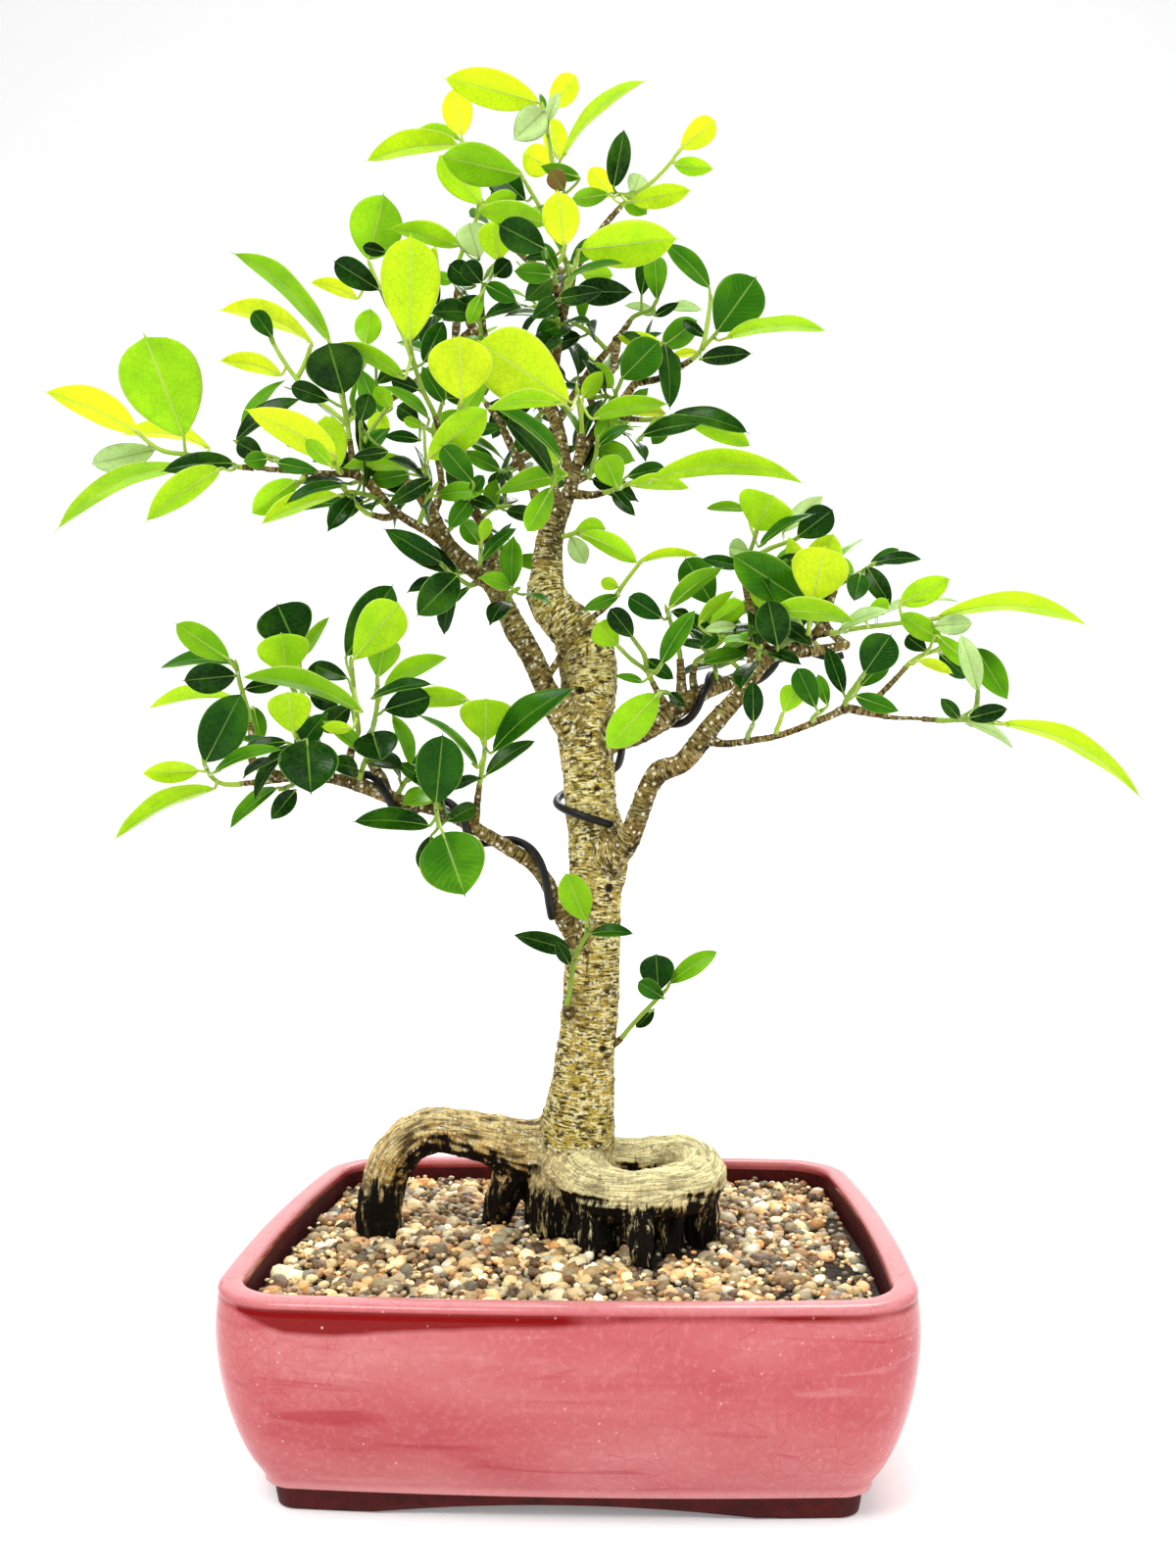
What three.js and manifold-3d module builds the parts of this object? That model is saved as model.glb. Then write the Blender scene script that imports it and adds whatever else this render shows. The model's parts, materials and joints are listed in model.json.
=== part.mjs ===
// Tiger bark ficus bonsai, informal upright, in a rectangular glazed stoneware pot.
// Millimetres, +Z up. The pot stands on z = 0 and the middle of the whole plant is above the origin.
import * as THREE from 'three';
import { mergeVertices } from 'three/addons/utils/BufferGeometryUtils.js';
import Module from 'manifold-3d';

const wasm = await Module();
wasm.setup();

// Pot
const POT_LONG = 254;
const POT_DEEP = 205;
const POT_HIGH = 81;
const RIM_WIDE = 9;
const CORNER_R = 30;
const SIDE_BOW = 3;
const FLOOR_THICK = 8;
const FOOT_HIGH = 9;
const FOOT_ARCH = 4.6;
const DRAIN_R = 9;
const DRAIN_X = 55;
// Filling
const SOIL_TOP = 67;
const STONE_TOP = 72.5;
const STONE_PITCH = 11.5;
const STONE_HIGH = 2.6;
// Wire
const WIRE_R = 1.75;
// Leaves
const BLADE_THICK = 1.3;
const LEAF_RATIO = 0.44;
const LEAF_LEAST = 15;
const CLEAR = 0.3;

// The tables below give points as they are seen from the front, in mm on the plane y = 0 through the
// pot's middle, with the depth y of the point itself. EYE is where they are seen from.
const EYE = new THREE.Vector3(28, -529, 234);

function seen(x, z, y) {
  const flat = new THREE.Vector3(x, 0, z);
  return EYE.clone().lerp(flat, (y - EYE.y) / -EYE.y);
}

// Solids
function shell(points, faces) {
  const g = new THREE.BufferGeometry();
  g.setAttribute('position', new THREE.Float32BufferAttribute(points.flatMap((p) => [p.x, p.y, p.z]), 3));
  g.setIndex(faces.flat());
  return g;
}

function solid(geometry) {
  const g = geometry.clone();
  g.deleteAttribute('normal');
  g.deleteAttribute('uv');
  const m = mergeVertices(g, 1e-4);
  const verts = new Float32Array(m.attributes.position.array);
  const triVerts = new Uint32Array(m.index.array);
  return new wasm.Manifold(new wasm.Mesh({ numProp: 3, vertProperties: verts, triVerts }));
}

function geometryOf(body) {
  const mesh = body.getMesh();
  const g = new THREE.BufferGeometry();
  g.setAttribute('position', new THREE.Float32BufferAttribute(Array.from(mesh.vertProperties), 3));
  g.setIndex(Array.from(mesh.triVerts));
  g.computeVertexNormals();
  return g;
}

function joined(list) {
  let body = list[0];
  for (const next of list.slice(1)) body = body.add(next);
  return body;
}

// Closed body from rings of points, each ring counter-clockwise as seen against the direction of travel.
function loft(rings) {
  const points = rings.flat();
  const faces = [];
  const n = rings[0].length;
  for (let i = 0; i + 1 < rings.length; i += 1) {
    for (let k = 0; k < n; k += 1) {
      const a = i * n + k;
      const b = i * n + ((k + 1) % n);
      faces.push([a, b, b + n], [a, b + n, a + n]);
    }
  }
  for (let k = 1; k + 1 < n; k += 1) {
    faces.push([0, k + 1, k]);
    const end = (rings.length - 1) * n;
    faces.push([end, end + k, end + k + 1]);
  }
  return shell(points, faces);
}

// Tube through points with a radius each. shape(t, angle) may swell it.
function tube(points, radii, sides, steps, shape = null) {
  const curve = new THREE.CatmullRomCurve3(points, false, 'centripetal');
  const spots = [];
  for (let i = 0; i <= steps; i += 1) spots.push(i / steps);
  const rings = [];
  let side = null;
  for (const t of spots) {
    const along = t * (points.length - 1);
    const k = Math.min(Math.floor(along), points.length - 2);
    const r = radii[k] + (radii[k + 1] - radii[k]) * (along - k);
    const p = curve.getPoint(t);
    const d = curve.getTangent(t);
    if (!side) {
      side = new THREE.Vector3(1, 0, 0);
      if (Math.abs(d.x) > 0.8) side.set(0, 1, 0);
    }
    side.addScaledVector(d, -side.dot(d)).normalize();
    const up = d.clone().cross(side);
    const ring = [];
    for (let s = 0; s < sides; s += 1) {
      const a = (s / sides) * 2 * Math.PI;
      const q = shape ? r * shape(t, a) : r;
      ring.push(p.clone().addScaledVector(side, q * Math.cos(a)).addScaledVector(up, q * Math.sin(a)));
    }
    rings.push(ring);
  }
  return loft(rings);
}

function nearest(path, p) {
  let best = null;
  for (let i = 0; i + 1 < path.length; i += 1) {
    const d = path[i + 1].clone().sub(path[i]);
    const t = Math.max(0, Math.min(1, p.clone().sub(path[i]).dot(d) / d.lengthSq()));
    const q = path[i].clone().addScaledVector(d, t);
    const far = q.distanceTo(p);
    if (!best || far < best.far) best = { far, point: q, index: i, t };
  }
  return best;
}

// Numbers between 0 and 1 that are the same on each run.
function draw(seed) {
  const v = Math.sin(seed * 127.1 + 11.7) * 43758.5453;
  return v - Math.floor(v);
}

// Pot
function outline(z, inset) {
  const points = [];
  const r = Math.max(CORNER_R - inset, 8);
  const hx = POT_LONG / 2 - inset;
  const hy = POT_DEEP / 2 - inset;
  const corners = [
    [hx - r, -hy + r, -90], [hx - r, hy - r, 0], [-hx + r, hy - r, 90], [-hx + r, -hy + r, 180],
  ];
  corners.forEach(([cx, cy, start], c) => {
    for (let i = 0; i <= 3; i += 1) {
      const a = ((start + i * 30) * Math.PI) / 180;
      points.push(new THREE.Vector3(cx + r * Math.cos(a), cy + r * Math.sin(a), z));
    }
    const next = corners[(c + 1) % 4];
    const from = points[points.length - 1];
    const a = ((next[2]) * Math.PI) / 180;
    const to = new THREE.Vector3(next[0] + r * Math.cos(a), next[1] + r * Math.sin(a), z);
    const out = new THREE.Vector3(Math.cos(a), Math.sin(a), 0);
    for (const t of [0.5]) {
      points.push(from.clone().lerp(to, t).addScaledVector(out, SIDE_BOW * 4 * t * (1 - t)));
    }
  });
  return points;
}

const FLOOR_Z = 5 + FLOOR_THICK;
const OUTER = [
  [0, 22], [FOOT_HIGH, 20.6], [FOOT_HIGH + 0.2, 18.2], [FOOT_HIGH + 2, 17.4], [20, 11.2],
  [31, 6], [45, 1.6], [60, -0.8], [77, -0.2], [80, 0.8], [POT_HIGH, 2.6],
];
const INNER = [
  [POT_HIGH, RIM_WIDE - 0.8], [POT_HIGH - 0.8, RIM_WIDE], [45, RIM_WIDE + 1], [29, 14], [FLOOR_Z, 25],
];

function wallInset(z) {
  for (let i = 0; i + 1 < INNER.length; i += 1) {
    const [z0, a] = INNER[i];
    const [z1, b] = INNER[i + 1];
    if (z <= z0 && z >= z1) return a + ((b - a) * (z0 - z)) / (z0 - z1);
  }
  return INNER[INNER.length - 1][1];
}

function prism(points, from, to) {
  const low = points.map((p) => new THREE.Vector3(p.x, p.y, from));
  const high = points.map((p) => new THREE.Vector3(p.x, p.y, to));
  return solid(loft([low, high]));
}

// Low arch under one side, as a bar running through the pot.
function archBar(half, across, turned) {
  const steps = 6;
  const section = [];
  for (let i = 0; i <= steps; i += 1) {
    const u = -half + (2 * half * i) / steps;
    section.push([u, FOOT_ARCH * (1 - (u / half) ** 2)]);
  }
  section.push([half, -3], [-half, -3]);
  const rings = [-across, across].map((v) => section.map(([u, z]) => (
    turned ? new THREE.Vector3(v, u, z) : new THREE.Vector3(u, v, z)
  )));
  const bar = loft(rings);
  const body = solid(bar);
  if (body.volume() > 0) return body;
  return solid(loft([rings[1], rings[0]]));
}

function circle(x, y, r, n = 12) {
  const points = [];
  for (let i = 0; i < n; i += 1) {
    const a = (i / n) * 2 * Math.PI;
    points.push(new THREE.Vector3(x + r * Math.cos(a), y + r * Math.sin(a), 0));
  }
  return points;
}

let potBody = solid(loft([...OUTER, ...INNER].map(([z, inset]) => outline(z, inset))));
potBody = potBody.subtract(prism(outline(0, 31), -2, 5));
potBody = potBody.subtract(archBar(72, 140, false));
potBody = potBody.subtract(archBar(48, 160, true));
for (const x of [-DRAIN_X, DRAIN_X]) {
  potBody = potBody.subtract(prism(circle(x, 0, DRAIN_R), -2, FLOOR_Z + 5));
}

// Filling, from the floor up, a hair inside the wall
const FILL = [FLOOR_Z + CLEAR, 29, 45, SOIL_TOP];
let soilBody = solid(loft(FILL.map((z) => outline(z, wallInset(z) + CLEAR + 0.1))));

const MESH_HALF = 13;
function square(x, half, y = 0) {
  const corners = [[-half, -half], [half, -half], [half, half], [-half, half]];
  return corners.map(([u, v]) => new THREE.Vector3(x + u, y + v, 0));
}
function meshSquare(x) {
  const low = FLOOR_Z + CLEAR;
  let plate = prism(square(x, MESH_HALF), low, low + 1.4);
  for (const u of [-5.5, 5.5]) {
    for (const v of [-5.5, 5.5]) plate = plate.subtract(prism(square(x + u, 4, v), low - 1, low + 3));
  }
  return plate;
}
for (const x of [-DRAIN_X, DRAIN_X]) {
  soilBody = soilBody.subtract(prism(square(x, MESH_HALF + CLEAR), 2, FLOOR_Z + 1.4 + 2 * CLEAR));
}

// Gravel: stones as a relief over the whole filling, higher round the trunk.
function gravelTop(x, y, k) {
  const mound = 2.6 * Math.exp(-((x - 5) ** 2 + (y + 5) ** 2) / 5200);
  const edge = 1.2 * Math.max(0, Math.abs(x) / 118 - 0.86) + 1.2 * Math.max(0, Math.abs(y) / 93 - 0.86);
  return STONE_TOP + mound - edge + STONE_HIGH * (draw(k) - 0.5);
}

function gravelSlab() {
  const cols = 23;
  const rows = 20;
  const points = [];
  for (let j = 0; j < rows; j += 1) {
    for (let i = 0; i < cols; i += 1) {
      const k = j * cols + i;
      const rim = i === 0 || j === 0 || i === cols - 1 || j === rows - 1;
      const stray = rim ? 0 : 2.6 * (draw(k + 900) - 0.5);
      const x = (i - (cols - 1) / 2 + (j % 2 ? 0.25 : -0.25)) * STONE_PITCH + stray;
      const y = (j - (rows - 1) / 2) * STONE_PITCH * 0.866 + (rim ? 0 : 2.6 * (draw(k + 1900) - 0.5));
      points.push(new THREE.Vector3(x, y, gravelTop(x, y, k)));
    }
  }
  const faces = [];
  for (let j = 0; j + 1 < rows; j += 1) {
    for (let i = 0; i + 1 < cols; i += 1) {
      const a = j * cols + i;
      const c = a + cols;
      if (j % 2) faces.push([a, a + 1, c + 1], [a, c + 1, c]);
      else faces.push([a, a + 1, c], [a + 1, c + 1, c]);
    }
  }
  const loop = [];
  for (let i = 0; i < cols; i += 1) loop.push(i);
  for (let j = 1; j < rows; j += 1) loop.push(j * cols + cols - 1);
  for (let i = cols - 2; i >= 0; i -= 1) loop.push((rows - 1) * cols + i);
  for (let j = rows - 2; j > 0; j -= 1) loop.push(j * cols);
  const low = points.length;
  loop.forEach((at) => points.push(new THREE.Vector3(points[at].x, points[at].y, 40)));
  points.push(new THREE.Vector3(0, 0, 40));
  const n = loop.length;
  for (let k = 0; k < n; k += 1) {
    const m = (k + 1) % n;
    faces.push([loop[k], low + k, low + m], [loop[k], low + m, loop[m]], [low + n, low + m, low + k]);
  }
  return solid(shell(points, faces));
}
let gravelBody = gravelSlab().intersect(prism(outline(0, RIM_WIDE + 1.2), SOIL_TOP + CLEAR, 79.5));

// Wood: each row is [x, z, y, radius] as seen.
const TRUNK = [
  [-1, 46, 8, 11], [-2, 62, 9, 16], [-2, 80, 9, 20], [-2, 96, 8, 20], [-1, 110, 7, 17.5], [1, 121, 6, 15.6],
  [2.6, 131, 6, 14.2], [3.4, 141, 6, 13], [4.6, 152, 6, 12.2], [6.4, 166, 6, 11.8], [7.2, 183, 6, 11.7],
  [7.7, 203, 6, 11.6], [9, 218, 6, 11.2], [10.6, 231, 6, 12.8], [10, 243, 6, 12.6], [7.4, 256, 6, 11.2],
  [6.8, 270, 5, 11.3], [5.6, 284, 4, 11.8], [5.4, 295, 4, 12.2], [7.6, 306, 3, 12], [7, 316, 3, 12.6],
  [5.6, 324, 2, 12.4], [0, 333, 2, 10.6], [-8, 341, 1, 9.4], [-11.8, 348, 0, 9], [-11.6, 358, -1, 7.1],
  [-11, 368, -2, 6.2], [-9.2, 378, -4, 5.8], [-5, 387, -6, 4.5], [-0.8, 395, -8, 3], [1.4, 404, -9, 2.5],
  [3.8, 413, -10, 2.3], [4.2, 419, -10, 2.1],
];
const ROOTS = [
  [[-6, 108, 8, 14], [-22, 109, 8, 12.5], [-36, 113, 7, 10.5], [-50, 116, 6, 9.6], [-62, 116.5, 5, 9.4],
    [-73, 111, 4, 9.5], [-80, 101, 4, 9.7], [-83, 88, 4, 9.5], [-84, 74, 4, 9.2], [-84, 60, 4, 7.5],
      [-82, 48, 5, 4]],
  [[-1, 100, 2, 13], [8, 92, -14, 12], [22, 89.5, -24, 10.8], [36, 90.5, -24, 10.4], [48, 92.5, -14, 10.4],
    [53.5, 98, 0, 10.2], [50, 104, 13, 9.6], [40, 106, 20, 8.8], [28, 105.5, 20, 7.8], [14, 106, 14, 7.4]],
  [[24, 86, -26, 8], [27, 76, -32, 6.5], [28, 64, -38, 5], [28, 50, -40, 3.2]],
  [[50, 92, -8, 8.5], [54, 82, -6, 7], [55, 70, -4, 5.5], [54, 56, -4, 3.4]],
  [[6, 92, -12, 9], [8, 78, -18, 8.5], [9, 64, -22, 7], [9, 50, -24, 4]],
  [[-24, 104, 8, 9], [-30, 92, 12, 7.5], [-34, 78, 14, 6], [-36, 62, 14, 4]],
  [[38, 88, -22, 7.5], [41, 76, -20, 5], [42, 66, -20, 4], [42, 52, -20, 2.6]],
];
const LIMBS = {
  left: [[4, 284, 2, 7], [-6, 296, -2, 6.2], [-13, 309, -4, 4.8], [-18, 321, -5, 5], [-25, 333, -6, 5.4],
    [-30, 343, -7, 4.7], [-35, 353, -8, 4.8], [-45, 361, -10, 4], [-55, 371, -12, 3.7],
      [-61, 382, -14, 3.5],
    [-66, 392, -15, 3.1], [-72, 398, -16, 2.6], [-79, 402, -17, 1.7]],
  leftUp: [[-34, 352, -8, 4], [-35, 362, -4, 3.3], [-37, 373, 0, 2.8], [-42, 384, 4, 2]],
  leftFar: [[-54, 370, -12, 2.8], [-62, 376, -18, 2.3], [-70, 380.5, -23, 2.1], [-77, 385, -27, 2.1],
    [-84, 391.5, -30, 2.4],
    [-91, 400, -33, 2.4], [-97, 403, -35, 1.9], [-110, 404, -37, 1.6], [-127, 405.5, -40, 1.5],
      [-142, 407, -42, 1.4]],
  right: [[8, 282, 6, 6], [20, 284.5, 2, 4.9], [30, 287.5, -2, 5], [38, 292.5, -4, 5.1],
    [46, 298, -4, 4.6], [54, 303, -2, 3.8],
    [62, 306.5, 4, 3.6], [70, 309.5, 12, 3.3], [80, 315, 20, 3], [92, 320, 26, 2.6],
      [106, 322, 30, 2.4], [118, 324, 34, 2]],
  front: [[10, 230, 2, 8], [20, 236, -6, 5.8], [26, 246, -12, 4.9], [30, 257, -15, 4.6],
    [34, 266, -17, 4.5], [38.5, 270.5, -19, 4.9],
    [46, 273, -21, 4.4], [52, 279, -23, 4.6], [57, 286, -24, 4.5], [64, 294, -24, 4.2],
      [71, 302, -23, 3.9], [77, 311, -22, 4.1],
    [82, 319, -21, 5], [88, 321, -21, 3.6], [96, 323, -23, 2.6], [103, 327, -25, 2.4], [109, 334, -28, 2]],
  frontUp: [[80, 317, -21, 4.4], [80, 326, -20, 4], [78, 337, -18, 2.1], [76, 347, -17, 1.7],
    [74.5, 357, -16, 1.3]],
  low: [[57, 284, -24, 2.6], [65, 281.8, -30, 1.9], [76, 283, -36, 1.7], [88, 285, -40, 1.7],
    [101, 289.5, -43, 1.7],
    [111, 293.5, -44, 1.8], [118, 296.5, -45, 2.2], [126, 295, -46, 1.9], [138, 292.5, -47, 1.3],
      [150, 291.8, -48, 1.1], [157, 291.2, -49, 1]],
  lower: [[4, 196, 0, 6], [-3, 205, -6, 4.4], [-8, 214, -9, 3.6], [-12, 223, -12, 3.3],
    [-19, 231, -15, 3.1], [-28, 237, -18, 3.1],
    [-38, 243, -22, 3.2], [-48, 249, -26, 3], [-60, 254, -30, 2.9], [-72, 257, -34, 2.8],
      [-82, 260.5, -37, 3.4],
    [-93, 265, -39, 3.3], [-105, 268, -41, 2.6], [-118, 268.5, -43, 2], [-132, 267.5, -44, 1.5],
      [-148, 266, -46, 1.2]],
  top: [[-1, 396, -8, 2.6], [-3, 409, -2, 2.5], [-6, 422, 3, 2.8], [-11, 433, 7, 3.4],
    [-20, 438, 9, 3.5], [-28, 445, 11, 3.3],
    [-35, 453, 12, 2.8], [-41, 462, 13, 2.6], [-46, 473, 14, 2.1], [-51, 487, 15, 1.3]],
  topRight: [[1, 402, -9, 2.3], [6, 413, -2, 2.2], [12.5, 423.5, 4, 2.3], [20, 431, 8, 2.2],
    [27, 440.5, 12, 1.9], [33, 448, 15, 1.5]],
  topMid: [[-11, 433, 7, 2.6], [-8, 446, 14, 2.3], [-6, 462, 18, 2.1], [-3, 476, 20, 1.9],
    [-1, 492, 21, 1.5]],
  topBack: [[12, 423, 4, 1.8], [8, 436, 20, 1.8], [6, 444, 26, 1.9], [12, 452, 28, 1.8],
    [20, 461.5, 29, 1.5], [26, 470, 29, 1.2]],
};
const KNOTS = [[15, 220, 4.2], [-3, 166, 3], [12, 153, 4], [-2, 143, 3], [10, 262, 3.2], [3, 304, 4],
  [-6, 381, 2.6]];

function limbPoints(rows) {
  return rows.map(([x, z, y]) => seen(x, z, y));
}
function limbRadii(rows) {
  return rows.map((row) => (row[3] * (row[2] - EYE.y)) / -EYE.y);
}

// Leafy shoots. wood: twig rows [x, z, y, radius], the first drawn to the limb it grows from.
// stems: green stems as rows [x, z, y], the first going on from the twig's end and the others from a
// stem before them. leaves: [base x, base z, tip x, tip z, depth y, tip's depth less base's, width, tone],
// all as seen. Tone runs from 0, yellow and clear, over 1, lime, and 2, mid green, to 3, dark; 4 is pale.
const SHOOTS = [
  { name: 'shoot_far_left',
    wood: [[-142, 407, -42, 1.4], [-147, 407.4, -43, 1.3]],
    stems: [[[-160, 411, -44], [-172, 413.5, -45], [-183, 415.5, -46], [-189, 419, -47],
      [-194, 423.5, -48]]],
    leaves: [[-174, 422, -193, 470, -52, -8, 36, 1], [-195, 424.5, -239, 444, -50, -6, 14, 0],
      [-172, 408, -232, 379, -48, 0, 13, 1.6], [-157, 407, -191, 383, -62, -10, 13, 1],
      [-187, 416, -216, 410, -34, 8, 12, 4],
      [-162, 416, -203, 423, -30, 12, 9, 0], [-151, 409, -184, 406, -55, -6, 10, 3]] },
  { name: 'shoot_left_ring',
    wood: [[-126, 405, -40, 1.4], [-130, 409.5, -38, 1.1]],
    stems: [[[-135, 412, -37], [-141, 414.5, -34], [-148, 418, -32]]],
    leaves: [[-150, 419, -120, 438, -30, 4, 7, 3], [-147, 424, -127, 447, -20, 6, 5, 2],
      [-138, 412, -150, 419, -44, -4, 10, 3],
      [-136, 411, -147, 410, -52, -3, 8, 2], [-131, 409, -112, 405, -48, -4, 7, 2]] },
  { name: 'shoot_left_under',
    wood: [[-118, 404, -39, 1.3], [-120, 401.5, -42, 1.1]],
    stems: [[[-122, 400, -45], [-125, 398, -48]]],
    leaves: [[-123, 401, -143, 386, -54, -8, 13, 1], [-124, 397, -136, 388, -40, 4, 8, 1.6]] },
  { name: 'shoot_left_low',
    wood: [[-77, 384, -27, 1.8], [-83, 383.5, -30, 1.5], [-89, 385, -33, 1.3]],
    stems: [[[-95, 389, -35], [-101, 396, -38]]],
    leaves: [[-104, 394, -139, 381, -55, -6, 9, 0.8], [-100, 390, -138, 381.5, -34, 4, 6, 2],
      [-101, 398, -128, 390, -60, -8, 5, 2.5]] },
  { name: 'shoot_left_tall',
    wood: [[-97, 403, -35, 1.8], [-98, 412, -36, 1.5], [-99, 419, -37, 1.3]],
    stems: [[[-100, 426, -38], [-101, 433, -42], [-102, 439, -49]], [[-100, 426, -38], [-103, 440, -34],
      [-107.5, 459, -34]],
      [[-100, 426, -38], [-108, 433, -31], [-116, 439, -28], [-123, 447, -26], [-130, 457, -26],
      [-134, 464, -26]],
      [[-123, 447, -26], [-119, 455, -20], [-117, 461, -16]]],
    leaves: [[-102, 440, -109, 464, -60, -14, 26, 3], [-108, 463, -154, 506, -34, -10, 14, 1],
      [-134, 466, -143, 479, -28, -3, 9, 2.5],
      [-116, 463, -160, 479, -12, 6, 9, 0], [-130, 449, -159, 456, -22, 2, 7.5, 0],
      [-108, 437, -126, 444, -42, -4, 9, 3]] },
  { name: 'shoot_left_fan',
    wood: [[-101, 403, -36, 1.5], [-103, 404.5, -41, 1.2]],
    stems: [[[-105, 407, -46], [-107, 411, -50]]],
    leaves: [[-105, 412, -147, 434, -66, -8, 16, 0], [-104, 406, -110, 431, -54, -4, 14, 1],
      [-107, 407, -119, 420, -76, -5, 8, 1.2],
      [-110, 414, -128, 417, -36, 6, 5, 2], [-111, 418, -139, 424, -28, 6, 7, 0]] },
  { name: 'shoot_left_mid',
    wood: [[-91, 401, -33, 1.8], [-92.5, 408, -34, 1.3]],
    stems: [[[-93.5, 416, -38], [-94, 425, -48]], [[-93.5, 416, -38], [-89, 424, -28], [-83, 432, -22]]],
    leaves: [[-94, 427, -90, 440, -58, -3, 9.5, 3], [-89, 416, -84, 432, -16, 4, 10, 0.8],
      [-80, 433, -88, 443, -28, -3, 8, 1],
      [-82, 413, -98, 411, -52, -6, 6, 3], [-86, 430, -95, 452, -6, 8, 11, 1.6]] },
  { name: 'shoot_big_oval',
    wood: [[-46, 388, 0, 2.2], [-50, 398, -6, 1.9], [-54, 409, -12, 1.7], [-58, 420, -18, 1.5],
      [-61, 429, -24, 1.3]],
    stems: [[[-66, 440, -30], [-70, 452, -38], [-72, 461, -44]], [[-66, 440, -30], [-76, 447, -24],
      [-85, 455, -18], [-91, 461, -14]],
      [[-70, 452, -38], [-77, 470, -22], [-84, 484, -16], [-90, 498, -12]]],
    leaves: [[-72, 463, -72, 513, -54, -10, 27, 0.8], [-75, 446, -107, 463, -58, -14, 9, 1.2],
      [-91, 501, -84, 532, -12, -3, 24, 1.4],
      [-86, 487, -107, 501, -34, -8, 12, 2.8], [-92, 462, -90, 479, -12, 2, 12, 1],
      [-73, 474, -60, 508, -14, 10, 15, 0.7],
      [-96, 483, -118, 491, 2, 4, 6, 0], [-83, 504, -94, 507, -34, -4, 6, 3],
      [-66, 453, -57, 472, -16, 6, 10, 2.6],
      [-68, 441, -81, 446, -46, -5, 8, 3], [-87, 444, -78, 452, -4, 3, 7, 3]] },
  { name: 'shoot_inner_left',
    wood: [[-60, 384, -14, 2], [-58, 398, -2, 1.6], [-60, 412, 6, 1.3]],
    stems: [[[-61, 421, 6], [-59, 430, 4], [-57, 437, 0]], [[-61, 421, 6], [-68, 426, -2]]],
    leaves: [[-64, 428, -85, 443, -54, -8, 5, 2], [-68, 427, -78, 434, -22, -4, 9, 3],
      [-57, 435, -67, 452, -17, -6, 8, 2],
      [-56, 437, -42, 436, 0, 6, 6, 2.2], [-68, 418, -84, 420, -34, -6, 5, 2.5],
      [-62, 420, -50, 432, 14, 6, 9, 1.4]] },
  { name: 'shoot_heart',
    wood: [[-43, 388, 3, 1.8], [-46, 402, -14, 1.5], [-48, 414, -34, 1.3]],
    stems: [[[-49, 424, -48], [-49, 434, -60]]],
    leaves: [[-49, 436, -50, 466, -74, -10, 29, 0.5], [-49, 418, -30, 423, -40, 4, 5, 2.6],
      [-50, 428, -38, 446, -40, 8, 9, 1.2]] },
  { name: 'shoot_fold',
    wood: [[-66, 392, -16, 2], [-66, 397, -22, 1.5], [-66, 401, -28, 1.2]],
    stems: [[[-65.5, 404.5, -35], [-64.5, 408, -44]]],
    leaves: [[-64, 409.5, -37, 432, -60, -16, 16, 1.4], [-66, 424, -75, 428, -52, -4, 5, 1],
      [-69, 405, -103, 406, -39, -10, 8, 1],
      [-63, 400, -82, 389, -56, -8, 8, 3], [-72, 403, -90, 400, -30, 4, 9, 2]] },
  { name: 'shoot_left_glossy',
    wood: [[-40, 354, -10, 1.8], [-44, 353, -18, 1.3]],
    stems: [[[-49, 355, -25], [-54, 358.5, -30], [-57, 361.5, -33]]],
    leaves: [[-58, 363, -84, 379, -40, -10, 11, 2.6], [-51, 357, -69, 339, -42, -12, 16, 3],
      [-45, 352, -52, 345, -14, 6, 3, 2.5]] },
  { name: 'shoot_left_inner',
    wood: [[-42, 359, -12, 1.6], [-41, 362, -18, 1.2]],
    stems: [[[-40.6, 365.5, -24], [-40.4, 370, -29]]],
    leaves: [[-39.5, 364, -24, 378, -42, -8, 5.5, 2.5], [-41, 371, -49, 382, -22, 6, 9, 1.6],
      [-40, 372, -37, 383, -40, -4, 6, 1]] },
  { name: 'shoot_limb_end',
    wood: [[-41, 381, 3, 2.2], [-43, 386, 2, 1.8]],
    stems: [[[-44, 391, -8], [-44, 397, -22]]],
    leaves: [[-44, 399, -58, 416, -56, -12, 12, 1.8], [-46, 390, -55, 378, -34, -12, 9, 2],
      [-43, 391, -33, 387, -30, -6, 6, 3],
      [-45, 394, -39, 402, -34, -6, 6, 2.2]] },
  { name: 'shoot_back_twig',
    wood: [[-14, 384, 8, 2.3], [-18, 397, 10, 2.2], [-24, 408, 12, 2], [-29, 419, 13, 1.8],
      [-33, 427, 14, 1.5], [-38, 434, 15, 1.3]],
    stems: [[[-43, 440, 16], [-49, 447, 18]]],
    leaves: [[-45, 441, -62, 438, 26, 6, 6, 2.2], [-49, 448, -62, 460, 24, 6, 12, 1.4],
      [-42, 441, -30, 452, 26, 6, 10, 1.2]] },
  { name: 'shoot_pale',
    wood: [[-24, 408, 12, 2], [-27, 405, 6, 1.3]],
    stems: [[[-29, 404, 1], [-31, 403.6, -4]]],
    leaves: [[-32, 404, -50, 413, -14, -6, 7, 2], [-29, 403, -27, 398, -12, -3, 4, 3],
      [-32, 403, -37, 396, -8, 0, 5, 2.5]] },
  { name: 'shoot_trio',
    wood: [[-5, 388, -8, 2.4], [-7, 393, -18, 1.8], [-7.5, 397, -26, 1.4]],
    stems: [[[-7.7, 401.5, -33], [-7, 407, -40]]],
    leaves: [[-9, 400, -31, 427, -56, -12, 8, 3], [-7, 405, -28, 429, -44, 2, 9, 1.2],
      [-5, 408, -36, 433, -64, -16, 7, 2.2],
      [-2, 401, -34, 393, -42, -6, 9, 1.5], [-9, 396, -20, 376, -58, -10, 11, 1.5]] },
  { name: 'shoot_huge',
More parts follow.
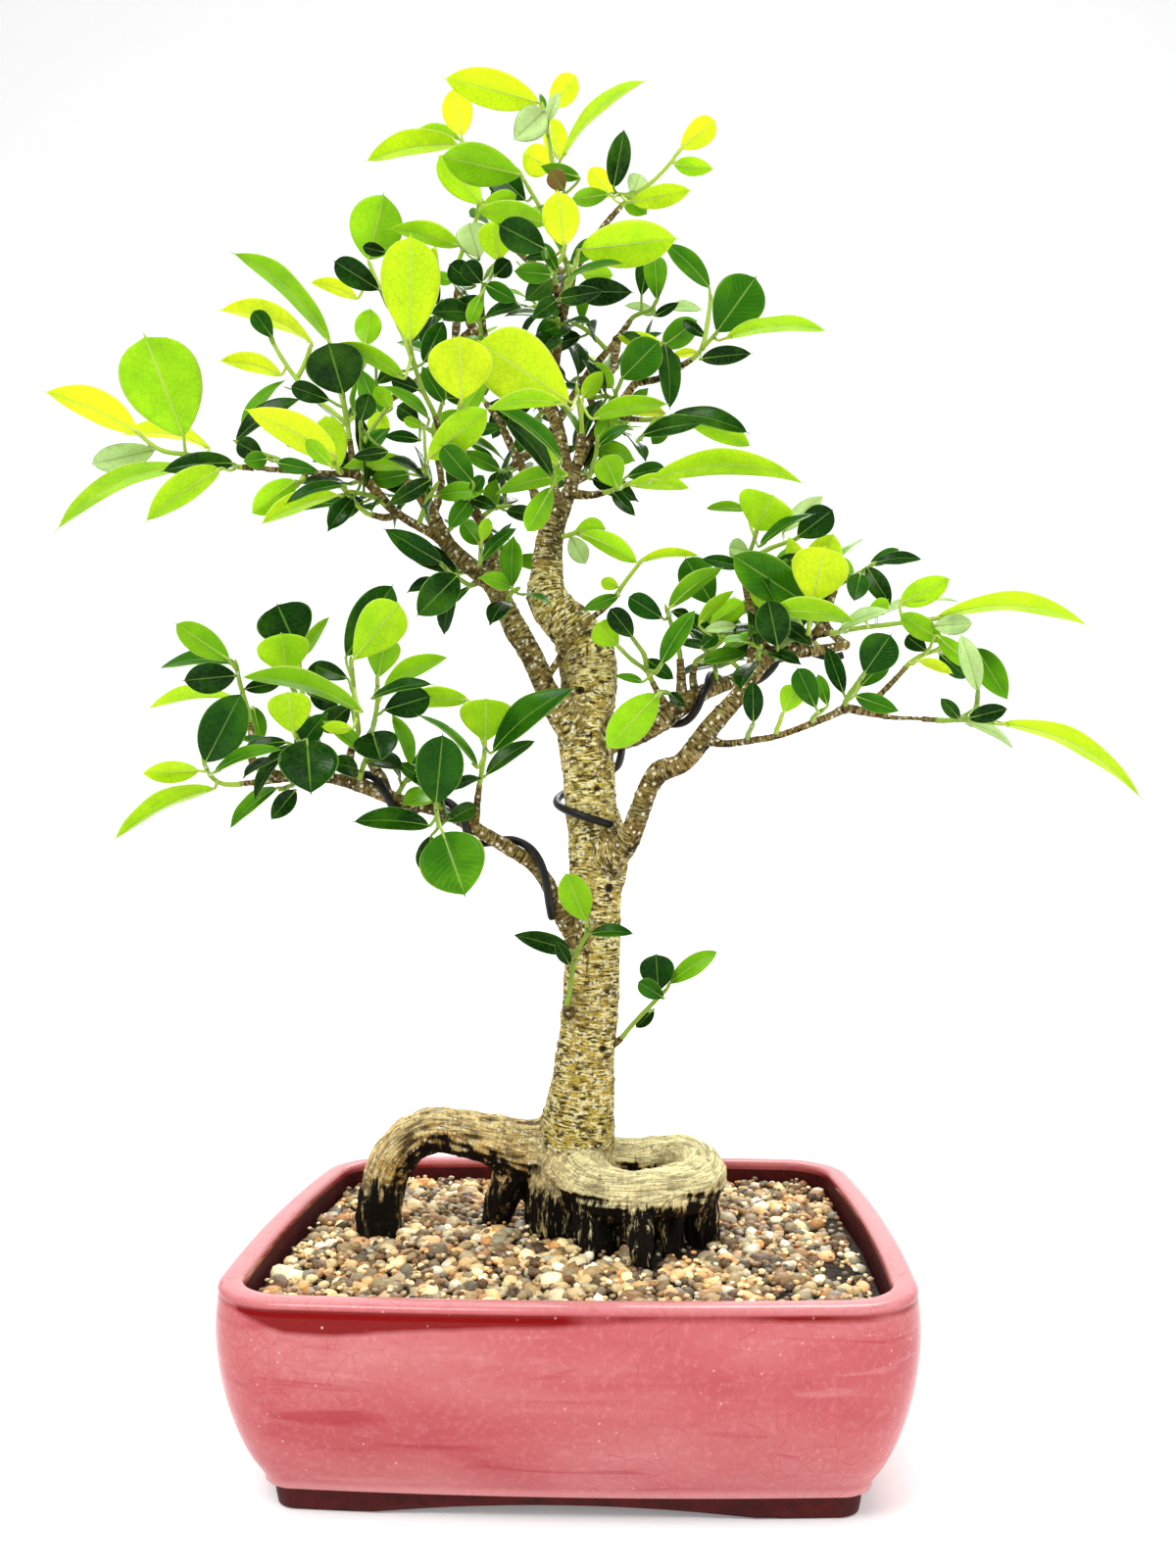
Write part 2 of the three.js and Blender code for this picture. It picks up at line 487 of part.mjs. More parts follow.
    wood: [[3.8, 413, -10, 2.3], [4.2, 419, -10, 2.1]],
    stems: [[[4, 426, -16], [3, 433, -24], [2.5, 438, -28]]],
    leaves: [[-1, 434, -42, 463, -50, -22, 31, 0.8], [9, 426, 43, 432, -40, -8, 9, 1],
      [-4, 433, -38, 431, -94, -12, 7, 1],
      [5, 436, 14, 448, -6, 8, 8, 1]] },
  { name: 'shoot_top_left',
    wood: [[-46, 473, 14, 2.1], [-51, 487, 15, 1.3]],
    stems: [[[-52, 493, 14], [-49, 503, 9], [-44, 514, 5], [-41, 523, 2]], [[-41, 523, 2],
      [-44, 538, 14], [-48.5, 554, 22]]],
    leaves: [[-49, 557, -53, 580, 26, 0, 14, 0], [-40, 525, -60, 549, -4, -4, 15, 1],
      [-51, 553, -93, 546, 14, -8, 11, 1],
      [-50, 555, -69, 561, 34, 2, 4.5, 1], [-50, 506, -82, 515, -9, -8, 10, 1],
      [-41, 500, -46, 517, -16, -3, 15, 4],
      [-43, 488, -55, 498, -10, -5, 11, 3], [-53, 490, -62, 493, 22, 4, 6, 1.4],
      [-40, 524, -24, 529, -14, -5, 8, 1]] },
  { name: 'shoot_top_inner',
    wood: [[-37, 456, 12, 2.2], [-39.5, 468, 6, 1.7], [-40, 478, 0, 1.4]],
    stems: [[[-39.5, 486, -6], [-37, 494, -12], [-33, 498, -16]]],
    leaves: [[-33, 499, -34, 518, -34, -6, 16, 1], [-34, 492, -27, 499, -30, -4, 9, 3],
      [-40, 489, -48, 499, -40, -6, 10, 3],
      [-41, 483, -58, 472, -10, 4, 8, 3], [-38, 488, -24, 480, -36, -4, 8, 2],
      [-40, 484, -46, 470, -30, -4, 7, 1.4]] },
  { name: 'shoot_crown',
    wood: [[-3, 476, 20, 1.9], [-1, 492, 21, 1.5]],
    stems: [[[-3, 500, 17], [-9, 512, 9], [-14, 523, 4], [-19, 532, 0], [-22, 537.5, -4]],
      [[-9, 512, 9], [-6, 527, 6], [-8, 542, 4], [-10, 555, 2], [-12, 567, 0]]],
    leaves: [[-22, 538, -59, 548, -24, -14, 18, 1.4], [-14, 571, -58, 584, -8, -8, 16, 0.4],
      [-4, 545, 35, 580, -8, -4, 8, 1],
      [-9, 569, 3, 584, 8, 4, 12, 0], [-12, 567, -26, 554, -24, -5, 14, 4],
      [-5, 545, -9, 565, 20, 4, 11, 0],
      [-9, 541, -22, 548, 26, 4, 14, 0], [4, 536, -14, 542, -14, -4, 7, 1.5],
      [-20, 526, -35, 541, 14, 4, 15, 2.5],
      [-3, 530, -9, 540, -20, -3, 9, 5], [-10, 562, -5, 576, -12, 2, 5, 4],
      [-10, 515, -43, 522, -44, -12, 11, 1],
      [-13, 566, -14, 576, 12, 2, 2.5, 2]] },
  { name: 'shoot_crown_front',
    wood: [[-4, 470, 18, 1.9], [-6, 480, 4, 1.6], [-7, 488, -8, 1.4]],
    stems: [[[-8, 495, -18], [-10, 501, -26]], [[-8, 495, -18], [-4, 500, -16], [-3, 504, -16]]],
    leaves: [[-12, 504, -33, 516, -58, -14, 15, 2.6], [-3, 505, -6, 531, -47, -4, 17, 0.2],
      [-10, 490, -21, 480, -40, -6, 10, 3],
      [-6, 493, -13, 507, -34, 2, 6, 2], [-9, 492, -26, 494, -46, -6, 9, 1.8]] },
  { name: 'shoot_crown_right',
    wood: [[-2, 478, 20, 1.8], [0, 486, 8, 1.5], [1, 493, -2, 1.3]],
    stems: [[[2.5, 499, -10], [3, 502, -18]], [[2.5, 499, -10], [0, 489, -26], [-4, 482, -34]]],
    leaves: [[4, 503, 48, 507, -38, -12, 20, 0.8], [2, 484, 28, 483, -38, -6, 12, 3],
      [-5, 481, 15, 484, -56, -8, 8, 3],
      [-2, 489, 24, 496, -48, -6, 4, 2], [5, 492, 19, 491, -6, 4, 9, 1],
      [-7, 480, -18, 472, -44, -6, 8, 3]] },
  { name: 'shoot_crown_back',
    wood: [[0, 490, 21, 1.8], [7, 502, 28, 1.6], [15, 514, 34, 1.4], [22, 522, 36, 1.2]],
    stems: [[[28, 527, 35], [36, 533, 33], [43, 540, 31], [48, 546.5, 29]], [[28, 527, 35], [20, 528, 32]]],
    leaves: [[49, 548, 65, 561, 28, -2, 12, 0], [27, 524, 54, 529, 20, -5, 10, 0.6],
      [19, 531, 24, 558, 28, -2, 10.5, 3],
      [46, 541, 64, 538, 42, 4, 8, 1], [17, 528, 0, 526, 14, -6, 8, 1.5],
      [18, 527, 8, 541, 42, 4, 10, 0], [27, 527, 31, 537, 46, 2, 9, 4],
      [24, 528, 34, 518, 44, 4, 10, 1.6]] },
  { name: 'shoot_right_oval',
    wood: [[20, 461.5, 29, 1.5], [26, 470, 29, 1.2]],
    stems: [[[31, 473.5, 27], [35, 474.5, 23], [37, 477.5, 20]]],
    leaves: [[38, 479, 37, 500, 14, -4, 10.5, 2], [37, 472, 48, 478, 16, -3, 4.5, 3],
      [31, 481, 34, 499, 26, -3, 9, 3],
      [37, 473, 23, 477, 38, 3, 4, 4], [42, 475, 58, 474, 34, 3, 4, 4]] },
  { name: 'shoot_right_glossy',
    wood: [[29, 442, 12, 1.8], [38, 443.5, 4, 1.5], [46, 447.5, -2, 1.4], [53, 452, -6, 1.3]],
    stems: [[[58, 457, -9], [63, 462.5, -12]], [[58, 457, -9], [60, 468, 2], [61.5, 478, 6]]],
    leaves: [[64, 464, 82, 489, -20, -6, 23, 2], [68, 461, 113, 463, -28, -8, 8, 1],
      [57, 452, 80, 454, -30, -6, 8, 3],
      [61, 484, 41, 505, 4, -4, 9, 2], [59, 462, 49, 470, -2, 2, 5, 3], [56, 455, 43, 453, 6, 2, 4, 0]] },
  { name: 'shoot_right_fold',
    wood: [[27, 440.5, 12, 1.9], [33, 448, 15, 1.5]],
    stems: [[[36, 452, 14], [38.5, 457, 11]]],
    leaves: [[39, 460, 20, 463, -2, -6, 7, 0.5], [36, 449, 38, 461, 24, 4, 10, 3],
      [41, 459, 43, 429, -6, -8, 10, 2.6],
      [40, 458, 56, 470, 26, 6, 12, 1.6]] },
  { name: 'shoot_right_face',
    wood: [[19, 430, 8, 2], [19.3, 436, 4, 1.4]],
    stems: [[[20.3, 439.5, 0], [21.6, 442.5, -4]]],
    leaves: [[22, 444, 39, 461, -14, -6, 17, 1.8], [18, 440, 9, 452, 12, 4, 8, 1.2]] },
  { name: 'shoot_right_dark',
    wood: [[18, 428, 7, 1.7], [25, 426, 0, 1.3], [31, 425.3, -4, 1.2]],
    stems: [[[37, 425.5, -8], [43, 426, -12]], [[37, 425.5, -8], [33, 420, -14], [30, 417, -18]]],
    leaves: [[44, 427, 78, 418, -26, -8, 9, 3], [31, 418, 58, 423, -38, -6, 8, 3],
      [50, 425, 79, 412, -6, 4, 10, 1.2],
      [41, 428, 24, 428, -2, 4, 5, 0], [42, 423, 35, 414, 4, 4, 7, 2]] },
  { name: 'shoot_top_thin',
    wood: [[2, 397, -8, 2], [6, 400, -5, 1.3]],
    stems: [[[8.5, 404, -6], [10.5, 410, -9], [11, 415, -12]]],
    leaves: [[12, 414, 26, 423, -24, -4, 5, 2], [11, 417, 20, 430, -6, 6, 9, 1.6],
      [9, 402, 19, 410, 4, 6, 7, 2.4]] },
  { name: 'shoot_long_right',
    wood: [[0, 392, -9, 2.4], [8, 392, -14, 1.7], [14, 393, -18, 1.4]],
    stems: [[[19, 394.5, -22], [27, 397.5, -24], [33, 398.3, -28]]],
    leaves: [[35, 398.5, 103, 394, -44, -14, 14, 1], [20, 395, 14, 410, -36, -6, 14, 1.5],
      [25, 396, 52, 394, -32, -2, 7, 1],
      [24, 400, 41, 404, -8, 4, 8, 2.5], [18, 393, 28, 382, -30, -6, 6, 3]] },
  { name: 'shoot_mid_right',
    wood: [[-9, 374, -6, 3], [-4, 374, -12, 1.5]],
    stems: [[[0, 375, -16], [3, 375, -19]]],
    leaves: [[4, 375, 29, 361, -34, -8, 9, 1], [1, 376, 15, 377, -24, 2, 11, 1],
      [-1, 374, 6, 361, -8, 6, 9, 4]] },
  { name: 'shoot_wing',
    wood: [[76, 347, -17, 1.7], [74.5, 357, -16, 1.3]],
    stems: [[[75, 361, -18], [78, 367, -21], [80, 373, -25]], [[75, 361, -18], [86, 367, -12],
      [96, 370.5, -14]]],
    leaves: [[80, 375, 88, 391, -32, -10, 27, 1], [98, 372, 114, 384, -20, -4, 14, 3],
      [76, 384, 58, 385, -14, 2, 5, 1.2],
      [82, 368, 106, 382, -42, -4, 5, 2], [73, 359, 56, 363, -36, -8, 6, 2.5],
      [92, 374, 110, 390, 2, 4, 8, 4], [77, 366, 68, 368, -8, 2, 9, 4]] },
  { name: 'shoot_mid_up',
    wood: [[47, 299, -4, 2.8], [47, 311, -6, 2], [46.6, 319, -8, 1.6]],
    stems: [[[45.5, 327, -10], [43, 334, -12], [41.5, 339, -14]]],
    leaves: [[42, 341, 66, 359, -36, -8, 8, 1.5], [39, 337, 24, 347, -32, -6, 10, 2.6],
      [43, 340, 51, 338, -4, 4, 5, 3]] },
  { name: 'shoot_mid_low',
    wood: [[41, 297, -6, 2.4], [37, 304, -12, 1.6], [34.5, 309, -14, 1.3]],
    stems: [[[32, 314, -17], [26, 318.5, -20], [21, 323.5, -24]], [[32, 314, -17], [31, 321, -22],
      [27, 327, -25]],
      [[32, 314, -17], [36, 313.5, -26], [38, 316, -31]]],
    leaves: [[38.5, 317, 54, 341, -42, -8, 9.5, 2], [26, 329, 16, 342, -34, -6, 10, 3],
      [20, 325, 10, 335, -32, -6, 13, 1],
      [32, 319, 44, 310, -10, 4, 7, 2.6], [30, 309, 18, 312, -26, -3, 4, 2]] },
  { name: 'shoot_droop',
    wood: [[45, 298, -6, 2.2], [43, 302.5, -17, 1.4]],
    stems: [[[40.5, 304.5, -24], [38, 304.8, -30]]],
    leaves: [[37, 304, 14, 280, -48, -12, 17, 1.4], [42, 304, 49, 298, -36, -4, 5, 3]] },
  { name: 'shoot_mid_centre',
    wood: [[53, 303, -2, 2.2], [52, 311, -4, 1.6], [53, 316, -6, 1.3]],
    stems: [[[58, 321, -8], [64, 326, -10], [69, 331, -12]], [[64, 326, -10], [62.5, 334, -8],
      [61.5, 341, -9]]],
    leaves: [[61, 343, 49, 364, -14, -4, 16, 1.8], [60, 334, 75, 344, -25, 2, 10, 1],
      [55, 334, 71, 349, -34, -4, 6, 1],
      [71, 333, 56, 331, -28, -4, 5, 4], [56, 324, 63, 330, -20, -3, 7, 2.5],
      [56, 317, 76, 321, -15, -2, 6, 1.8]] },
  { name: 'shoot_arch',
    wood: [[79, 334, -18, 2.2], [81, 336, -25, 1.4]],
    stems: [[[83, 337.5, -30], [85, 338.5, -34]]],
    leaves: [[86, 339, 123, 334, -54, -12, 9, 1], [84, 340, 77, 349, -36, -2, 4, 1],
      [86, 340, 108, 344, -26, 4, 6, 2.7]] },
  { name: 'shoot_yellow_heart',
    wood: [[101, 325, -24, 1.8], [102, 329.5, -33, 1.4]],
    stems: [[[102.8, 335, -42], [103.5, 341.5, -50]]],
    leaves: [[104, 343, 110, 368, -55, -10, 25, 0.5], [101, 343, 69, 365, -40, -10, 19, 2],
      [104, 350, 114, 374, -24, 6, 16, 0.8],
      [102, 348, 94, 373, -28, 4, 10, 0.8]] },
  { name: 'shoot_right_upper',
    wood: [[109, 334, -28, 2], [112, 343, -30, 1.5], [114, 348, -31, 1.3]],
    stems: [[[118, 352, -31], [125, 356, -29], [129, 358.5, -27]]],
    leaves: [[130, 359, 152, 361, -22, -4, 5, 3], [128, 358, 138, 341, -38, -6, 9, 3],
      [125, 355, 122, 343, -44, -6, 10, 2.7],
      [129, 359, 142, 366, -8, 4, 6, 2.2], [122, 354, 112, 362, -8, 6, 9, 1.4]] },
  { name: 'shoot_dark_drop',
    wood: [[88, 320, -24, 2], [88, 319, -30, 1.3]],
    stems: [[[88.4, 320.5, -35], [88.8, 322.5, -39]]],
    leaves: [[89, 324, 85, 345, -51, -6, 15, 3], [90, 323, 98, 337, -30, 6, 9, 4]] },
  { name: 'leaf_low_a', wood: [[75, 283, -36, 1.7], [75.5, 285, -40, 1.2]], stems: [[[76.5, 287.5, -46],
    [77.5, 289.5, -51]]],
    leaves: [[78, 291, 78, 309.5, -60, -4, 9, 3]] },
  { name: 'leaf_low_b', wood: [[88, 285, -40, 1.7], [88, 287, -44, 1.2]], stems: [[[89, 290, -49],
    [90, 293, -53]]],
    leaves: [[91, 295, 97, 307, -60, -4, 11, 1.2]] },
  { name: 'leaf_low_c', wood: [[103, 290.5, -43, 1.7],
    [103.5, 292, -47, 1.2]], stems: [[[105, 294, -52], [107, 295.5, -56]]],
    leaves: [[105, 297, 97, 315, -64, -4, 11, 2.5], [110, 298, 106, 312, -52, 2, 6, 2]] },
  { name: 'shoot_right_heart', wood: [[117, 296.5, -45, 2.2], [117.5, 298.5, -49, 1.4]],
    stems: [[[120, 303.5, -54], [125, 310.5, -60]]],
    leaves: [[126, 312, 138, 329, -70, -8, 17, 2.7], [117, 303, 110, 324, -50, 2, 8, 3],
      [124, 306, 136, 318, -38, 6, 9, 2],
      [122, 302, 141, 295, -66, -4, 8, 2.2]] },
  { name: 'shoot_right_mid',
    wood: [[125, 295.5, -46, 2], [131, 301, -47, 1.4], [138, 308, -44, 1.3], [144, 314.5, -41, 1.1]],
    stems: [[[149, 318.5, -40], [157, 321.5, -38], [168, 322.5, -37]]],
    leaves: [[174, 322, 187, 299, -38, -4, 12, 1.8], [157, 328, 173, 313, -54, -6, 8, 1.5],
      [160, 325, 141, 338, -50, -4, 10, 1.3],
      [153, 321, 144, 328, -26, 4, 8, 3], [149, 317, 164, 311, -52, -3, 5, 0.5],
      [158, 320, 170, 309, -22, 6, 8, 2.4]] },
  { name: 'shoot_right_long',
    wood: [[105, 328.5, -26, 1.8], [112, 329.5, -32, 1.3]],
    stems: [[[120, 331, -37], [137, 333, -41], [147, 334.2, -43], [155, 335, -45]]],
    leaves: [[157, 335.5, 223, 330, -52, -12, 8.5, 1], [142, 342, 164, 353, -30, 2, 12, 0.8],
      [156, 332, 173, 333, -52, -4, 9, 4],
      [132, 337, 168, 342, -22, 6, 4, 4], [127, 336, 137, 344, -52, -4, 7, 1.2],
      [116, 331, 138, 339, -56, -4, 5, 4]] },
  { name: 'shoot_right_tip',
    wood: [[150, 291.8, -48, 1.2], [157, 291.2, -49, 1.1]],
    stems: [[[165, 291.2, -51], [174, 290.8, -52], [182, 289.7, -53]], [[165, 291.2, -51],
      [173, 296, -55], [174, 301.5, -58]]],
    leaves: [[184, 289.5, 243, 255, -62, -14, 11, 1], [174, 303.5, 167, 329, -62, -6, 9, 4],
      [170, 292, 187, 296, -68, -6, 8, 3],
      [166, 292, 158, 301, -62, -4, 6, 3], [169, 289.5, 189, 278, -42, 4, 4, 4]] },
  { name: 'shoot_low_tip',
    wood: [[-132, 267.5, -44, 1.5], [-147, 266, -46, 1.2]],
    stems: [[[-155, 266.3, -48], [-159.5, 269.5, -50], [-162, 274, -53]]],
    leaves: [[-162, 276, -146, 307, -68, -12, 20, 2.4], [-158, 264, -203, 241, -56, -8, 9.5, 1],
      [-165, 272, -191, 271, -50, -4, 10, 0.8],
      [-158, 271, -127, 281, -76, -8, 6, 2]] },
  { name: 'shoot_low_mid',
    wood: [[-120, 268.5, -42, 2.4], [-133, 271, -36, 2.1], [-141, 276, -33, 1.9],
      [-141.5, 285, -33, 1.5], [-142.5, 294, -34, 1.3]],
    stems: [[[-144.5, 302, -35], [-147, 310, -37], [-148.5, 317, -40]]],
    leaves: [[-152, 321, -177, 338, -46, -6, 13, 1.5], [-149, 314, -173, 312, -60, -8, 14, 3],
      [-149, 319, -184, 317, -28, 4, 5, 2],
      [-148, 303, -189, 299, -24, 4, 6, 1], [-141, 300, -137, 284, -16, 4, 8, 1.5],
      [-145, 308, -128, 311, -20, 6, 7, 3]] },
  { name: 'shoot_low_big',
    wood: [[-106, 268, -40, 2.4], [-109, 276, -38, 2], [-113, 285, -38, 1.8], [-116, 293, -38, 1.5]],
    stems: [[[-118.5, 301, -38], [-120, 313, -34], [-121, 323, -31]], [[-118.5, 301, -38],
      [-123, 307, -46], [-126, 312, -52]]],
    leaves: [[-122, 326, -131, 346, -32, -6, 25, 3], [-126, 314, -129, 333, -62, -8, 23, 1],
      [-118, 323, -107, 340, -16, 4, 6, 1.4],
      [-116, 305, -103, 300, -22, 6, 9, 3], [-119, 309, -108, 320, -14, 6, 8, 2.4]] },
  { name: 'shoot_low_heart',
    wood: [[-113, 268.5, -43, 2], [-117, 275.5, -53, 1.4], [-118.6, 280, -59, 1.2]],
    stems: [[[-120.5, 284, -65], [-122, 287, -69]]],
    leaves: [[-123, 288, -126, 307, -76, -8, 19, 1], [-117, 285, -115, 261, -86, -6, 26, 3],
      [-124, 283, -140, 258, -56, 4, 6, 3],
      [-126, 284, -147, 280, -62, -2, 6, 3]] },
  { name: 'shoot_low_hang',
    wood: [[-122, 268, -43, 1.9], [-123, 266, -48, 1.2]],
    stems: [[[-124.5, 265, -53], [-127, 264, -57]]],
    leaves: [[-122, 263, -133, 250, -70, -6, 9, 3], [-130, 264, -151, 246, -47, 0, 6, 2]] },
  { name: 'shoot_low_lime',
    wood: [[-94, 265.5, -39, 2.6], [-98, 274, -38, 2.1], [-97, 282, -42, 1.6], [-95, 287, -45, 1.3]],
    stems: [[[-94.7, 293, -49], [-96, 304, -55], [-97.5, 318, -63]]],
    leaves: [[-97, 320, -76, 346, -74, -12, 21, 1], [-93, 297, -148, 313, -74, -12, 10, 1.2],
      [-100, 322, -79, 354, -42, 2, 18, 2.8],
      [-98, 300, -111, 289, -32, 6, 11, 3], [-97, 290, -111, 291, -58, -4, 6, 1],
      [-99, 312, -114, 318, -44, 4, 8, 3]] },
  { name: 'shoot_low_oval',
    wood: [[-82, 260.5, -37, 3.2], [-84, 268, -39, 2.6], [-89, 276, -42, 2], [-90, 282, -44, 1.6],
      [-89, 286, -46, 1.3]],
    stems: [[[-87.5, 292, -49], [-86, 301, -53], [-86, 310, -58]]],
    leaves: [[-86, 312, -82, 331, -66, -6, 15, 1.5], [-88, 288, -84, 275, -66, -8, 20, 3],
      [-83, 298, -62, 304, -44, 2, 14, 3],
      [-83, 308, -54, 321, -36, 4, 8, 1], [-88, 303, -61, 309, -74, -6, 6, 2.6]] },
  { name: 'shoot_low_front',
    wood: [[-56, 252.5, -29, 2.2], [-58, 249, -40, 1.5], [-58.6, 247.3, -47, 1.2]],
    stems: [[[-59.2, 249.5, -54], [-60, 255.5, -60]]],
    leaves: [[-60, 257, -57, 288, -68, -10, 21, 2.3], [-57, 244, -47, 216, -74, -10, 29, 2],
      [-63, 247, -97, 249, -60, -8, 10, 3],
      [-62, 243, -66, 227, -48, 6, 9, 3], [-56, 249, -42, 256, -46, 8, 8, 3]] },
  { name: 'shoot_low_fan',
    wood: [[-43, 246.5, -25, 2.2], [-42, 257, -30, 1.6], [-41, 265, -34, 1.3]],
    stems: [[[-40, 271, -39], [-39, 277, -44], [-38.6, 282, -49]]],
    leaves: [[-38.5, 283.5, -38, 303, -60, -12, 23, 1], [-35, 279, 2, 307, -63, -8, 11, 2.6],
      [-46, 302, -80, 300, -34, -2, 10, 1],
      [-42, 272, -69, 296, -50, -4, 5, 2], [-38, 269, -16, 284, -34, 6, 7, 3]] },
  { name: 'sprig_trunk_left',
    wood: [[-1, 166, 0, 4], [-3, 168, -9, 1.8], [-3.2, 170, -11, 1.2]],
    stems: [[[-2.4, 174, -12], [-1, 184, -13], [1, 192, -14], [5, 199.5, -16], [5.4, 204, -18]]],
    leaves: [[5, 206, -4, 227, -28, -8, 14, 1.4], [-2, 193, -27, 200, -20, -4, 9, 3],
      [7, 200, 26, 200, -26, -3, 5, 2.5],
      [-2, 187, -8, 197, -26, -4, 6, 3]] },
  { name: 'sprig_trunk_right',
    wood: [[12, 154, 2, 4], [18.5, 154.5, 0, 1.7], [20, 156, -1, 1.2]],
    stems: [[[23, 159.5, -2], [28, 165, -4], [34, 171, -6], [38, 175, -7]]],
    leaves: [[36, 176, 35, 192, -14, -3, 15, 3], [41, 179, 62, 193, -14, -3, 8.5, 1.5],
      [38, 173, 27, 180, -22, -4, 8, 2],
      [34, 168, 26, 160, 4, 3, 6, 3]] },
  { name: 'sprig_stub',
    wood: [[-11, 311, -6, 2.2], [-7, 318, -13, 1.6], [0, 330, -13, 1.7], [7, 336.5, -13, 1.4],
      [14, 342, -15, 1.3], [18.5, 347, -16, 1.3]],
    stems: [[[21, 350.5, -17], [25, 356, -18], [29, 361, -19]]],
    leaves: [[30, 362, 56, 364, -24, -3, 5, 0.6], [20, 347, 4, 341, -28, -4, 6, 2],
      [20, 351, 12, 354, -10, 4, 6, 0.8]] },
];

// Shoots that sit straight on old wood, without a twig of their own, belong to the tree's own body.
const ON_WOOD = ['leaf_low_a', 'leaf_low_b', 'leaf_low_c', 'shoot_low_hang', 'shoot_left_under', 'shoot_pale',
  'shoot_dark_drop', 'shoot_left_inner', 'shoot_right_face', 'sprig_stub', 'shoot_droop', 'shoot_limb_end'];

// Shoots on the far side, by rule: [x, z, depth, spread] of the shoot's end as seen.
const BACK = [[-54, 448, 84, 1], [-12, 474, 100, 2], [16, 444, 86, 3], [-34, 512, 78, 4],
  [-104, 424, 44, 5], [58, 334, 66, 6],
  [104, 348, 62, 7], [-30, 400, 92, 9]];
const GOLDEN = 2.39996;

function backShoot([x, z, y, seed]) {
  const limbs = Object.values(LIMB_PATHS);
  const end = seen(x, z, y);
  let root = null;
  for (const path of limbs) {
    const hit = nearest(path, end);
    if (!root || hit.far < root.far) root = hit;
  }
  const wood = [root.point, root.point.clone().lerp(end, 0.45), root.point.clone().lerp(end, 0.72)];
  wood[1].z -= 5;
  wood[2].z -= 3;
  const stem = [root.point.clone().lerp(end, 0.86), end];
  const leaves = [];
  for (let i = 0; i < 4; i += 1) {
    const base = stem[0].clone().lerp(end, 0.25 + 0.25 * i);
    const turn = i * GOLDEN + seed;
    const long = 26 + 12 * draw(seed * 31 + i);
    const rise = 0.35 + 0.5 * draw(seed * 57 + i);
    const way = new THREE.Vector3(Math.cos(turn), 0.75 * Math.sin(turn) + 0.25, rise).normalize();
    const tip = base.clone().addScaledVector(way, long);
    base.addScaledVector(way, 4);
    const roll = 60 + 40 * draw(seed * 77 + i);
    leaves.push({ base, tip, wide: long * LEAF_RATIO, roll, slide: 0 });
  }
  return { name: `back_${seed}`, wood, woodR: [2.4, 1.7, 1.2], stem, leaves };
}

function eyeward(base, tip) {
  const along = tip.clone().sub(base).normalize();
  const eye = EYE.clone().sub(base.clone().lerp(tip, 0.5)).normalize();
  const face = eye.addScaledVector(along, -eye.dot(along)).normalize();
  const sky = along.clone().cross(face);
  if (sky.z < 0 || (Math.abs(sky.z) < 1e-9 && sky.x < 0)) sky.negate();
  return { along, face, sky };
}

const FULL = [[0.24, 0.72], [0.52, 1], [0.8, 0.68]];
const BRIEF = [[0.32, 0.86], [0.7, 0.88]];

function leafShape(row, slide) {
  const [bx, bz, tx, tz, y, lean, width, tone] = row;
  const base = seen(bx, bz, y + slide);
  const tip = seen(tx, tz, y + slide + lean);
  const near = (y + slide + lean / 2 - EYE.y) / -EYE.y;
  const flat = Math.hypot(tx - bx, tz - bz) * near;
  const wide = Math.max(width * near, LEAF_RATIO * flat * 0.8);
  let roll = (Math.acos(Math.min(1, (width * near) / wide)) * 180) / Math.PI;
  const high = (bz + tz) / 2;
  if (high > 250 && tone < 1.7) roll = 180 - roll;
  return { base, tip, wide, roll };
}

// Leaf blade: rings from its base to its tip, each the left edge, the midrib's keel and the right edge.
function blade({ base, tip, wide, roll }, grow = 0) {
  const { along, face, sky } = eyeward(base, tip);
  const a = (roll * Math.PI) / 180;
  const up = face.clone().multiplyScalar(Math.cos(a)).addScaledVector(sky, Math.sin(a));
  const side = up.clone().cross(along).normalize();
  const long = base.distanceTo(tip);
  const arch = 0.11 * long;
  const keel = BLADE_THICK + grow;
  const ring = (mid, w, k) => [
    mid.clone().addScaledVector(side, w).addScaledVector(up, grow),
    mid.clone().addScaledVector(up, -k),
    mid.clone().addScaledVector(side, -w).addScaledVector(up, grow),
  ];
  const rings = [ring(base.clone().addScaledVector(up, 0.4), wide * 0.05 + 0.5 + grow, keel)];
  for (const [t, w] of long > 44 ? FULL : BRIEF) {
    const mid = base.clone().lerp(tip, t).addScaledVector(up, arch * 4 * t * (1 - t));
    rings.push(ring(mid, (wide / 2) * w + grow, keel));
  }
  rings.push([tip.clone().addScaledVector(along, grow * 2)]);
  rings.along = along;
  rings.side = side;
  return rings;
}

// Rings that a stalk ending at from runs on into: without the blade's base where the stalk is short and
// straight, or null where it would have to turn back.
function onward(from, way, shape, grow = 0) {
  const rings = blade(shape, grow);
  for (const first of shape.base.distanceTo(from) < 9 ? [1, 0] : [0]) {
    const on = middle(rings[first]).sub(from).normalize();
    const least = first ? 0.5 : -0.2;
    if (on.dot(rings.along) > least && (!way || way.dot(on) > least)) {
      return { rest: rings.slice(first), on, side: rings.side };
    }
  }
  return null;
}

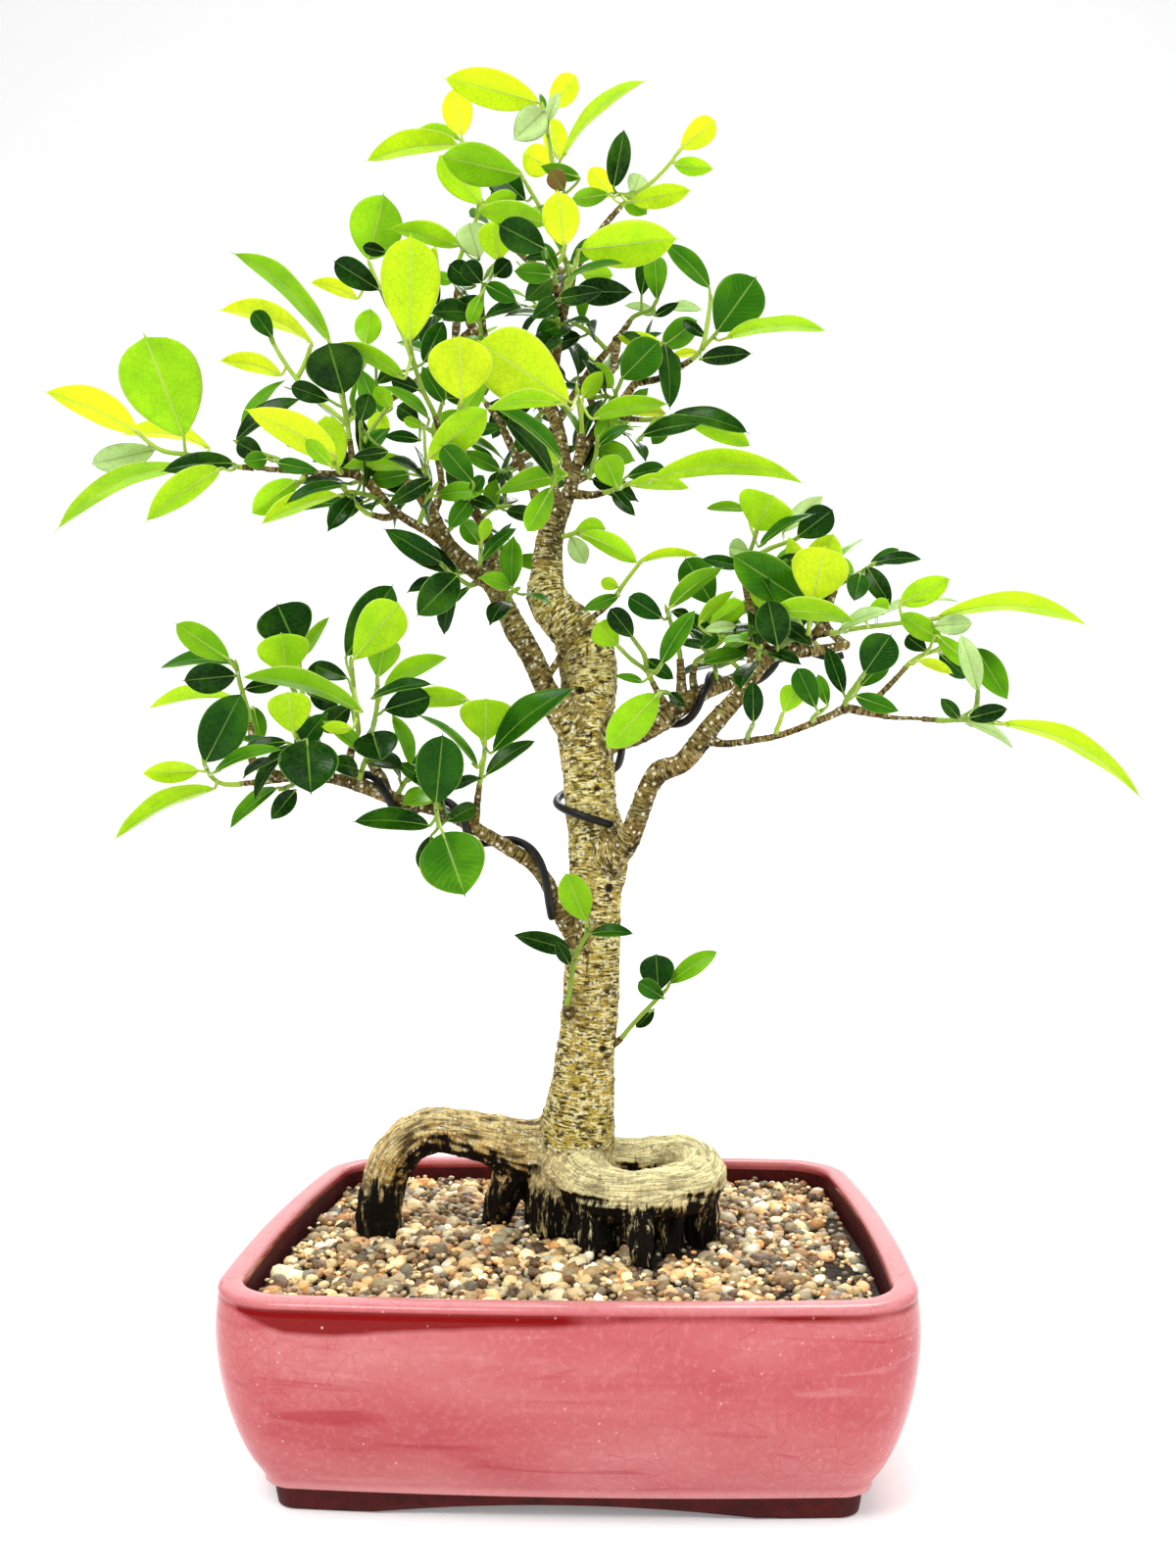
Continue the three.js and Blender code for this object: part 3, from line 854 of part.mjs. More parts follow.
// Leaf with its stalk from root, as one body, or two where the stalk turns back under the blade.
function leafWithStalk(shape, root, grow = 0) {
  const run = onward(root, null, shape, grow);
  if (!run) {
    const rings = blade(shape, grow);
    const rod = [root, shape.base.clone(), shape.base.clone().addScaledVector(rings.along, 1.6)];
    return [leafBody(rings), solid(tube(rod, [0.7 + grow, 0.7 + grow, 0.6 + grow], 3, 2))];
  }
  const s = run.side.clone().addScaledVector(run.on, -run.side.dot(run.on)).normalize();
  return [leafBody([rodRing(root, s, run.on.clone().cross(s), 0.6 + grow), ...run.rest])];
}

function middle(ring) {
  const sum = new THREE.Vector3();
  ring.forEach((p) => sum.add(p));
  return sum.divideScalar(ring.length);
}

// Three-cornered ring of a stem round a point, in the order of a leaf's rings.
function rodRing(p, s, u, r) {
  return [p.clone().addScaledVector(s, r).addScaledVector(u, r * 0.6), p.clone().addScaledVector(u, -r),
    p.clone().addScaledVector(s, -r).addScaledVector(u, r * 0.6)];
}

// Stem that runs on into a leaf, or null where it would have to turn back.
function stemInto(points, radii, shape) {
  const end = points[points.length - 1];
  const run = onward(end, end.clone().sub(points[points.length - 2]).normalize(), shape);
  if (!run) return null;
  let s = run.side;
  const rings = [];
  for (let k = points.length - 1; k >= 0; k -= 1) {
    const next = k === points.length - 1 ? middle(run.rest[0]) : points[k + 1];
    const d = next.clone().sub(points[Math.max(k - 1, 0)]).normalize();
    s = s.clone().addScaledVector(d, -s.dot(d)).normalize();
    rings.unshift(rodRing(points[k], s, d.clone().cross(s), radii[k]));
  }
  return leafBody([...rings, ...run.rest]);
}

// Body from leaf rings of left edge, keel and right edge, ending in a point.
function leafBody(rings) {
  const points = rings.flat();
  const faces = [[0, 1, 2]];
  for (let i = 0; i + 2 < rings.length; i += 1) {
    const a = i * 3;
    faces.push([a, a + 2, a + 3], [a + 2, a + 5, a + 3]);
    faces.push([a, a + 4, a + 1], [a, a + 3, a + 4], [a + 1, a + 4, a + 2], [a + 2, a + 4, a + 5]);
  }
  const e = (rings.length - 2) * 3;
  faces.push([e, e + 2, e + 3], [e + 1, e, e + 3], [e + 2, e + 1, e + 3]);
  let body = solid(shell(points, faces));
  if (body.volume() < 0) body = solid(shell(points, faces.map(([p, q, s]) => [p, s, q])));
  return body;
}

// Bodies already standing, to keep clear of: { owner, body, box, leaf }.
const standing = [];
function boxOf(body) {
  const b = body.boundingBox();
  return b;
}
function apart(a, b) {
  for (let i = 0; i < 3; i += 1) {
    if (a.min[i] > b.max[i] || b.min[i] > a.max[i]) return true;
  }
  return false;
}
function crosses(body, owner, leafToo) {
  const box = boxOf(body);
  for (const other of standing) {
    if (other.owner === owner && !(leafToo && other.leaf)) continue;
    if (apart(box, other.box)) continue;
    if (body.intersect(other.body).volume() > 1e-6) return other;
  }
  return null;
}
function stand(owner, body, leaf = false) {
  standing.push({ owner, body, box: boxOf(body), leaf });
}

// Tree
const treeBodies = [];
function addWood(points, radii, sides, steps, shape) {
  const body = solid(tube(points, radii, sides, steps, shape));
  treeBodies.push(body);
  stand('tree', body);
}
const flute = (t, a) => 1 + 0.045 * Math.sin(3 * a + 9 * t) + 0.03 * Math.sin(5 * a - 14 * t + 1);
const trunkPath = limbPoints(TRUNK);
addWood(trunkPath, limbRadii(TRUNK), 9, 18, flute);
const ROOT_GAP = 0.32;
const rootGaps = [];
function addGap(points, radii, sides, steps, shape) {
  rootGaps.push(solid(tube(points, radii.map((r) => r + ROOT_GAP), sides, steps, shape)));
  const foot = points[0].z < points[points.length - 1].z ? 0 : points.length - 1;
  const away = points[foot].clone().sub(points[foot === 0 ? 1 : foot - 1]).normalize();
  const r = radii[foot] * 1.16 + ROOT_GAP;
  const plug = [-0.4, 1.8].map((d) => points[foot].clone().addScaledVector(away, d));
  rootGaps.push(solid(tube(plug, [r, r], 8, 1)));
}
addGap(trunkPath, limbRadii(TRUNK), 9, 18, flute);
ROOTS.forEach((rows, i) => {
  const thick = i < 2;
  const steps = thick ? rows.length - 1 : Math.min(rows.length - 1, 4);
  const made = [limbPoints(rows), limbRadii(rows), thick ? 7 : 5, steps, thick ? flute : null];
  addWood(...made);
  addGap(...made);
});
const LIMB_PATHS = { trunk: trunkPath };
for (const [name, rows] of Object.entries(LIMBS)) {
  LIMB_PATHS[name] = limbPoints(rows);
  const thick = Math.max(...rows.slice(2).map((row) => row[3])) > 3;
  addWood(LIMB_PATHS[name], limbRadii(rows), thick ? 6 : 4, Math.ceil((rows.length - 1) * 0.7));
}
for (const [x, z, r] of KNOTS) {
  const y = nearest(trunkPath, seen(x, z, 5)).point.y;
  const heart = seen(x, z, y);
  const out = EYE.clone().sub(heart).setZ(0).normalize();
  const depth = 13.2 * (z > 370 ? 0.5 : 1) + (x < 0 && z < 200 ? -1.5 : 0);
  const rings = [0.2, depth - 2.5, depth].map((d, i) => heart.clone().addScaledVector(out, d));
  addWood(rings, [r * 1.1, r, r * 0.45], 5, 2);
}

const shootBodies = new Map();
function snapped(rows) {
  const points = limbPoints(rows);
  let hit = null;
  for (const path of Object.values(LIMB_PATHS)) {
    const found = nearest(path, points[0]);
    if (!hit || found.far < hit.far) hit = found;
  }
  const radii = limbRadii(rows);
  if (hit.far < 4 && points.length > 1) points[0] = hit.point;
  else {
    points.unshift(hit.point);
    radii.unshift(radii[0] * 1.1);
  }
  return { points, radii };
}

const STEM_R = 1.2;
const built = SHOOTS.map((shoot) => {
  const { points, radii } = snapped(shoot.wood);
  addWood(points, radii, 4, points.length - 1);
  const end = points[points.length - 1];
  return { ...shoot, end, way: end.clone().sub(points[points.length - 2]).normalize() };
});

// Training wires: wound at marks [x as seen, angle round the limb], 0 in front, 90 on top, 180 behind.
function coil(rows, marks, step = 36) {
  const path = limbPoints(rows);
  const radii = limbRadii(rows);
  const xs = rows.map((row) => row[0]);
  const at = (x) => {
    for (let i = 0; i + 1 < xs.length; i += 1) {
      const t = (x - xs[i]) / (xs[i + 1] - xs[i]);
      if (t >= 0 && t <= 1) return [i, t];
    }
    return [xs.length - 2, 1];
  };
  const points = [];
  for (let m = 0; m + 1 < marks.length; m += 1) {
    const [x0, a0] = marks[m];
    const [x1, a1] = marks[m + 1];
    const n = Math.max(1, Math.round(Math.abs(a1 - a0) / step));
    for (let k = m ? 1 : 0; k <= n; k += 1) {
      const x = x0 + ((x1 - x0) * k) / n;
      const a = ((a0 + ((a1 - a0) * k) / n) * Math.PI) / 180;
      const [i, t] = at(x);
      const p = path[i].clone().lerp(path[i + 1], t);
      const d = path[Math.min(i + 2, path.length - 1)].clone().sub(path[Math.max(i - 1, 0)]).normalize();
      const front = new THREE.Vector3(0, -1, 0).addScaledVector(d, d.y).normalize();
      const up = d.clone().cross(front);
      if (up.z < 0) up.negate();
      const r = radii[i] + (radii[i + 1] - radii[i]) * t + WIRE_R + 0.5;
      points.push(p.addScaledVector(front, r * Math.cos(a)).addScaledVector(up, r * Math.sin(a)));
    }
  }
  return points;
}

function trunkTurn() {
  const points = [];
  for (let k = 0; k <= 8; k += 1) {
    const t = k / 8;
    const z = 247 + 27 * t ** 1.15;
    const a = ((-58 - 272 * t) * Math.PI) / 180;
    const c = nearest(trunkPath, seen(8, z, 6));
    const r = 12.2 + WIRE_R + 0.9;
    points.push(new THREE.Vector3(c.point.x + r * Math.cos(a), c.point.y + r * Math.sin(a), z));
  }
  return points;
}

const WIRES = {
  training_wire_right: [...trunkTurn(), ...coil(LIMBS.right, [[24, 0], [29, 90], [55, 360], [87, 720],
    [116, 1000]])],
  training_wire_left: coil(LIMBS.lower, [[-6, -50], [-24, 90], [-57, 450], [-90, 810], [-97, 880]]),
};
const wireBodies = {};
let wireGap = null;
for (const [name, points] of Object.entries(WIRES)) {
  const radii = points.map(() => WIRE_R);
  wireBodies[name] = solid(tube(points, radii, 6, points.length - 1));
  const gap = solid(tube(points, radii.map((r) => r + CLEAR), 6, points.length - 1));
  wireGap = wireGap ? wireGap.add(gap) : gap;
  stand(name, gap);
}

const stemPaths = new Map();
for (const shoot of built) {
  const onWood = ON_WOOD.includes(shoot.name);
  const owner = onWood ? 'tree' : shoot.name;
  const bodies = [];
  const paths = [];
  shoot.stems.forEach((rows, i) => {
    const seenPath = limbPoints(rows.map(([x, z, y]) => [x, z, y, 1]));
    let points = seenPath;
    let body = null;
    for (let push = 0; push < 14; push += 1) {
      points = [...seenPath];
      if (i === 0) {
        const out = (onWood ? -0.8 : CLEAR + 0.1) + push * 0.6;
        const start = shoot.end.clone().addScaledVector(shoot.way, out);
        points.unshift(start, start.clone().addScaledVector(shoot.way, 1.8));
      } else {
        let hit = null;
        for (const path of paths) {
          const found = nearest(path, points[0]);
          if (!hit || found.far < hit.far) hit = found;
        }
        if (hit.far < 0.4) points[0] = hit.point;
        else points.unshift(hit.point);
      }
      points.radii = points.map((p, k) => STEM_R * (1 - (0.25 * k) / points.length));
      body = solid(tube(points, points.radii, 3, points.length - 1));
      const thick = solid(tube(points, points.radii.map((r) => r * 1.3), 6, points.length - 1));
      if (i > 0 || !crosses(thick, owner, false)) break;
    }
    bodies.push(body);
    paths.push(points);
  });
  stemPaths.set(shoot.name, paths);
  shootBodies.set(shoot.name, bodies);
  bodies.forEach((body) => stand(owner, body));
}

const SLIDES = [0, -5, 5, -10, 10, -15, 15, -21, 21, -28, 28, -36, 36, -45, 45];
function attach(paths, base) {
  const hits = paths.map((path, i) => {
    const part = path.slice(i === 0 ? 1 : 0);
    const last = part.length - 1;
    const back = part[last - 1].clone().sub(part[last]).setLength(0.9);
    part[last] = part[last].clone().add(back);
    return nearest(part, base);
  });
  return hits.reduce((best, hit) => (hit.far < best.far ? hit : best)).point;
}
for (const shoot of built) {
  const onWood = ON_WOOD.includes(shoot.name);
  const owner = onWood ? 'tree' : shoot.name;
  const paths = stemPaths.get(shoot.name);
  shoot.leaves.forEach((row, i) => {
    let done = Math.hypot(row[2] - row[0], row[3] - row[1]) < LEAF_LEAST;
    if (done) return;
    for (const strict of [true, false]) {
      for (const slide of SLIDES) {
        const shape = leafShape(row, slide);
        const root = attach(paths, shape.base);
        if (root.distanceTo(shape.base) > (strict ? 22 : 40) && slide !== 0) continue;
        const wideBlade = leafBody(blade(shape, 0.35));
        if (crosses(wideBlade, owner, strict)) continue;
        const guards = leafWithStalk(shape, root, 0.2);
        if (guards.some((guard) => crosses(guard, owner, false))) continue;
        const last = paths.findIndex((path) => !path.leaf && root.distanceTo(path[path.length - 1]) < 0.91);
        const run = last < 0 ? null : stemInto(paths[last], paths[last].radii, shape);
        if (run) {
          paths[last].leaf = true;
          shootBodies.get(shoot.name)[last] = run;
        } else shootBodies.get(shoot.name).push(...leafWithStalk(shape, root));
        stand(owner, wideBlade, true);
        guards.forEach((guard) => stand(owner, guard));
        done = true;
        break;
      }
      if (done) break;
    }
  });
}

// Far side
const ASIDE = [
  [0, 0], [8, 0], [-8, 0], [0, 8], [0, -8], [14, 6],
  [-14, 6], [14, -8], [-14, -8], [0, 16], [20, 0], [-20, 0],
];
for (const row of BACK) {
  let shoot = null;
  let twigs = [];
  for (const [dx, dz] of ASIDE) {
    shoot = backShoot([row[0] + dx, row[1] + dz, row[2], row[3]]);
    const twig = solid(tube(shoot.wood, shoot.woodR, 4, 2));
    const foot = shoot.wood[2].clone().lerp(shoot.stem[0], -0.1);
    const green = solid(tube([foot, ...shoot.stem], [1.2, 1.1, 0.9], 3, 2));
    twigs = [twig, green];
    if (twigs.every((body) => !crosses(body, 'tree', false))) break;
    twigs = [];
  }
  if (!twigs.length) continue;
  for (const body of twigs) {
    treeBodies.push(body);
    stand('tree', body);
  }
  shoot.leaves.forEach((leaf, i) => {
    const root = nearest(shoot.stem, leaf.base).point;
    const wideBlade = leafBody(blade(leaf, 0.35));
    const guards = leafWithStalk(leaf, root, 0.2);
    if (crosses(wideBlade, 'tree', true) || guards.some((guard) => crosses(guard, 'tree', false))) return;
    treeBodies.push(...leafWithStalk(leaf, root));
    stand('tree', wideBlade, true);
  });
}

// The one closed body of a joined piece
function whole(body) {
  return body.decompose().reduce((best, bit) => (bit.volume() > best.volume() ? bit : best));
}
for (const name of ON_WOOD) treeBodies.push(...shootBodies.get(name));
const treeBody = whole(joined(treeBodies).subtract(wireGap));
for (const gap of rootGaps) {
  soilBody = soilBody.subtract(gap);
  gravelBody = gravelBody.subtract(gap);
}

const PARTS = [
  ['pot', potBody, 0xc4626b, 0.25],
  ['soil', soilBody, 0x3a2a20, 0.95],
  ['gravel', gravelBody, 0xcdb28a, 0.8],
  ['drain_mesh_left', meshSquare(-DRAIN_X), 0x2c2c2c, 0.6],
  ['drain_mesh_right', meshSquare(DRAIN_X), 0x2c2c2c, 0.6],
  ['tree', treeBody, 0xa08a5c, 0.8],
  ['training_wire_left', wireBodies.training_wire_left, 0x161616, 0.45],
  ['training_wire_right', wireBodies.training_wire_right, 0x161616, 0.45],
];
const GREENS = [0x9ccc2a, 0x7fb51f, 0x5f9a1c, 0x3f7a1a];
for (const shoot of built) {
  if (ON_WOOD.includes(shoot.name)) continue;
  const tones = shoot.leaves.map((row) => Math.min(row[7], 3));
  const tone = Math.round(tones.reduce((a, b) => a + b, 0) / tones.length);
  PARTS.push([shoot.name, whole(joined(shootBodies.get(shoot.name))), GREENS[Math.min(tone, 3)], 0.45]);
}

// The middle of the plant above the origin
const low = [Infinity, Infinity];
const high = [-Infinity, -Infinity];
for (const [, body] of PARTS) {
  const box = boxOf(body);
  for (const i of [0, 1]) {
    low[i] = Math.min(low[i], box.min[i]);
    high[i] = Math.max(high[i], box.max[i]);
  }
}
const group = new THREE.Group();
group.position.set(-(low[0] + high[0]) / 2, -(low[1] + high[1]) / 2, 0);
for (const [name, body, color, roughness] of PARTS) {
  const material = new THREE.MeshStandardMaterial({ color, roughness, metalness: 0 });
  const mesh = new THREE.Mesh(geometryOf(body), material);
  mesh.name = name;
  group.add(mesh);
}

export default group;
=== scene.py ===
import json
import math
import random

import bmesh
import bpy
import numpy as np
from mathutils import Matrix, Vector, noise
from mathutils.bvhtree import BVHTree
from mathutils.kdtree import KDTree


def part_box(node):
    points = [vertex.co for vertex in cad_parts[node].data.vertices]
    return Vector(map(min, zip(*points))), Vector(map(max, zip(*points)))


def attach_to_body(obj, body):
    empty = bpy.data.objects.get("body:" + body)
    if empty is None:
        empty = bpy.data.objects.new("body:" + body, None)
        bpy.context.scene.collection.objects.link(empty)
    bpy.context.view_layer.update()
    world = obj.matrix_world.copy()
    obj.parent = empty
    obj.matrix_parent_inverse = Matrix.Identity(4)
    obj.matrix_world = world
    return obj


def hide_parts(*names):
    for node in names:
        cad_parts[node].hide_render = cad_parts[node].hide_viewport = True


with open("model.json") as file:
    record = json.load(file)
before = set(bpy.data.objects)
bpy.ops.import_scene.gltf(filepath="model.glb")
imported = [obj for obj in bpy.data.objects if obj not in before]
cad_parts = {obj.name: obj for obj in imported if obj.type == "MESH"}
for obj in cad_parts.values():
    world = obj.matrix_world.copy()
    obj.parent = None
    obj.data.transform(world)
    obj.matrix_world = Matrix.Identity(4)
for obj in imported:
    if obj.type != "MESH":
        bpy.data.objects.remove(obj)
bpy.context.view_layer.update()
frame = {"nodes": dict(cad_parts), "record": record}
nodes = frame["nodes"]
pot_low, pot_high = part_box("pot")
SHIFT = np.array([(pot_low[0] + pot_high[0]) / 2, (pot_low[1] + pot_high[1]) / 2, 0.0])

# A tiger bark ficus in its pot: shapes and looks over the frame's solids. Shapes are made in millimetres
# with the middle of the pot above the origin, and Shape.mesh takes them to the frame's metres.
POT_LONG, POT_DEEP = 254, 205
CORNER_R, SIDE_BOW = 30, 3
FOOT_ARCH = 4.6
DRAIN_X, DRAIN_R = 55, 9
STONE_TOP = 72.5
WIRE_R = 1.75
EYE = np.array([28.0, -529.0, 234.0])  # the photo's viewpoint

LEAF_RATIO = 0.44  # usual width of a leaf over its length
GOLDEN = 2.39996  # angle from one leaf to the next round a stem
TURN = 6.28  # a full turn, for random angles


def V(*p):
    return np.array(p, float)


def unit(v):
    return v / max(np.linalg.norm(v), 1e-9)


def seen(x, z, y):
    """The point at depth y that lies behind (x, 0, z) as seen from the front."""
    return EYE + (V(x, 0, z) - EYE) * (y - EYE[1]) / -EYE[1]


def near(y):
    """How much larger a thing at depth y is than it looks at depth 0."""
    return (y - EYE[1]) / -EYE[1]


def draw(seed):
    """A repeatable number from 0 to 1."""
    v = math.sin(seed * 127.1 + 11.7) * 43758.5453
    return v - math.floor(v)


def smooth(a, b, x):
    """0 up to a and 1 from b, with an even way between."""
    t = np.clip((np.asarray(x, float) - a) / (b - a), 0, 1)
    return t * t * (3 - 2 * t)


def spline(points, count):
    """Points on a centripetal Catmull-Rom curve, and their places along it from 0 to len - 1."""
    p = np.array(points, float)
    p = np.vstack([2 * p[0] - p[1], p, 2 * p[-1] - p[-2]])
    spots = np.linspace(0, len(points) - 1, count)
    out = []
    for s in spots:
        i = min(int(s), len(points) - 2)
        w = s - i
        a, b, c, d = p[i], p[i + 1], p[i + 2], p[i + 3]
        t0, t1, t2 = (max(np.linalg.norm(v) ** 0.5, 1e-4) for v in (b - a, c - b, d - c))
        m1 = ((b - a) / t0 - (c - a) / (t0 + t1) + (c - b) / t1) * t1
        m2 = ((c - b) / t1 - (d - b) / (t1 + t2) + (d - c) / t2) * t1
        square, cube = 3 * (c - b) - 2 * m1 - m2, 2 * (b - c) + m1 + m2
        out.append(b + m1 * w + square * w ** 2 + cube * w ** 3)
    return np.array(out), spots


def run_length(points):
    """The length of a line through points."""
    return float(np.linalg.norm(np.diff(np.array(points), axis=0), axis=1).sum())


def nearest(path, p):
    """How far p is from a path of points, and the closest point on it."""
    best = None
    for i in range(len(path) - 1):
        d = path[i + 1] - path[i]
        t = min(1.0, max(0.0, float(np.dot(p - path[i], d) / np.dot(d, d))))
        q = path[i] + d * t
        far = float(np.linalg.norm(q - p))
        if best is None or far < best[0]:
            best = (far, q)
    return best


def nearest_of(paths, p):
    """The same for the closest of several paths."""
    return min((nearest(path, p) for path in paths), key=lambda found: found[0])


def link(thing):
    """Puts an object into the scene."""
    bpy.context.collection.objects.link(thing)
    return thing


class Shape:
    """Collects vertices, faces and numbers for each vertex, and makes one object of them."""

    def __init__(self):
        self.co, self.faces, self.values, self.size = [], [], {}, 0

    def add(self, co, faces, **values):
        co = np.asarray(co, float)
        self.faces.extend(tuple(i + self.size for i in f) for f in faces)
        self.co.append(co)
        for key, value in values.items():
            spread = np.broadcast_to(value, (len(co),))
            self.values.setdefault(key, []).append((self.size, spread))
        self.size += len(co)

    def tube(self, points, radii, sides, shape=None, **values):
        """A closed tube; shape(t, a) scales its radius at t from 0 to 1 and the angle a."""
        points = np.asarray(points, float)
        count = len(points)
        step = np.gradient(points, axis=0)
        co = np.zeros((count, sides, 3))
        a = np.arange(sides) * 2 * math.pi / sides
        side = None
        for i in range(count):
            d = unit(step[i])
            if side is None:
                side = V(0, 1, 0) if abs(d[0]) > 0.8 else V(1, 0, 0)
            side = unit(side - d * np.dot(side, d))
            up = np.cross(d, side)
            r = radii[i] * (shape(i / (count - 1), a) if shape else 1)
            co[i] = points[i] + np.outer(r * np.cos(a), side) + np.outer(r * np.sin(a), up)
        self.add(co.reshape(-1, 3), ring_faces(count, sides), **values)

    def mesh(self, name):
        mesh = bpy.data.meshes.new(name)
        co = np.vstack(self.co) / 1000 + SHIFT
        mesh.from_pydata(co.tolist(), [], self.faces)
        for key, parts in self.values.items():
            data = np.zeros(self.size, np.float32)
            for start, value in parts:
                data[start:start + len(value)] = value
            store(mesh, key, data)
        smooth_faces(mesh)
        return mesh

    def object(self, name, material, slot, *stands_for):
        thing = link(bpy.data.objects.new(name, self.mesh(name)))
        thing.data.materials.append(material)
        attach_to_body(thing, "root")
        if stands_for:
            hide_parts(*stands_for)
        return thing


def ring_faces(rings, sides):
    """Faces that join closed rings of vertices one to the next, with a cap at each end."""
    faces = []
    for i in range(rings - 1):
        for k in range(sides):
            j = (k + 1) % sides
            faces.append((i * sides + k, i * sides + j, (i + 1) * sides + j, (i + 1) * sides + k))
    faces.append(tuple(range(sides))[::-1])
    faces.append(tuple((rings - 1) * sides + k for k in range(sides)))
    return faces


def store(mesh, key, values):
    """Keeps a number for each vertex, for a material to read."""
    attribute = mesh.attributes.new(key, "FLOAT", "POINT")
    attribute.data.foreach_set("value", np.asarray(values, np.float32))


def smooth_faces(mesh):
    mesh.polygons.foreach_set("use_smooth", [True] * len(mesh.polygons))
    mesh.update()


# Wood: each row is [x, z, y, radius] as seen, and each knot [x, z, radius]
TRUNK = [[-1, 46, 8, 11], [-2, 62, 9, 16], [-2, 80, 9, 20], [-2, 96, 8, 20], [-1, 110, 7, 17.5],
         [1, 121, 6, 15.6], [2.6, 131, 6, 14.2], [3.4, 141, 6, 13], [4.6, 152, 6, 12.2],
         [6.4, 166, 6, 11.8], [7.2, 183, 6, 11.7], [7.7, 203, 6, 11.6], [9, 218, 6, 11.2],
         [10.6, 231, 6, 12.8], [10, 243, 6, 12.6], [7.4, 256, 6, 11.2], [6.8, 270, 5, 11.3],
         [5.6, 284, 4, 11.8], [5.4, 295, 4, 12.2], [7.6, 306, 3, 12], [7, 316, 3, 12.6],
         [5.6, 324, 2, 12.4], [0, 333, 2, 10.6], [-8, 341, 1, 9.4], [-11.8, 348, 0, 9],
         [-11.6, 358, -1, 7.1], [-11, 368, -2, 6.2], [-9.2, 378, -4, 5.8], [-5, 387, -6, 4.5],
         [-0.8, 395, -8, 3], [1.4, 404, -9, 2.5], [3.8, 413, -10, 2.3], [4.2, 419, -10, 2.1]]
ROOTS = [
    [[-6, 108, 8, 14], [-22, 109, 8, 12.5], [-36, 113, 7, 10.5], [-50, 116, 6, 9.6],
     [-62, 116.5, 5, 9.4], [-73, 111, 4, 9.5], [-80, 101, 4, 9.7], [-83, 88, 4, 9.5], [-84, 74, 4, 9.2],
     [-84, 60, 4, 7.5], [-82, 48, 5, 4]],
    [[-1, 100, 2, 13], [8, 92, -14, 12], [22, 89.5, -24, 10.8], [36, 90.5, -24, 10.4],
     [48, 92.5, -14, 10.4], [53.5, 98, 0, 10.2], [50, 104, 13, 9.6], [40, 106, 20, 8.8],
     [28, 105.5, 20, 7.8], [14, 106, 14, 7.4]],
    [[24, 86, -26, 8], [27, 76, -32, 6.5], [28, 64, -38, 5], [28, 50, -40, 3.2]],
    [[50, 92, -8, 8.5], [54, 82, -6, 7], [55, 70, -4, 5.5], [54, 56, -4, 3.4]],
    [[6, 92, -12, 9], [8, 78, -18, 8.5], [9, 64, -22, 7], [9, 50, -24, 4]],
    [[-24, 104, 8, 9], [-30, 92, 12, 7.5], [-34, 78, 14, 6], [-36, 62, 14, 4]],
    [[38, 88, -22, 7.5], [41, 76, -20, 5], [42, 66, -20, 4], [42, 52, -20, 2.6]],
]
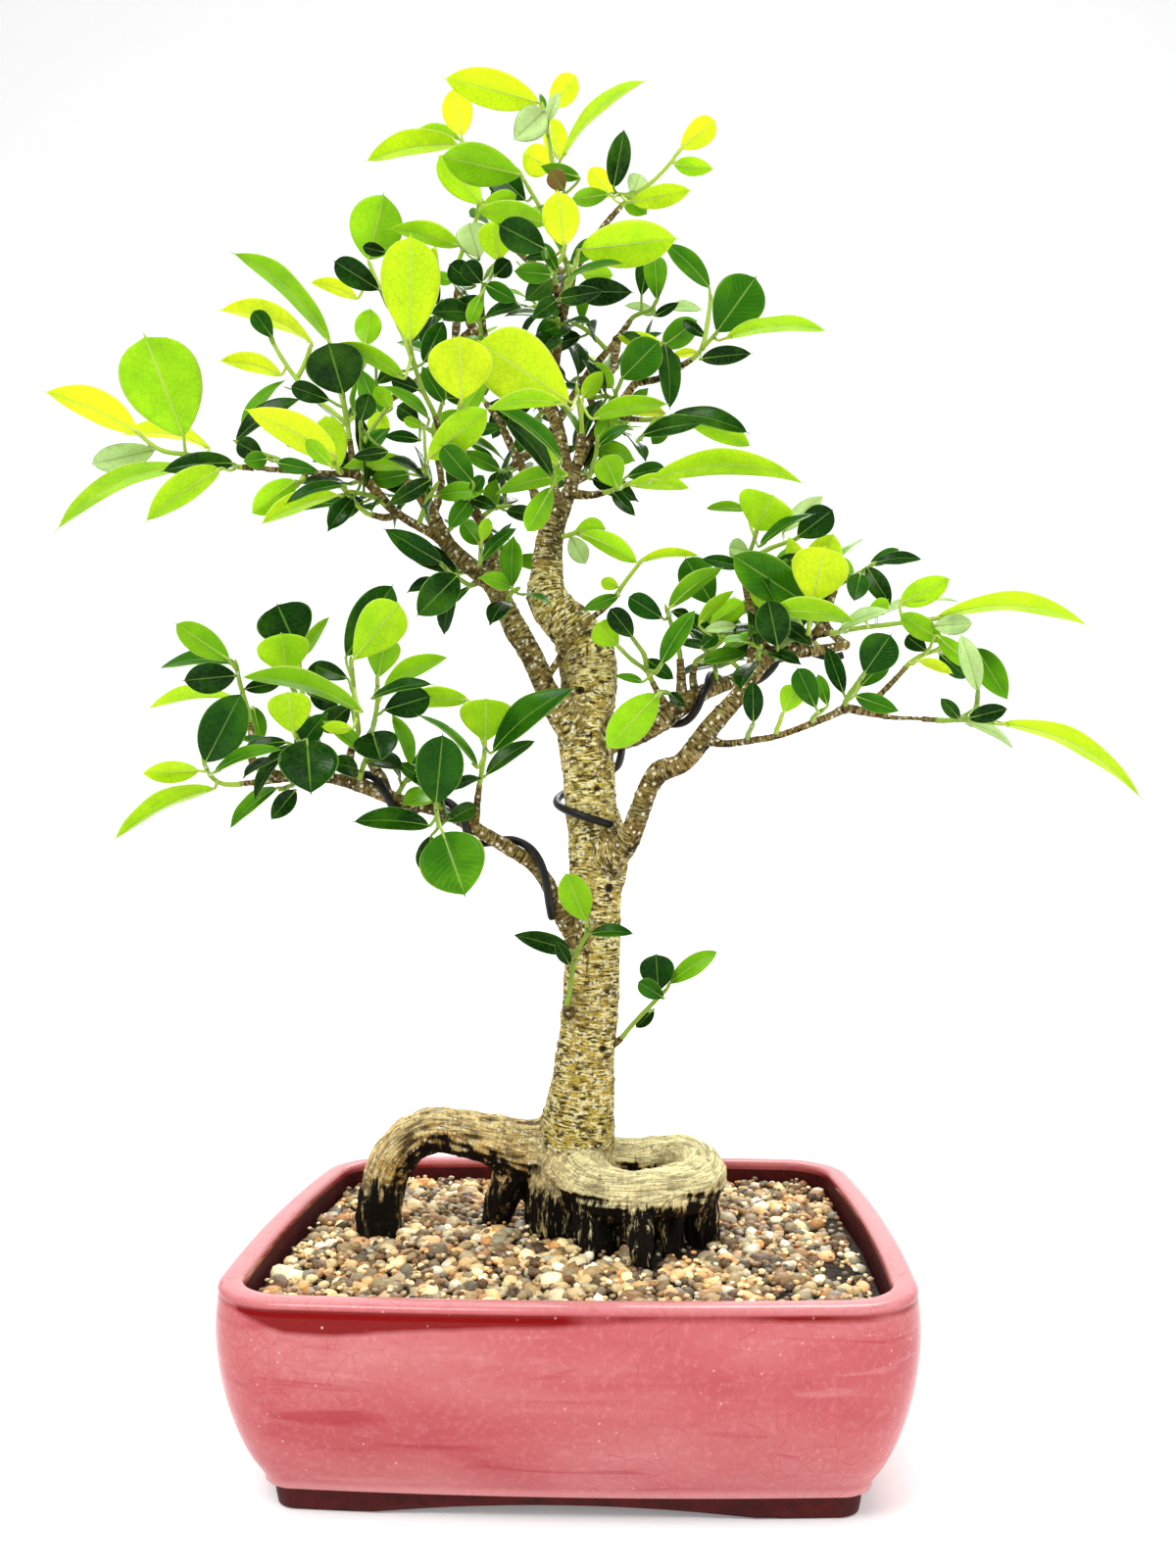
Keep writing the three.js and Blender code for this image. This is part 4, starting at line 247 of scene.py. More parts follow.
LIMBS = {
    "left": [
        [4, 284, 2, 7], [-6, 296, -2, 6.2], [-13, 309, -4, 4.8], [-18, 321, -5, 5], [-25, 333, -6, 5.4],
        [-30, 343, -7, 4.7], [-35, 353, -8, 4.8], [-45, 361, -10, 4], [-55, 371, -12, 3.7],
        [-61, 382, -14, 3.5], [-66, 392, -15, 3.1], [-72, 398, -16, 2.6], [-79, 402, -17, 1.7]],
    "leftUp": [
        [-34, 352, -8, 4], [-35, 362, -4, 3.3], [-37, 373, 0, 2.8], [-42, 384, 4, 2]],
    "leftFar": [
        [-54, 370, -12, 2.8], [-62, 376, -18, 2.3], [-70, 380.5, -23, 2.1], [-77, 385, -27, 2.1],
        [-84, 391.5, -30, 2.4], [-91, 400, -33, 2.4], [-97, 403, -35, 1.9], [-110, 404, -37, 1.6],
        [-127, 405.5, -40, 1.5], [-142, 407, -42, 1.4]],
    "right": [
        [8, 282, 6, 6], [20, 284.5, 2, 4.9], [30, 287.5, -2, 5], [38, 292.5, -4, 5.1],
        [46, 298, -4, 4.6], [54, 303, -2, 3.8], [62, 306.5, 4, 3.6], [70, 309.5, 12, 3.3],
        [80, 315, 20, 3], [92, 320, 26, 2.6], [106, 322, 30, 2.4], [118, 324, 34, 2]],
    "front": [
        [10, 230, 2, 8], [20, 236, -6, 5.8], [26, 246, -12, 4.9], [30, 257, -15, 4.6],
        [34, 266, -17, 4.5], [38.5, 270.5, -19, 4.9], [46, 273, -21, 4.4], [52, 279, -23, 4.6],
        [57, 286, -24, 4.5], [64, 294, -24, 4.2], [71, 302, -23, 3.9], [77, 311, -22, 4.1],
        [82, 319, -21, 5], [88, 321, -21, 3.6], [96, 323, -23, 2.6], [103, 327, -25, 2.4],
        [109, 334, -28, 2]],
    "frontUp": [
        [80, 317, -21, 4.4], [80, 326, -20, 4], [78, 337, -18, 2.1], [76, 347, -17, 1.7],
        [74.5, 357, -16, 1.3]],
    "low": [
        [57, 284, -24, 2.6], [65, 281.8, -30, 1.9], [76, 283, -36, 1.7], [88, 285, -40, 1.7],
        [101, 289.5, -43, 1.7], [111, 293.5, -44, 1.8], [118, 296.5, -45, 2.2], [126, 295, -46, 1.9],
        [138, 292.5, -47, 1.3], [150, 291.8, -48, 1.1], [157, 291.2, -49, 1]],
    "lower": [
        [4, 196, 0, 6], [-3, 205, -6, 4.4], [-8, 214, -9, 3.6], [-12, 223, -12, 3.3],
        [-19, 231, -15, 3.1], [-28, 237, -18, 3.1], [-38, 243, -22, 3.2], [-48, 249, -26, 3],
        [-60, 254, -30, 2.9], [-72, 257, -34, 2.8], [-82, 260.5, -37, 3.4], [-93, 265, -39, 3.3],
        [-105, 268, -41, 2.6], [-118, 268.5, -43, 2], [-132, 267.5, -44, 1.5], [-148, 266, -46, 1.2]],
    "top": [
        [-1, 396, -8, 2.6], [-3, 409, -2, 2.5], [-6, 422, 3, 2.8], [-11, 433, 7, 3.4],
        [-20, 438, 9, 3.5], [-28, 445, 11, 3.3], [-35, 453, 12, 2.8], [-41, 462, 13, 2.6],
        [-46, 473, 14, 2.1], [-51, 487, 15, 1.3]],
    "topRight": [
        [1, 402, -9, 2.3], [6, 413, -2, 2.2], [12.5, 423.5, 4, 2.3], [20, 431, 8, 2.2],
        [27, 440.5, 12, 1.9], [33, 448, 15, 1.5]],
    "topMid": [
        [-11, 433, 7, 2.6], [-8, 446, 14, 2.3], [-6, 462, 18, 2.1], [-3, 476, 20, 1.9],
        [-1, 492, 21, 1.5]],
    "topBack": [
        [12, 423, 4, 1.8], [8, 436, 20, 1.8], [6, 444, 26, 1.9], [12, 452, 28, 1.8],
        [20, 461.5, 29, 1.5], [26, 470, 29, 1.2]],
}
KNOTS = [[15, 220, 4.2], [-3, 166, 3], [12, 153, 4], [-2, 143, 3], [10, 262, 3.2], [3, 304, 4],
         [-6, 381, 2.6]]
# Leafy shoots: name, twig rows [x, z, y, radius], the first drawn to the limb it grows from; green stems
# as rows [x, z, y], the first going on from the twig's end and the others from a stem before them; leaves
# [base x, base z, tip x, tip z, depth y, tip's depth less base's, width, tone], all as seen.
# Tone runs from 0, yellow and clear, over 1, lime, and 2, mid green, to 3, dark; 4 is pale, 5 brown.
# Each leaf's tone is its own colour with painted light: lighter where backlit, darker in shade, and pale 4
# also for glare
SHOOTS = [
    ("shoot_far_left",
     [[-142, 407, -42, 1.4], [-147, 407.4, -43, 1.3]],
     [[[-160, 411, -44], [-172, 413.5, -45], [-183, 415.5, -46], [-189, 419, -47], [-194, 423.5, -48]]],
     [[-174, 422, -193, 470, -52, -8, 36, 1.3], [-195, 424.5, -239, 444, -50, -6, 14, 0],
      [-172, 408, -232, 379, -48, 0, 13, 1.2], [-157, 407, -191, 383, -62, -10, 13, 0.9],
      [-187, 416, -216, 410, -34, 8, 12, 4], [-162, 416, -203, 423, -30, 12, 9, 0],
      [-151, 409, -184, 406, -55, -6, 10, 3]]),
    ("shoot_left_ring",
     [[-126, 405, -40, 1.4], [-130, 409.5, -38, 1.1]],
     [[[-135, 412, -37], [-141, 414.5, -34], [-148, 418, -32]]],
     [[-150, 419, -120, 438, -30, 4, 7, 3], [-147, 424, -127, 447, -20, 6, 5, 2],
      [-138, 412, -150, 419, -44, -4, 10, 3], [-136, 411, -147, 410, -52, -3, 8, 2],
      [-131, 409, -112, 405, -48, -4, 7, 2]]),
    ("shoot_left_under",
     [[-118, 404, -39, 1.3], [-120, 401.5, -42, 1.1]],
     [[[-122, 400, -45], [-125, 398, -48]]],
     [[-123, 401, -143, 386, -54, -8, 13, 1], [-124, 397, -136, 388, -40, 4, 8, 1.6]]),
    ("shoot_left_low",
     [[-77, 384, -27, 1.8], [-83, 383.5, -30, 1.5], [-89, 385, -33, 1.3]],
     [[[-95, 389, -35], [-101, 396, -38]]],
     [[-104, 394, -139, 381, -55, -6, 9, 0.8], [-100, 390, -138, 381.5, -34, 4, 6, 2],
      [-101, 398, -128, 390, -60, -8, 5, 2.5]]),
    ("shoot_left_tall",
     [[-97, 403, -35, 1.8], [-98, 412, -36, 1.5], [-99, 419, -37, 1.3]],
     [[[-100, 426, -38], [-101, 433, -42], [-102, 439, -49]], [[-100, 426, -38], [-103, 440, -34],
      [-107.5, 459, -34]], [[-100, 426, -38], [-108, 433, -31], [-116, 439, -28], [-123, 447, -26],
      [-130, 457, -26], [-134, 464, -26]], [[-123, 447, -26], [-119, 455, -20], [-117, 461, -16]]],
     [[-102, 440, -109, 464, -60, -14, 26, 3], [-108, 463, -154, 506, -34, -10, 14, 1],
      [-134, 466, -143, 479, -28, -3, 9, 2.5], [-116, 463, -160, 479, -12, 6, 9, 0],
      [-130, 449, -159, 456, -22, 2, 7.5, 0], [-108, 437, -126, 444, -42, -4, 9, 3]]),
    ("shoot_left_fan",
     [[-101, 403, -36, 1.5], [-103, 404.5, -41, 1.2]],
     [[[-105, 407, -46], [-107, 411, -50]]],
     [[-105, 412, -147, 434, -66, -8, 16, 0], [-104, 406, -110, 431, -54, -4, 14, 0.8],
      [-107, 407, -119, 420, -76, -5, 8, 1.2], [-110, 414, -128, 417, -36, 6, 5, 2],
      [-111, 418, -139, 424, -28, 6, 7, 0]]),
    ("shoot_left_mid",
     [[-91, 401, -33, 1.8], [-92.5, 408, -34, 1.3]],
     [[[-93.5, 416, -38], [-94, 425, -48]], [[-93.5, 416, -38], [-89, 424, -28], [-83, 432, -22]]],
     [[-94, 427, -90, 440, -58, -3, 9.5, 3], [-89, 416, -84, 432, -16, 4, 10, 0.8],
      [-80, 433, -88, 443, -28, -3, 8, 1], [-82, 413, -98, 411, -52, -6, 6, 3],
      [-86, 430, -95, 452, -6, 8, 11, 1.6]]),
    ("shoot_big_oval",
     [[-46, 388, 0, 2.2], [-50, 398, -6, 1.9], [-54, 409, -12, 1.7], [-58, 420, -18, 1.5],
      [-61, 429, -24, 1.3]],
     [[[-66, 440, -30], [-70, 452, -38], [-72, 461, -44]], [[-66, 440, -30], [-76, 447, -24],
      [-85, 455, -18], [-91, 461, -14]], [[-70, 452, -38], [-77, 470, -22], [-84, 484, -16],
      [-90, 498, -12]]],
     [[-72, 463, -72, 513, -54, -10, 27, 0.5], [-75, 446, -107, 463, -58, -14, 9, 1.2],
      [-91, 501, -84, 532, -12, -3, 24, 1.4], [-86, 487, -107, 501, -34, -8, 12, 2.8],
      [-92, 462, -90, 479, -12, 2, 12, 1], [-73, 474, -60, 508, -14, 10, 15, 0.6],
      [-96, 483, -118, 491, 2, 4, 6, 0], [-83, 504, -94, 507, -34, -4, 6, 3],
      [-66, 453, -57, 472, -16, 6, 10, 2.6], [-68, 441, -81, 446, -46, -5, 8, 3],
      [-87, 444, -78, 452, -4, 3, 7, 3]]),
    ("shoot_inner_left",
     [[-60, 384, -14, 2], [-58, 398, -2, 1.6], [-60, 412, 6, 1.3]],
     [[[-61, 421, 6], [-59, 430, 4], [-57, 437, 0]], [[-61, 421, 6], [-68, 426, -2]]],
     [[-64, 428, -85, 443, -54, -8, 5, 2], [-68, 427, -78, 434, -22, -4, 9, 3],
      [-57, 435, -67, 452, -17, -6, 8, 2], [-56, 437, -42, 436, 0, 6, 6, 2.2],
      [-68, 418, -84, 420, -34, -6, 5, 2.5], [-62, 420, -50, 432, 14, 6, 9, 1.4]]),
    ("shoot_heart",
     [[-43, 388, 3, 1.8], [-46, 402, -14, 1.5], [-48, 414, -34, 1.3]],
     [[[-49, 424, -48], [-49, 434, -60]]],
     [[-49, 436, -50, 466, -74, -10, 29, 0.4], [-49, 418, -30, 423, -40, 4, 5, 2.6],
      [-50, 428, -38, 446, -40, 8, 9, 1.2]]),
    ("shoot_fold",
     [[-66, 392, -16, 2], [-66, 397, -22, 1.5], [-66, 401, -28, 1.2]],
     [[[-65.5, 404.5, -35], [-64.5, 408, -44]]],
     [[-64, 409.5, -37, 432, -60, -16, 16, 1.1], [-66, 424, -75, 428, -52, -4, 5, 1],
      [-69, 405, -103, 406, -39, -10, 8, 1], [-63, 400, -82, 389, -56, -8, 8, 3],
      [-72, 403, -90, 400, -30, 4, 9, 2]]),
    ("shoot_left_glossy",
     [[-40, 354, -10, 1.8], [-44, 353, -18, 1.3]],
     [[[-49, 355, -25], [-54, 358.5, -30], [-57, 361.5, -33]]],
     [[-58, 363, -84, 379, -40, -10, 11, 2.6], [-51, 357, -69, 339, -42, -12, 16, 3],
      [-45, 352, -52, 345, -14, 6, 3, 2.5]]),
    ("shoot_left_inner",
     [[-42, 359, -12, 1.6], [-41, 362, -18, 1.2]],
     [[[-40.6, 365.5, -24], [-40.4, 370, -29]]],
     [[-39.5, 364, -24, 378, -42, -8, 5.5, 2.5], [-41, 371, -49, 382, -22, 6, 9, 1.6],
      [-40, 372, -37, 383, -40, -4, 6, 1]]),
    ("shoot_limb_end",
     [[-41, 381, 3, 2.2], [-43, 386, 2, 1.8]],
     [[[-44, 391, -8], [-44, 397, -22]]],
     [[-44, 399, -58, 416, -56, -12, 12, 1.8], [-46, 390, -55, 378, -34, -12, 9, 2],
      [-43, 391, -33, 387, -30, -6, 6, 3], [-45, 394, -39, 402, -34, -6, 6, 2.2]]),
    ("shoot_back_twig",
     [[-14, 384, 8, 2.3], [-18, 397, 10, 2.2], [-24, 408, 12, 2], [-29, 419, 13, 1.8],
      [-33, 427, 14, 1.5], [-38, 434, 15, 1.3]],
     [[[-43, 440, 16], [-49, 447, 18]]],
     [[-45, 441, -62, 438, 26, 6, 6, 2.2], [-49, 448, -62, 460, 24, 6, 12, 1.4],
      [-42, 441, -30, 452, 26, 6, 10, 1.2]]),
    ("shoot_pale",
     [[-24, 408, 12, 2], [-27, 405, 6, 1.3]],
     [[[-29, 404, 1], [-31, 403.6, -4]]],
     [[-32, 404, -50, 413, -14, -6, 7, 2], [-29, 403, -27, 398, -12, -3, 4, 3],
      [-32, 403, -37, 396, -8, 0, 5, 2.5]]),
    ("shoot_trio",
     [[-5, 388, -8, 2.4], [-7, 393, -18, 1.8], [-7.5, 397, -26, 1.4]],
     [[[-7.7, 401.5, -33], [-7, 407, -40]]],
     [[-9, 400, -31, 427, -56, -12, 8, 3], [-7, 405, -28, 429, -44, 2, 9, 1.2],
      [-5, 408, -36, 433, -64, -16, 7, 2.2], [-2, 401, -34, 393, -42, -6, 9, 1.5],
      [-9, 396, -20, 376, -58, -10, 11, 1.5]]),
    ("shoot_huge",
     [[3.8, 413, -10, 2.3], [4.2, 419, -10, 2.1]],
     [[[4, 426, -16], [3, 433, -24], [2.5, 438, -28]]],
     [[-1, 434, -42, 463, -50, -22, 31, 0.7], [9, 426, 43, 432, -40, -8, 9, 1],
      [-4, 433, -38, 431, -94, -12, 7, 1], [5, 436, 14, 448, -6, 8, 8, 1]]),
    ("shoot_top_left",
     [[-46, 473, 14, 2.1], [-51, 487, 15, 1.3]],
     [[[-52, 493, 14], [-49, 503, 9], [-44, 514, 5], [-41, 523, 2]], [[-41, 523, 2], [-44, 538, 14],
      [-48.5, 554, 22]]],
     [[-49, 557, -53, 580, 26, 0, 14, 0], [-40, 525, -60, 549, -4, -4, 15, 0.8],
      [-51, 553, -93, 546, 14, -8, 11, 0.8], [-50, 555, -69, 561, 34, 2, 4.5, 1],
      [-50, 506, -82, 515, -9, -8, 10, 1], [-41, 500, -46, 517, -16, -3, 15, 4],
      [-43, 488, -55, 498, -10, -5, 11, 3], [-53, 490, -62, 493, 22, 4, 6, 1.4],
      [-40, 524, -24, 529, -14, -5, 8, 1]]),
    ("shoot_top_inner",
     [[-37, 456, 12, 2.2], [-39.5, 468, 6, 1.7], [-40, 478, 0, 1.4]],
     [[[-39.5, 486, -6], [-37, 494, -12], [-33, 498, -16]]],
     [[-33, 499, -34, 518, -34, -6, 16, 1], [-34, 492, -27, 499, -30, -4, 9, 3],
      [-40, 489, -48, 499, -40, -6, 10, 3], [-41, 483, -58, 472, -10, 4, 8, 3],
      [-38, 488, -24, 480, -36, -4, 8, 2], [-40, 484, -46, 470, -30, -4, 7, 1.4]]),
    ("shoot_crown",
     [[-3, 476, 20, 1.9], [-1, 492, 21, 1.5]],
     [[[-3, 500, 17], [-9, 512, 9], [-14, 523, 4], [-19, 532, 0], [-22, 537.5, -4]], [[-9, 512, 9],
      [-6, 527, 6], [-8, 542, 4], [-10, 555, 2], [-12, 567, 0]]],
     [[-22, 538, -59, 548, -24, -14, 18, 1.1], [-14, 571, -58, 584, -8, -8, 16, 0.3],
      [-4, 545, 35, 580, -8, -4, 8, 0.8], [-9, 569, 3, 584, 8, 4, 12, 0],
      [-12, 567, -26, 554, -24, -5, 14, 4], [-5, 545, -9, 565, 20, 4, 11, 0],
      [-9, 541, -22, 548, 26, 4, 14, 0], [4, 536, -14, 542, -14, -4, 7, 1.5],
      [-20, 526, -35, 541, 14, 4, 15, 2.5], [-3, 530, -9, 540, -20, -3, 9, 5],
      [-10, 562, -5, 576, -12, 2, 5, 4], [-10, 515, -43, 522, -44, -12, 11, 1],
      [-13, 566, -14, 576, 12, 2, 2.5, 2]]),
    ("shoot_crown_front",
     [[-4, 470, 18, 1.9], [-6, 480, 4, 1.6], [-7, 488, -8, 1.4]],
     [[[-8, 495, -18], [-10, 501, -26]], [[-8, 495, -18], [-4, 500, -16], [-3, 504, -16]]],
     [[-12, 504, -33, 516, -58, -14, 15, 2.6], [-3, 505, -6, 531, -47, -4, 17, 0.2],
      [-10, 490, -21, 480, -40, -6, 10, 3], [-6, 493, -13, 507, -34, 2, 6, 2],
      [-9, 492, -26, 494, -46, -6, 9, 1.8]]),
    ("shoot_crown_right",
     [[-2, 478, 20, 1.8], [0, 486, 8, 1.5], [1, 493, -2, 1.3]],
     [[[2.5, 499, -10], [3, 502, -18]], [[2.5, 499, -10], [0, 489, -26], [-4, 482, -34]]],
     [[4, 503, 48, 507, -38, -12, 20, 0.7], [2, 484, 28, 483, -38, -6, 12, 3],
      [-5, 481, 15, 484, -56, -8, 8, 3], [-2, 489, 24, 496, -48, -6, 4, 2],
      [5, 492, 19, 491, -6, 4, 9, 1], [-7, 480, -18, 472, -44, -6, 8, 3]]),
    ("shoot_crown_back",
     [[0, 490, 21, 1.8], [7, 502, 28, 1.6], [15, 514, 34, 1.4], [22, 522, 36, 1.2]],
     [[[28, 527, 35], [36, 533, 33], [43, 540, 31], [48, 546.5, 29]], [[28, 527, 35], [20, 528, 32]]],
     [[49, 548, 65, 561, 28, -2, 12, 0], [27, 524, 54, 529, 20, -5, 10, 0.6],
      [19, 531, 24, 558, 28, -2, 10.5, 3], [46, 541, 64, 538, 42, 4, 8, 1],
      [17, 528, 0, 526, 14, -6, 8, 1.5], [18, 527, 8, 541, 42, 4, 10, 0],
      [27, 527, 31, 537, 46, 2, 9, 4], [24, 528, 34, 518, 44, 4, 10, 1.6]]),
    ("shoot_right_oval",
     [[20, 461.5, 29, 1.5], [26, 470, 29, 1.2]],
     [[[31, 473.5, 27], [35, 474.5, 23], [37, 477.5, 20]]],
     [[38, 479, 37, 500, 14, -4, 10.5, 2], [37, 472, 48, 478, 16, -3, 4.5, 3],
      [31, 481, 34, 499, 26, -3, 9, 3], [37, 473, 23, 477, 38, 3, 4, 4], [42, 475, 58, 474, 34, 3, 4, 4]]),
    ("shoot_right_glossy",
     [[29, 442, 12, 1.8], [38, 443.5, 4, 1.5], [46, 447.5, -2, 1.4], [53, 452, -6, 1.3]],
     [[[58, 457, -9], [63, 462.5, -12]], [[58, 457, -9], [60, 468, 2], [61.5, 478, 6]]],
     [[64, 464, 82, 489, -20, -6, 23, 2], [68, 461, 113, 463, -28, -8, 8, 1],
      [57, 452, 80, 454, -30, -6, 8, 3], [61, 484, 41, 505, 4, -4, 9, 2],
      [59, 462, 49, 470, -2, 2, 5, 3], [56, 455, 43, 453, 6, 2, 4, 0]]),
    ("shoot_right_fold",
     [[27, 440.5, 12, 1.9], [33, 448, 15, 1.5]],
     [[[36, 452, 14], [38.5, 457, 11]]],
     [[39, 460, 20, 463, -2, -6, 7, 0.5], [36, 449, 38, 461, 24, 4, 10, 3],
      [41, 459, 43, 429, -6, -8, 10, 2.6], [40, 458, 56, 470, 26, 6, 12, 1.6]]),
    ("shoot_right_face",
     [[19, 430, 8, 2], [19.3, 436, 4, 1.4]],
     [[[20.3, 439.5, 0], [21.6, 442.5, -4]]],
     [[22, 444, 39, 461, -14, -6, 17, 1.8], [18, 440, 9, 452, 12, 4, 8, 1.2]]),
    ("shoot_right_dark",
     [[18, 428, 7, 1.7], [25, 426, 0, 1.3], [31, 425.3, -4, 1.2]],
     [[[37, 425.5, -8], [43, 426, -12]], [[37, 425.5, -8], [33, 420, -14], [30, 417, -18]]],
     [[44, 427, 78, 418, -26, -8, 9, 3], [31, 418, 58, 423, -38, -6, 8, 3],
      [50, 425, 79, 412, -6, 4, 10, 1.2], [41, 428, 24, 428, -2, 4, 5, 0],
      [42, 423, 35, 414, 4, 4, 7, 2]]),
    ("shoot_top_thin",
     [[2, 397, -8, 2], [6, 400, -5, 1.3]],
     [[[8.5, 404, -6], [10.5, 410, -9], [11, 415, -12]]],
     [[12, 414, 26, 423, -24, -4, 5, 2], [11, 417, 20, 430, -6, 6, 9, 1.6],
      [9, 402, 19, 410, 4, 6, 7, 2.4]]),
    ("shoot_long_right",
     [[0, 392, -9, 2.4], [8, 392, -14, 1.7], [14, 393, -18, 1.4]],
     [[[19, 394.5, -22], [27, 397.5, -24], [33, 398.3, -28]]],
     [[35, 398.5, 103, 394, -44, -14, 14, 0.8], [20, 395, 14, 410, -36, -6, 14, 1.5],
      [25, 396, 52, 394, -32, -2, 7, 1], [24, 400, 41, 404, -8, 4, 8, 2.5],
      [18, 393, 28, 382, -30, -6, 6, 3]]),
    ("shoot_mid_right",
     [[-9, 374, -6, 3], [-4, 374, -12, 1.5]],
     [[[0, 375, -16], [3, 375, -19]]],
     [[4, 375, 29, 361, -34, -8, 9, 1], [1, 376, 15, 377, -24, 2, 11, 1], [-1, 374, 6, 361, -8, 6, 9, 4]]),
    ("shoot_wing",
     [[76, 347, -17, 1.7], [74.5, 357, -16, 1.3]],
     [[[75, 361, -18], [78, 367, -21], [80, 373, -25]], [[75, 361, -18], [86, 367, -12],
      [96, 370.5, -14]]],
     [[80, 375, 88, 391, -32, -10, 27, 0.9], [98, 372, 114, 384, -20, -4, 14, 3],
      [76, 384, 58, 385, -14, 2, 5, 1.2], [82, 368, 106, 382, -42, -4, 5, 2],
      [73, 359, 56, 363, -36, -8, 6, 2.5], [92, 374, 110, 390, 2, 4, 8, 4],
      [77, 366, 68, 368, -8, 2, 9, 4]]),
    ("shoot_mid_up",
     [[47, 299, -4, 2.8], [47, 311, -6, 2], [46.6, 319, -8, 1.6]],
     [[[45.5, 327, -10], [43, 334, -12], [41.5, 339, -14]]],
     [[42, 341, 66, 359, -36, -8, 8, 1.5], [39, 337, 24, 347, -32, -6, 10, 2.6],
      [43, 340, 51, 338, -4, 4, 5, 3]]),
    ("shoot_mid_low",
     [[41, 297, -6, 2.4], [37, 304, -12, 1.6], [34.5, 309, -14, 1.3]],
     [[[32, 314, -17], [26, 318.5, -20], [21, 323.5, -24]], [[32, 314, -17], [31, 321, -22],
      [27, 327, -25]], [[32, 314, -17], [36, 313.5, -26], [38, 316, -31]]],
     [[38.5, 317, 54, 341, -42, -8, 9.5, 2], [26, 329, 16, 342, -34, -6, 10, 3],
      [20, 325, 10, 335, -32, -6, 13, 1], [32, 319, 44, 310, -10, 4, 7, 2.6],
      [30, 309, 18, 312, -26, -3, 4, 2]]),
    ("shoot_droop",
     [[45, 298, -6, 2.2], [43, 302.5, -17, 1.4]],
     [[[40.5, 304.5, -24], [38, 304.8, -30]]],
     [[37, 304, 14, 280, -48, -12, 17, 1.2], [42, 304, 49, 298, -36, -4, 5, 3]]),
    ("shoot_mid_centre",
     [[53, 303, -2, 2.2], [52, 311, -4, 1.6], [53, 316, -6, 1.3]],
     [[[58, 321, -8], [64, 326, -10], [69, 331, -12]], [[64, 326, -10], [62.5, 334, -8],
      [61.5, 341, -9]]],
     [[61, 343, 49, 364, -14, -4, 16, 1.8], [60, 334, 75, 344, -25, 2, 10, 1],
      [55, 334, 71, 349, -34, -4, 6, 1], [71, 333, 56, 331, -28, -4, 5, 4],
      [56, 324, 63, 330, -20, -3, 7, 2.5], [56, 317, 76, 321, -15, -2, 6, 1.8]]),
    ("shoot_arch",
     [[79, 334, -18, 2.2], [81, 336, -25, 1.4]],
     [[[83, 337.5, -30], [85, 338.5, -34]]],
     [[86, 339, 123, 334, -54, -12, 9, 1], [84, 340, 77, 349, -36, -2, 4, 1],
      [86, 340, 108, 344, -26, 4, 6, 2.7]]),
    ("shoot_yellow_heart",
     [[101, 325, -24, 1.8], [102, 329.5, -33, 1.4]],
     [[[102.8, 335, -42], [103.5, 341.5, -50]]],
     [[104, 343, 110, 368, -55, -10, 25, 0.4], [101, 343, 69, 365, -40, -10, 19, 2],
      [104, 350, 114, 374, -24, 6, 16, 0.8], [102, 348, 94, 373, -28, 4, 10, 0.8]]),
    ("shoot_right_upper",
     [[109, 334, -28, 2], [112, 343, -30, 1.5], [114, 348, -31, 1.3]],
     [[[118, 352, -31], [125, 356, -29], [129, 358.5, -27]]],
     [[130, 359, 152, 361, -22, -4, 5, 3], [128, 358, 138, 341, -38, -6, 9, 3],
      [125, 355, 122, 343, -44, -6, 10, 2.7], [129, 359, 142, 366, -8, 4, 6, 2.2],
      [122, 354, 112, 362, -8, 6, 9, 1.4]]),
    ("shoot_dark_drop",
     [[88, 320, -24, 2], [88, 319, -30, 1.3]],
     [[[88.4, 320.5, -35], [88.8, 322.5, -39]]],
     [[89, 324, 85, 345, -51, -6, 15, 3], [90, 323, 98, 337, -30, 6, 9, 4]]),
    ("leaf_low_a",
     [[75, 283, -36, 1.7], [75.5, 285, -40, 1.2]],
     [[[76.5, 287.5, -46], [77.5, 289.5, -51]]],
     [[78, 291, 78, 309.5, -60, -4, 9, 3]]),
    ("leaf_low_b",
     [[88, 285, -40, 1.7], [88, 287, -44, 1.2]],
     [[[89, 290, -49], [90, 293, -53]]],
     [[91, 295, 97, 307, -60, -4, 11, 1.2]]),
    ("leaf_low_c",
     [[103, 290.5, -43, 1.7], [103.5, 292, -47, 1.2]],
     [[[105, 294, -52], [107, 295.5, -56]]],
     [[105, 297, 97, 315, -64, -4, 11, 2.5], [110, 298, 106, 312, -52, 2, 6, 2]]),
    ("shoot_right_heart",
     [[117, 296.5, -45, 2.2], [117.5, 298.5, -49, 1.4]],
     [[[120, 303.5, -54], [125, 310.5, -60]]],
     [[126, 312, 138, 329, -70, -8, 17, 2.7], [117, 303, 110, 324, -50, 2, 8, 3],
      [124, 306, 136, 318, -38, 6, 9, 2], [122, 302, 141, 295, -66, -4, 8, 2.2]]),
    ("shoot_right_mid",
     [[125, 295.5, -46, 2], [131, 301, -47, 1.4], [138, 308, -44, 1.3], [144, 314.5, -41, 1.1]],
     [[[149, 318.5, -40], [157, 321.5, -38], [168, 322.5, -37]]],
     [[174, 322, 187, 299, -38, -4, 12, 1.8], [157, 328, 173, 313, -54, -6, 8, 1.5],
      [160, 325, 141, 338, -50, -4, 10, 1.3], [153, 321, 144, 328, -26, 4, 8, 3],
      [149, 317, 164, 311, -52, -3, 5, 0.5], [158, 320, 170, 309, -22, 6, 8, 2.4]]),
    ("shoot_right_long",
     [[105, 328.5, -26, 1.8], [112, 329.5, -32, 1.3]],
     [[[120, 331, -37], [137, 333, -41], [147, 334.2, -43], [155, 335, -45]]],
     [[157, 335.5, 223, 330, -52, -12, 8.5, 0.8], [142, 342, 164, 353, -30, 2, 12, 0.8],
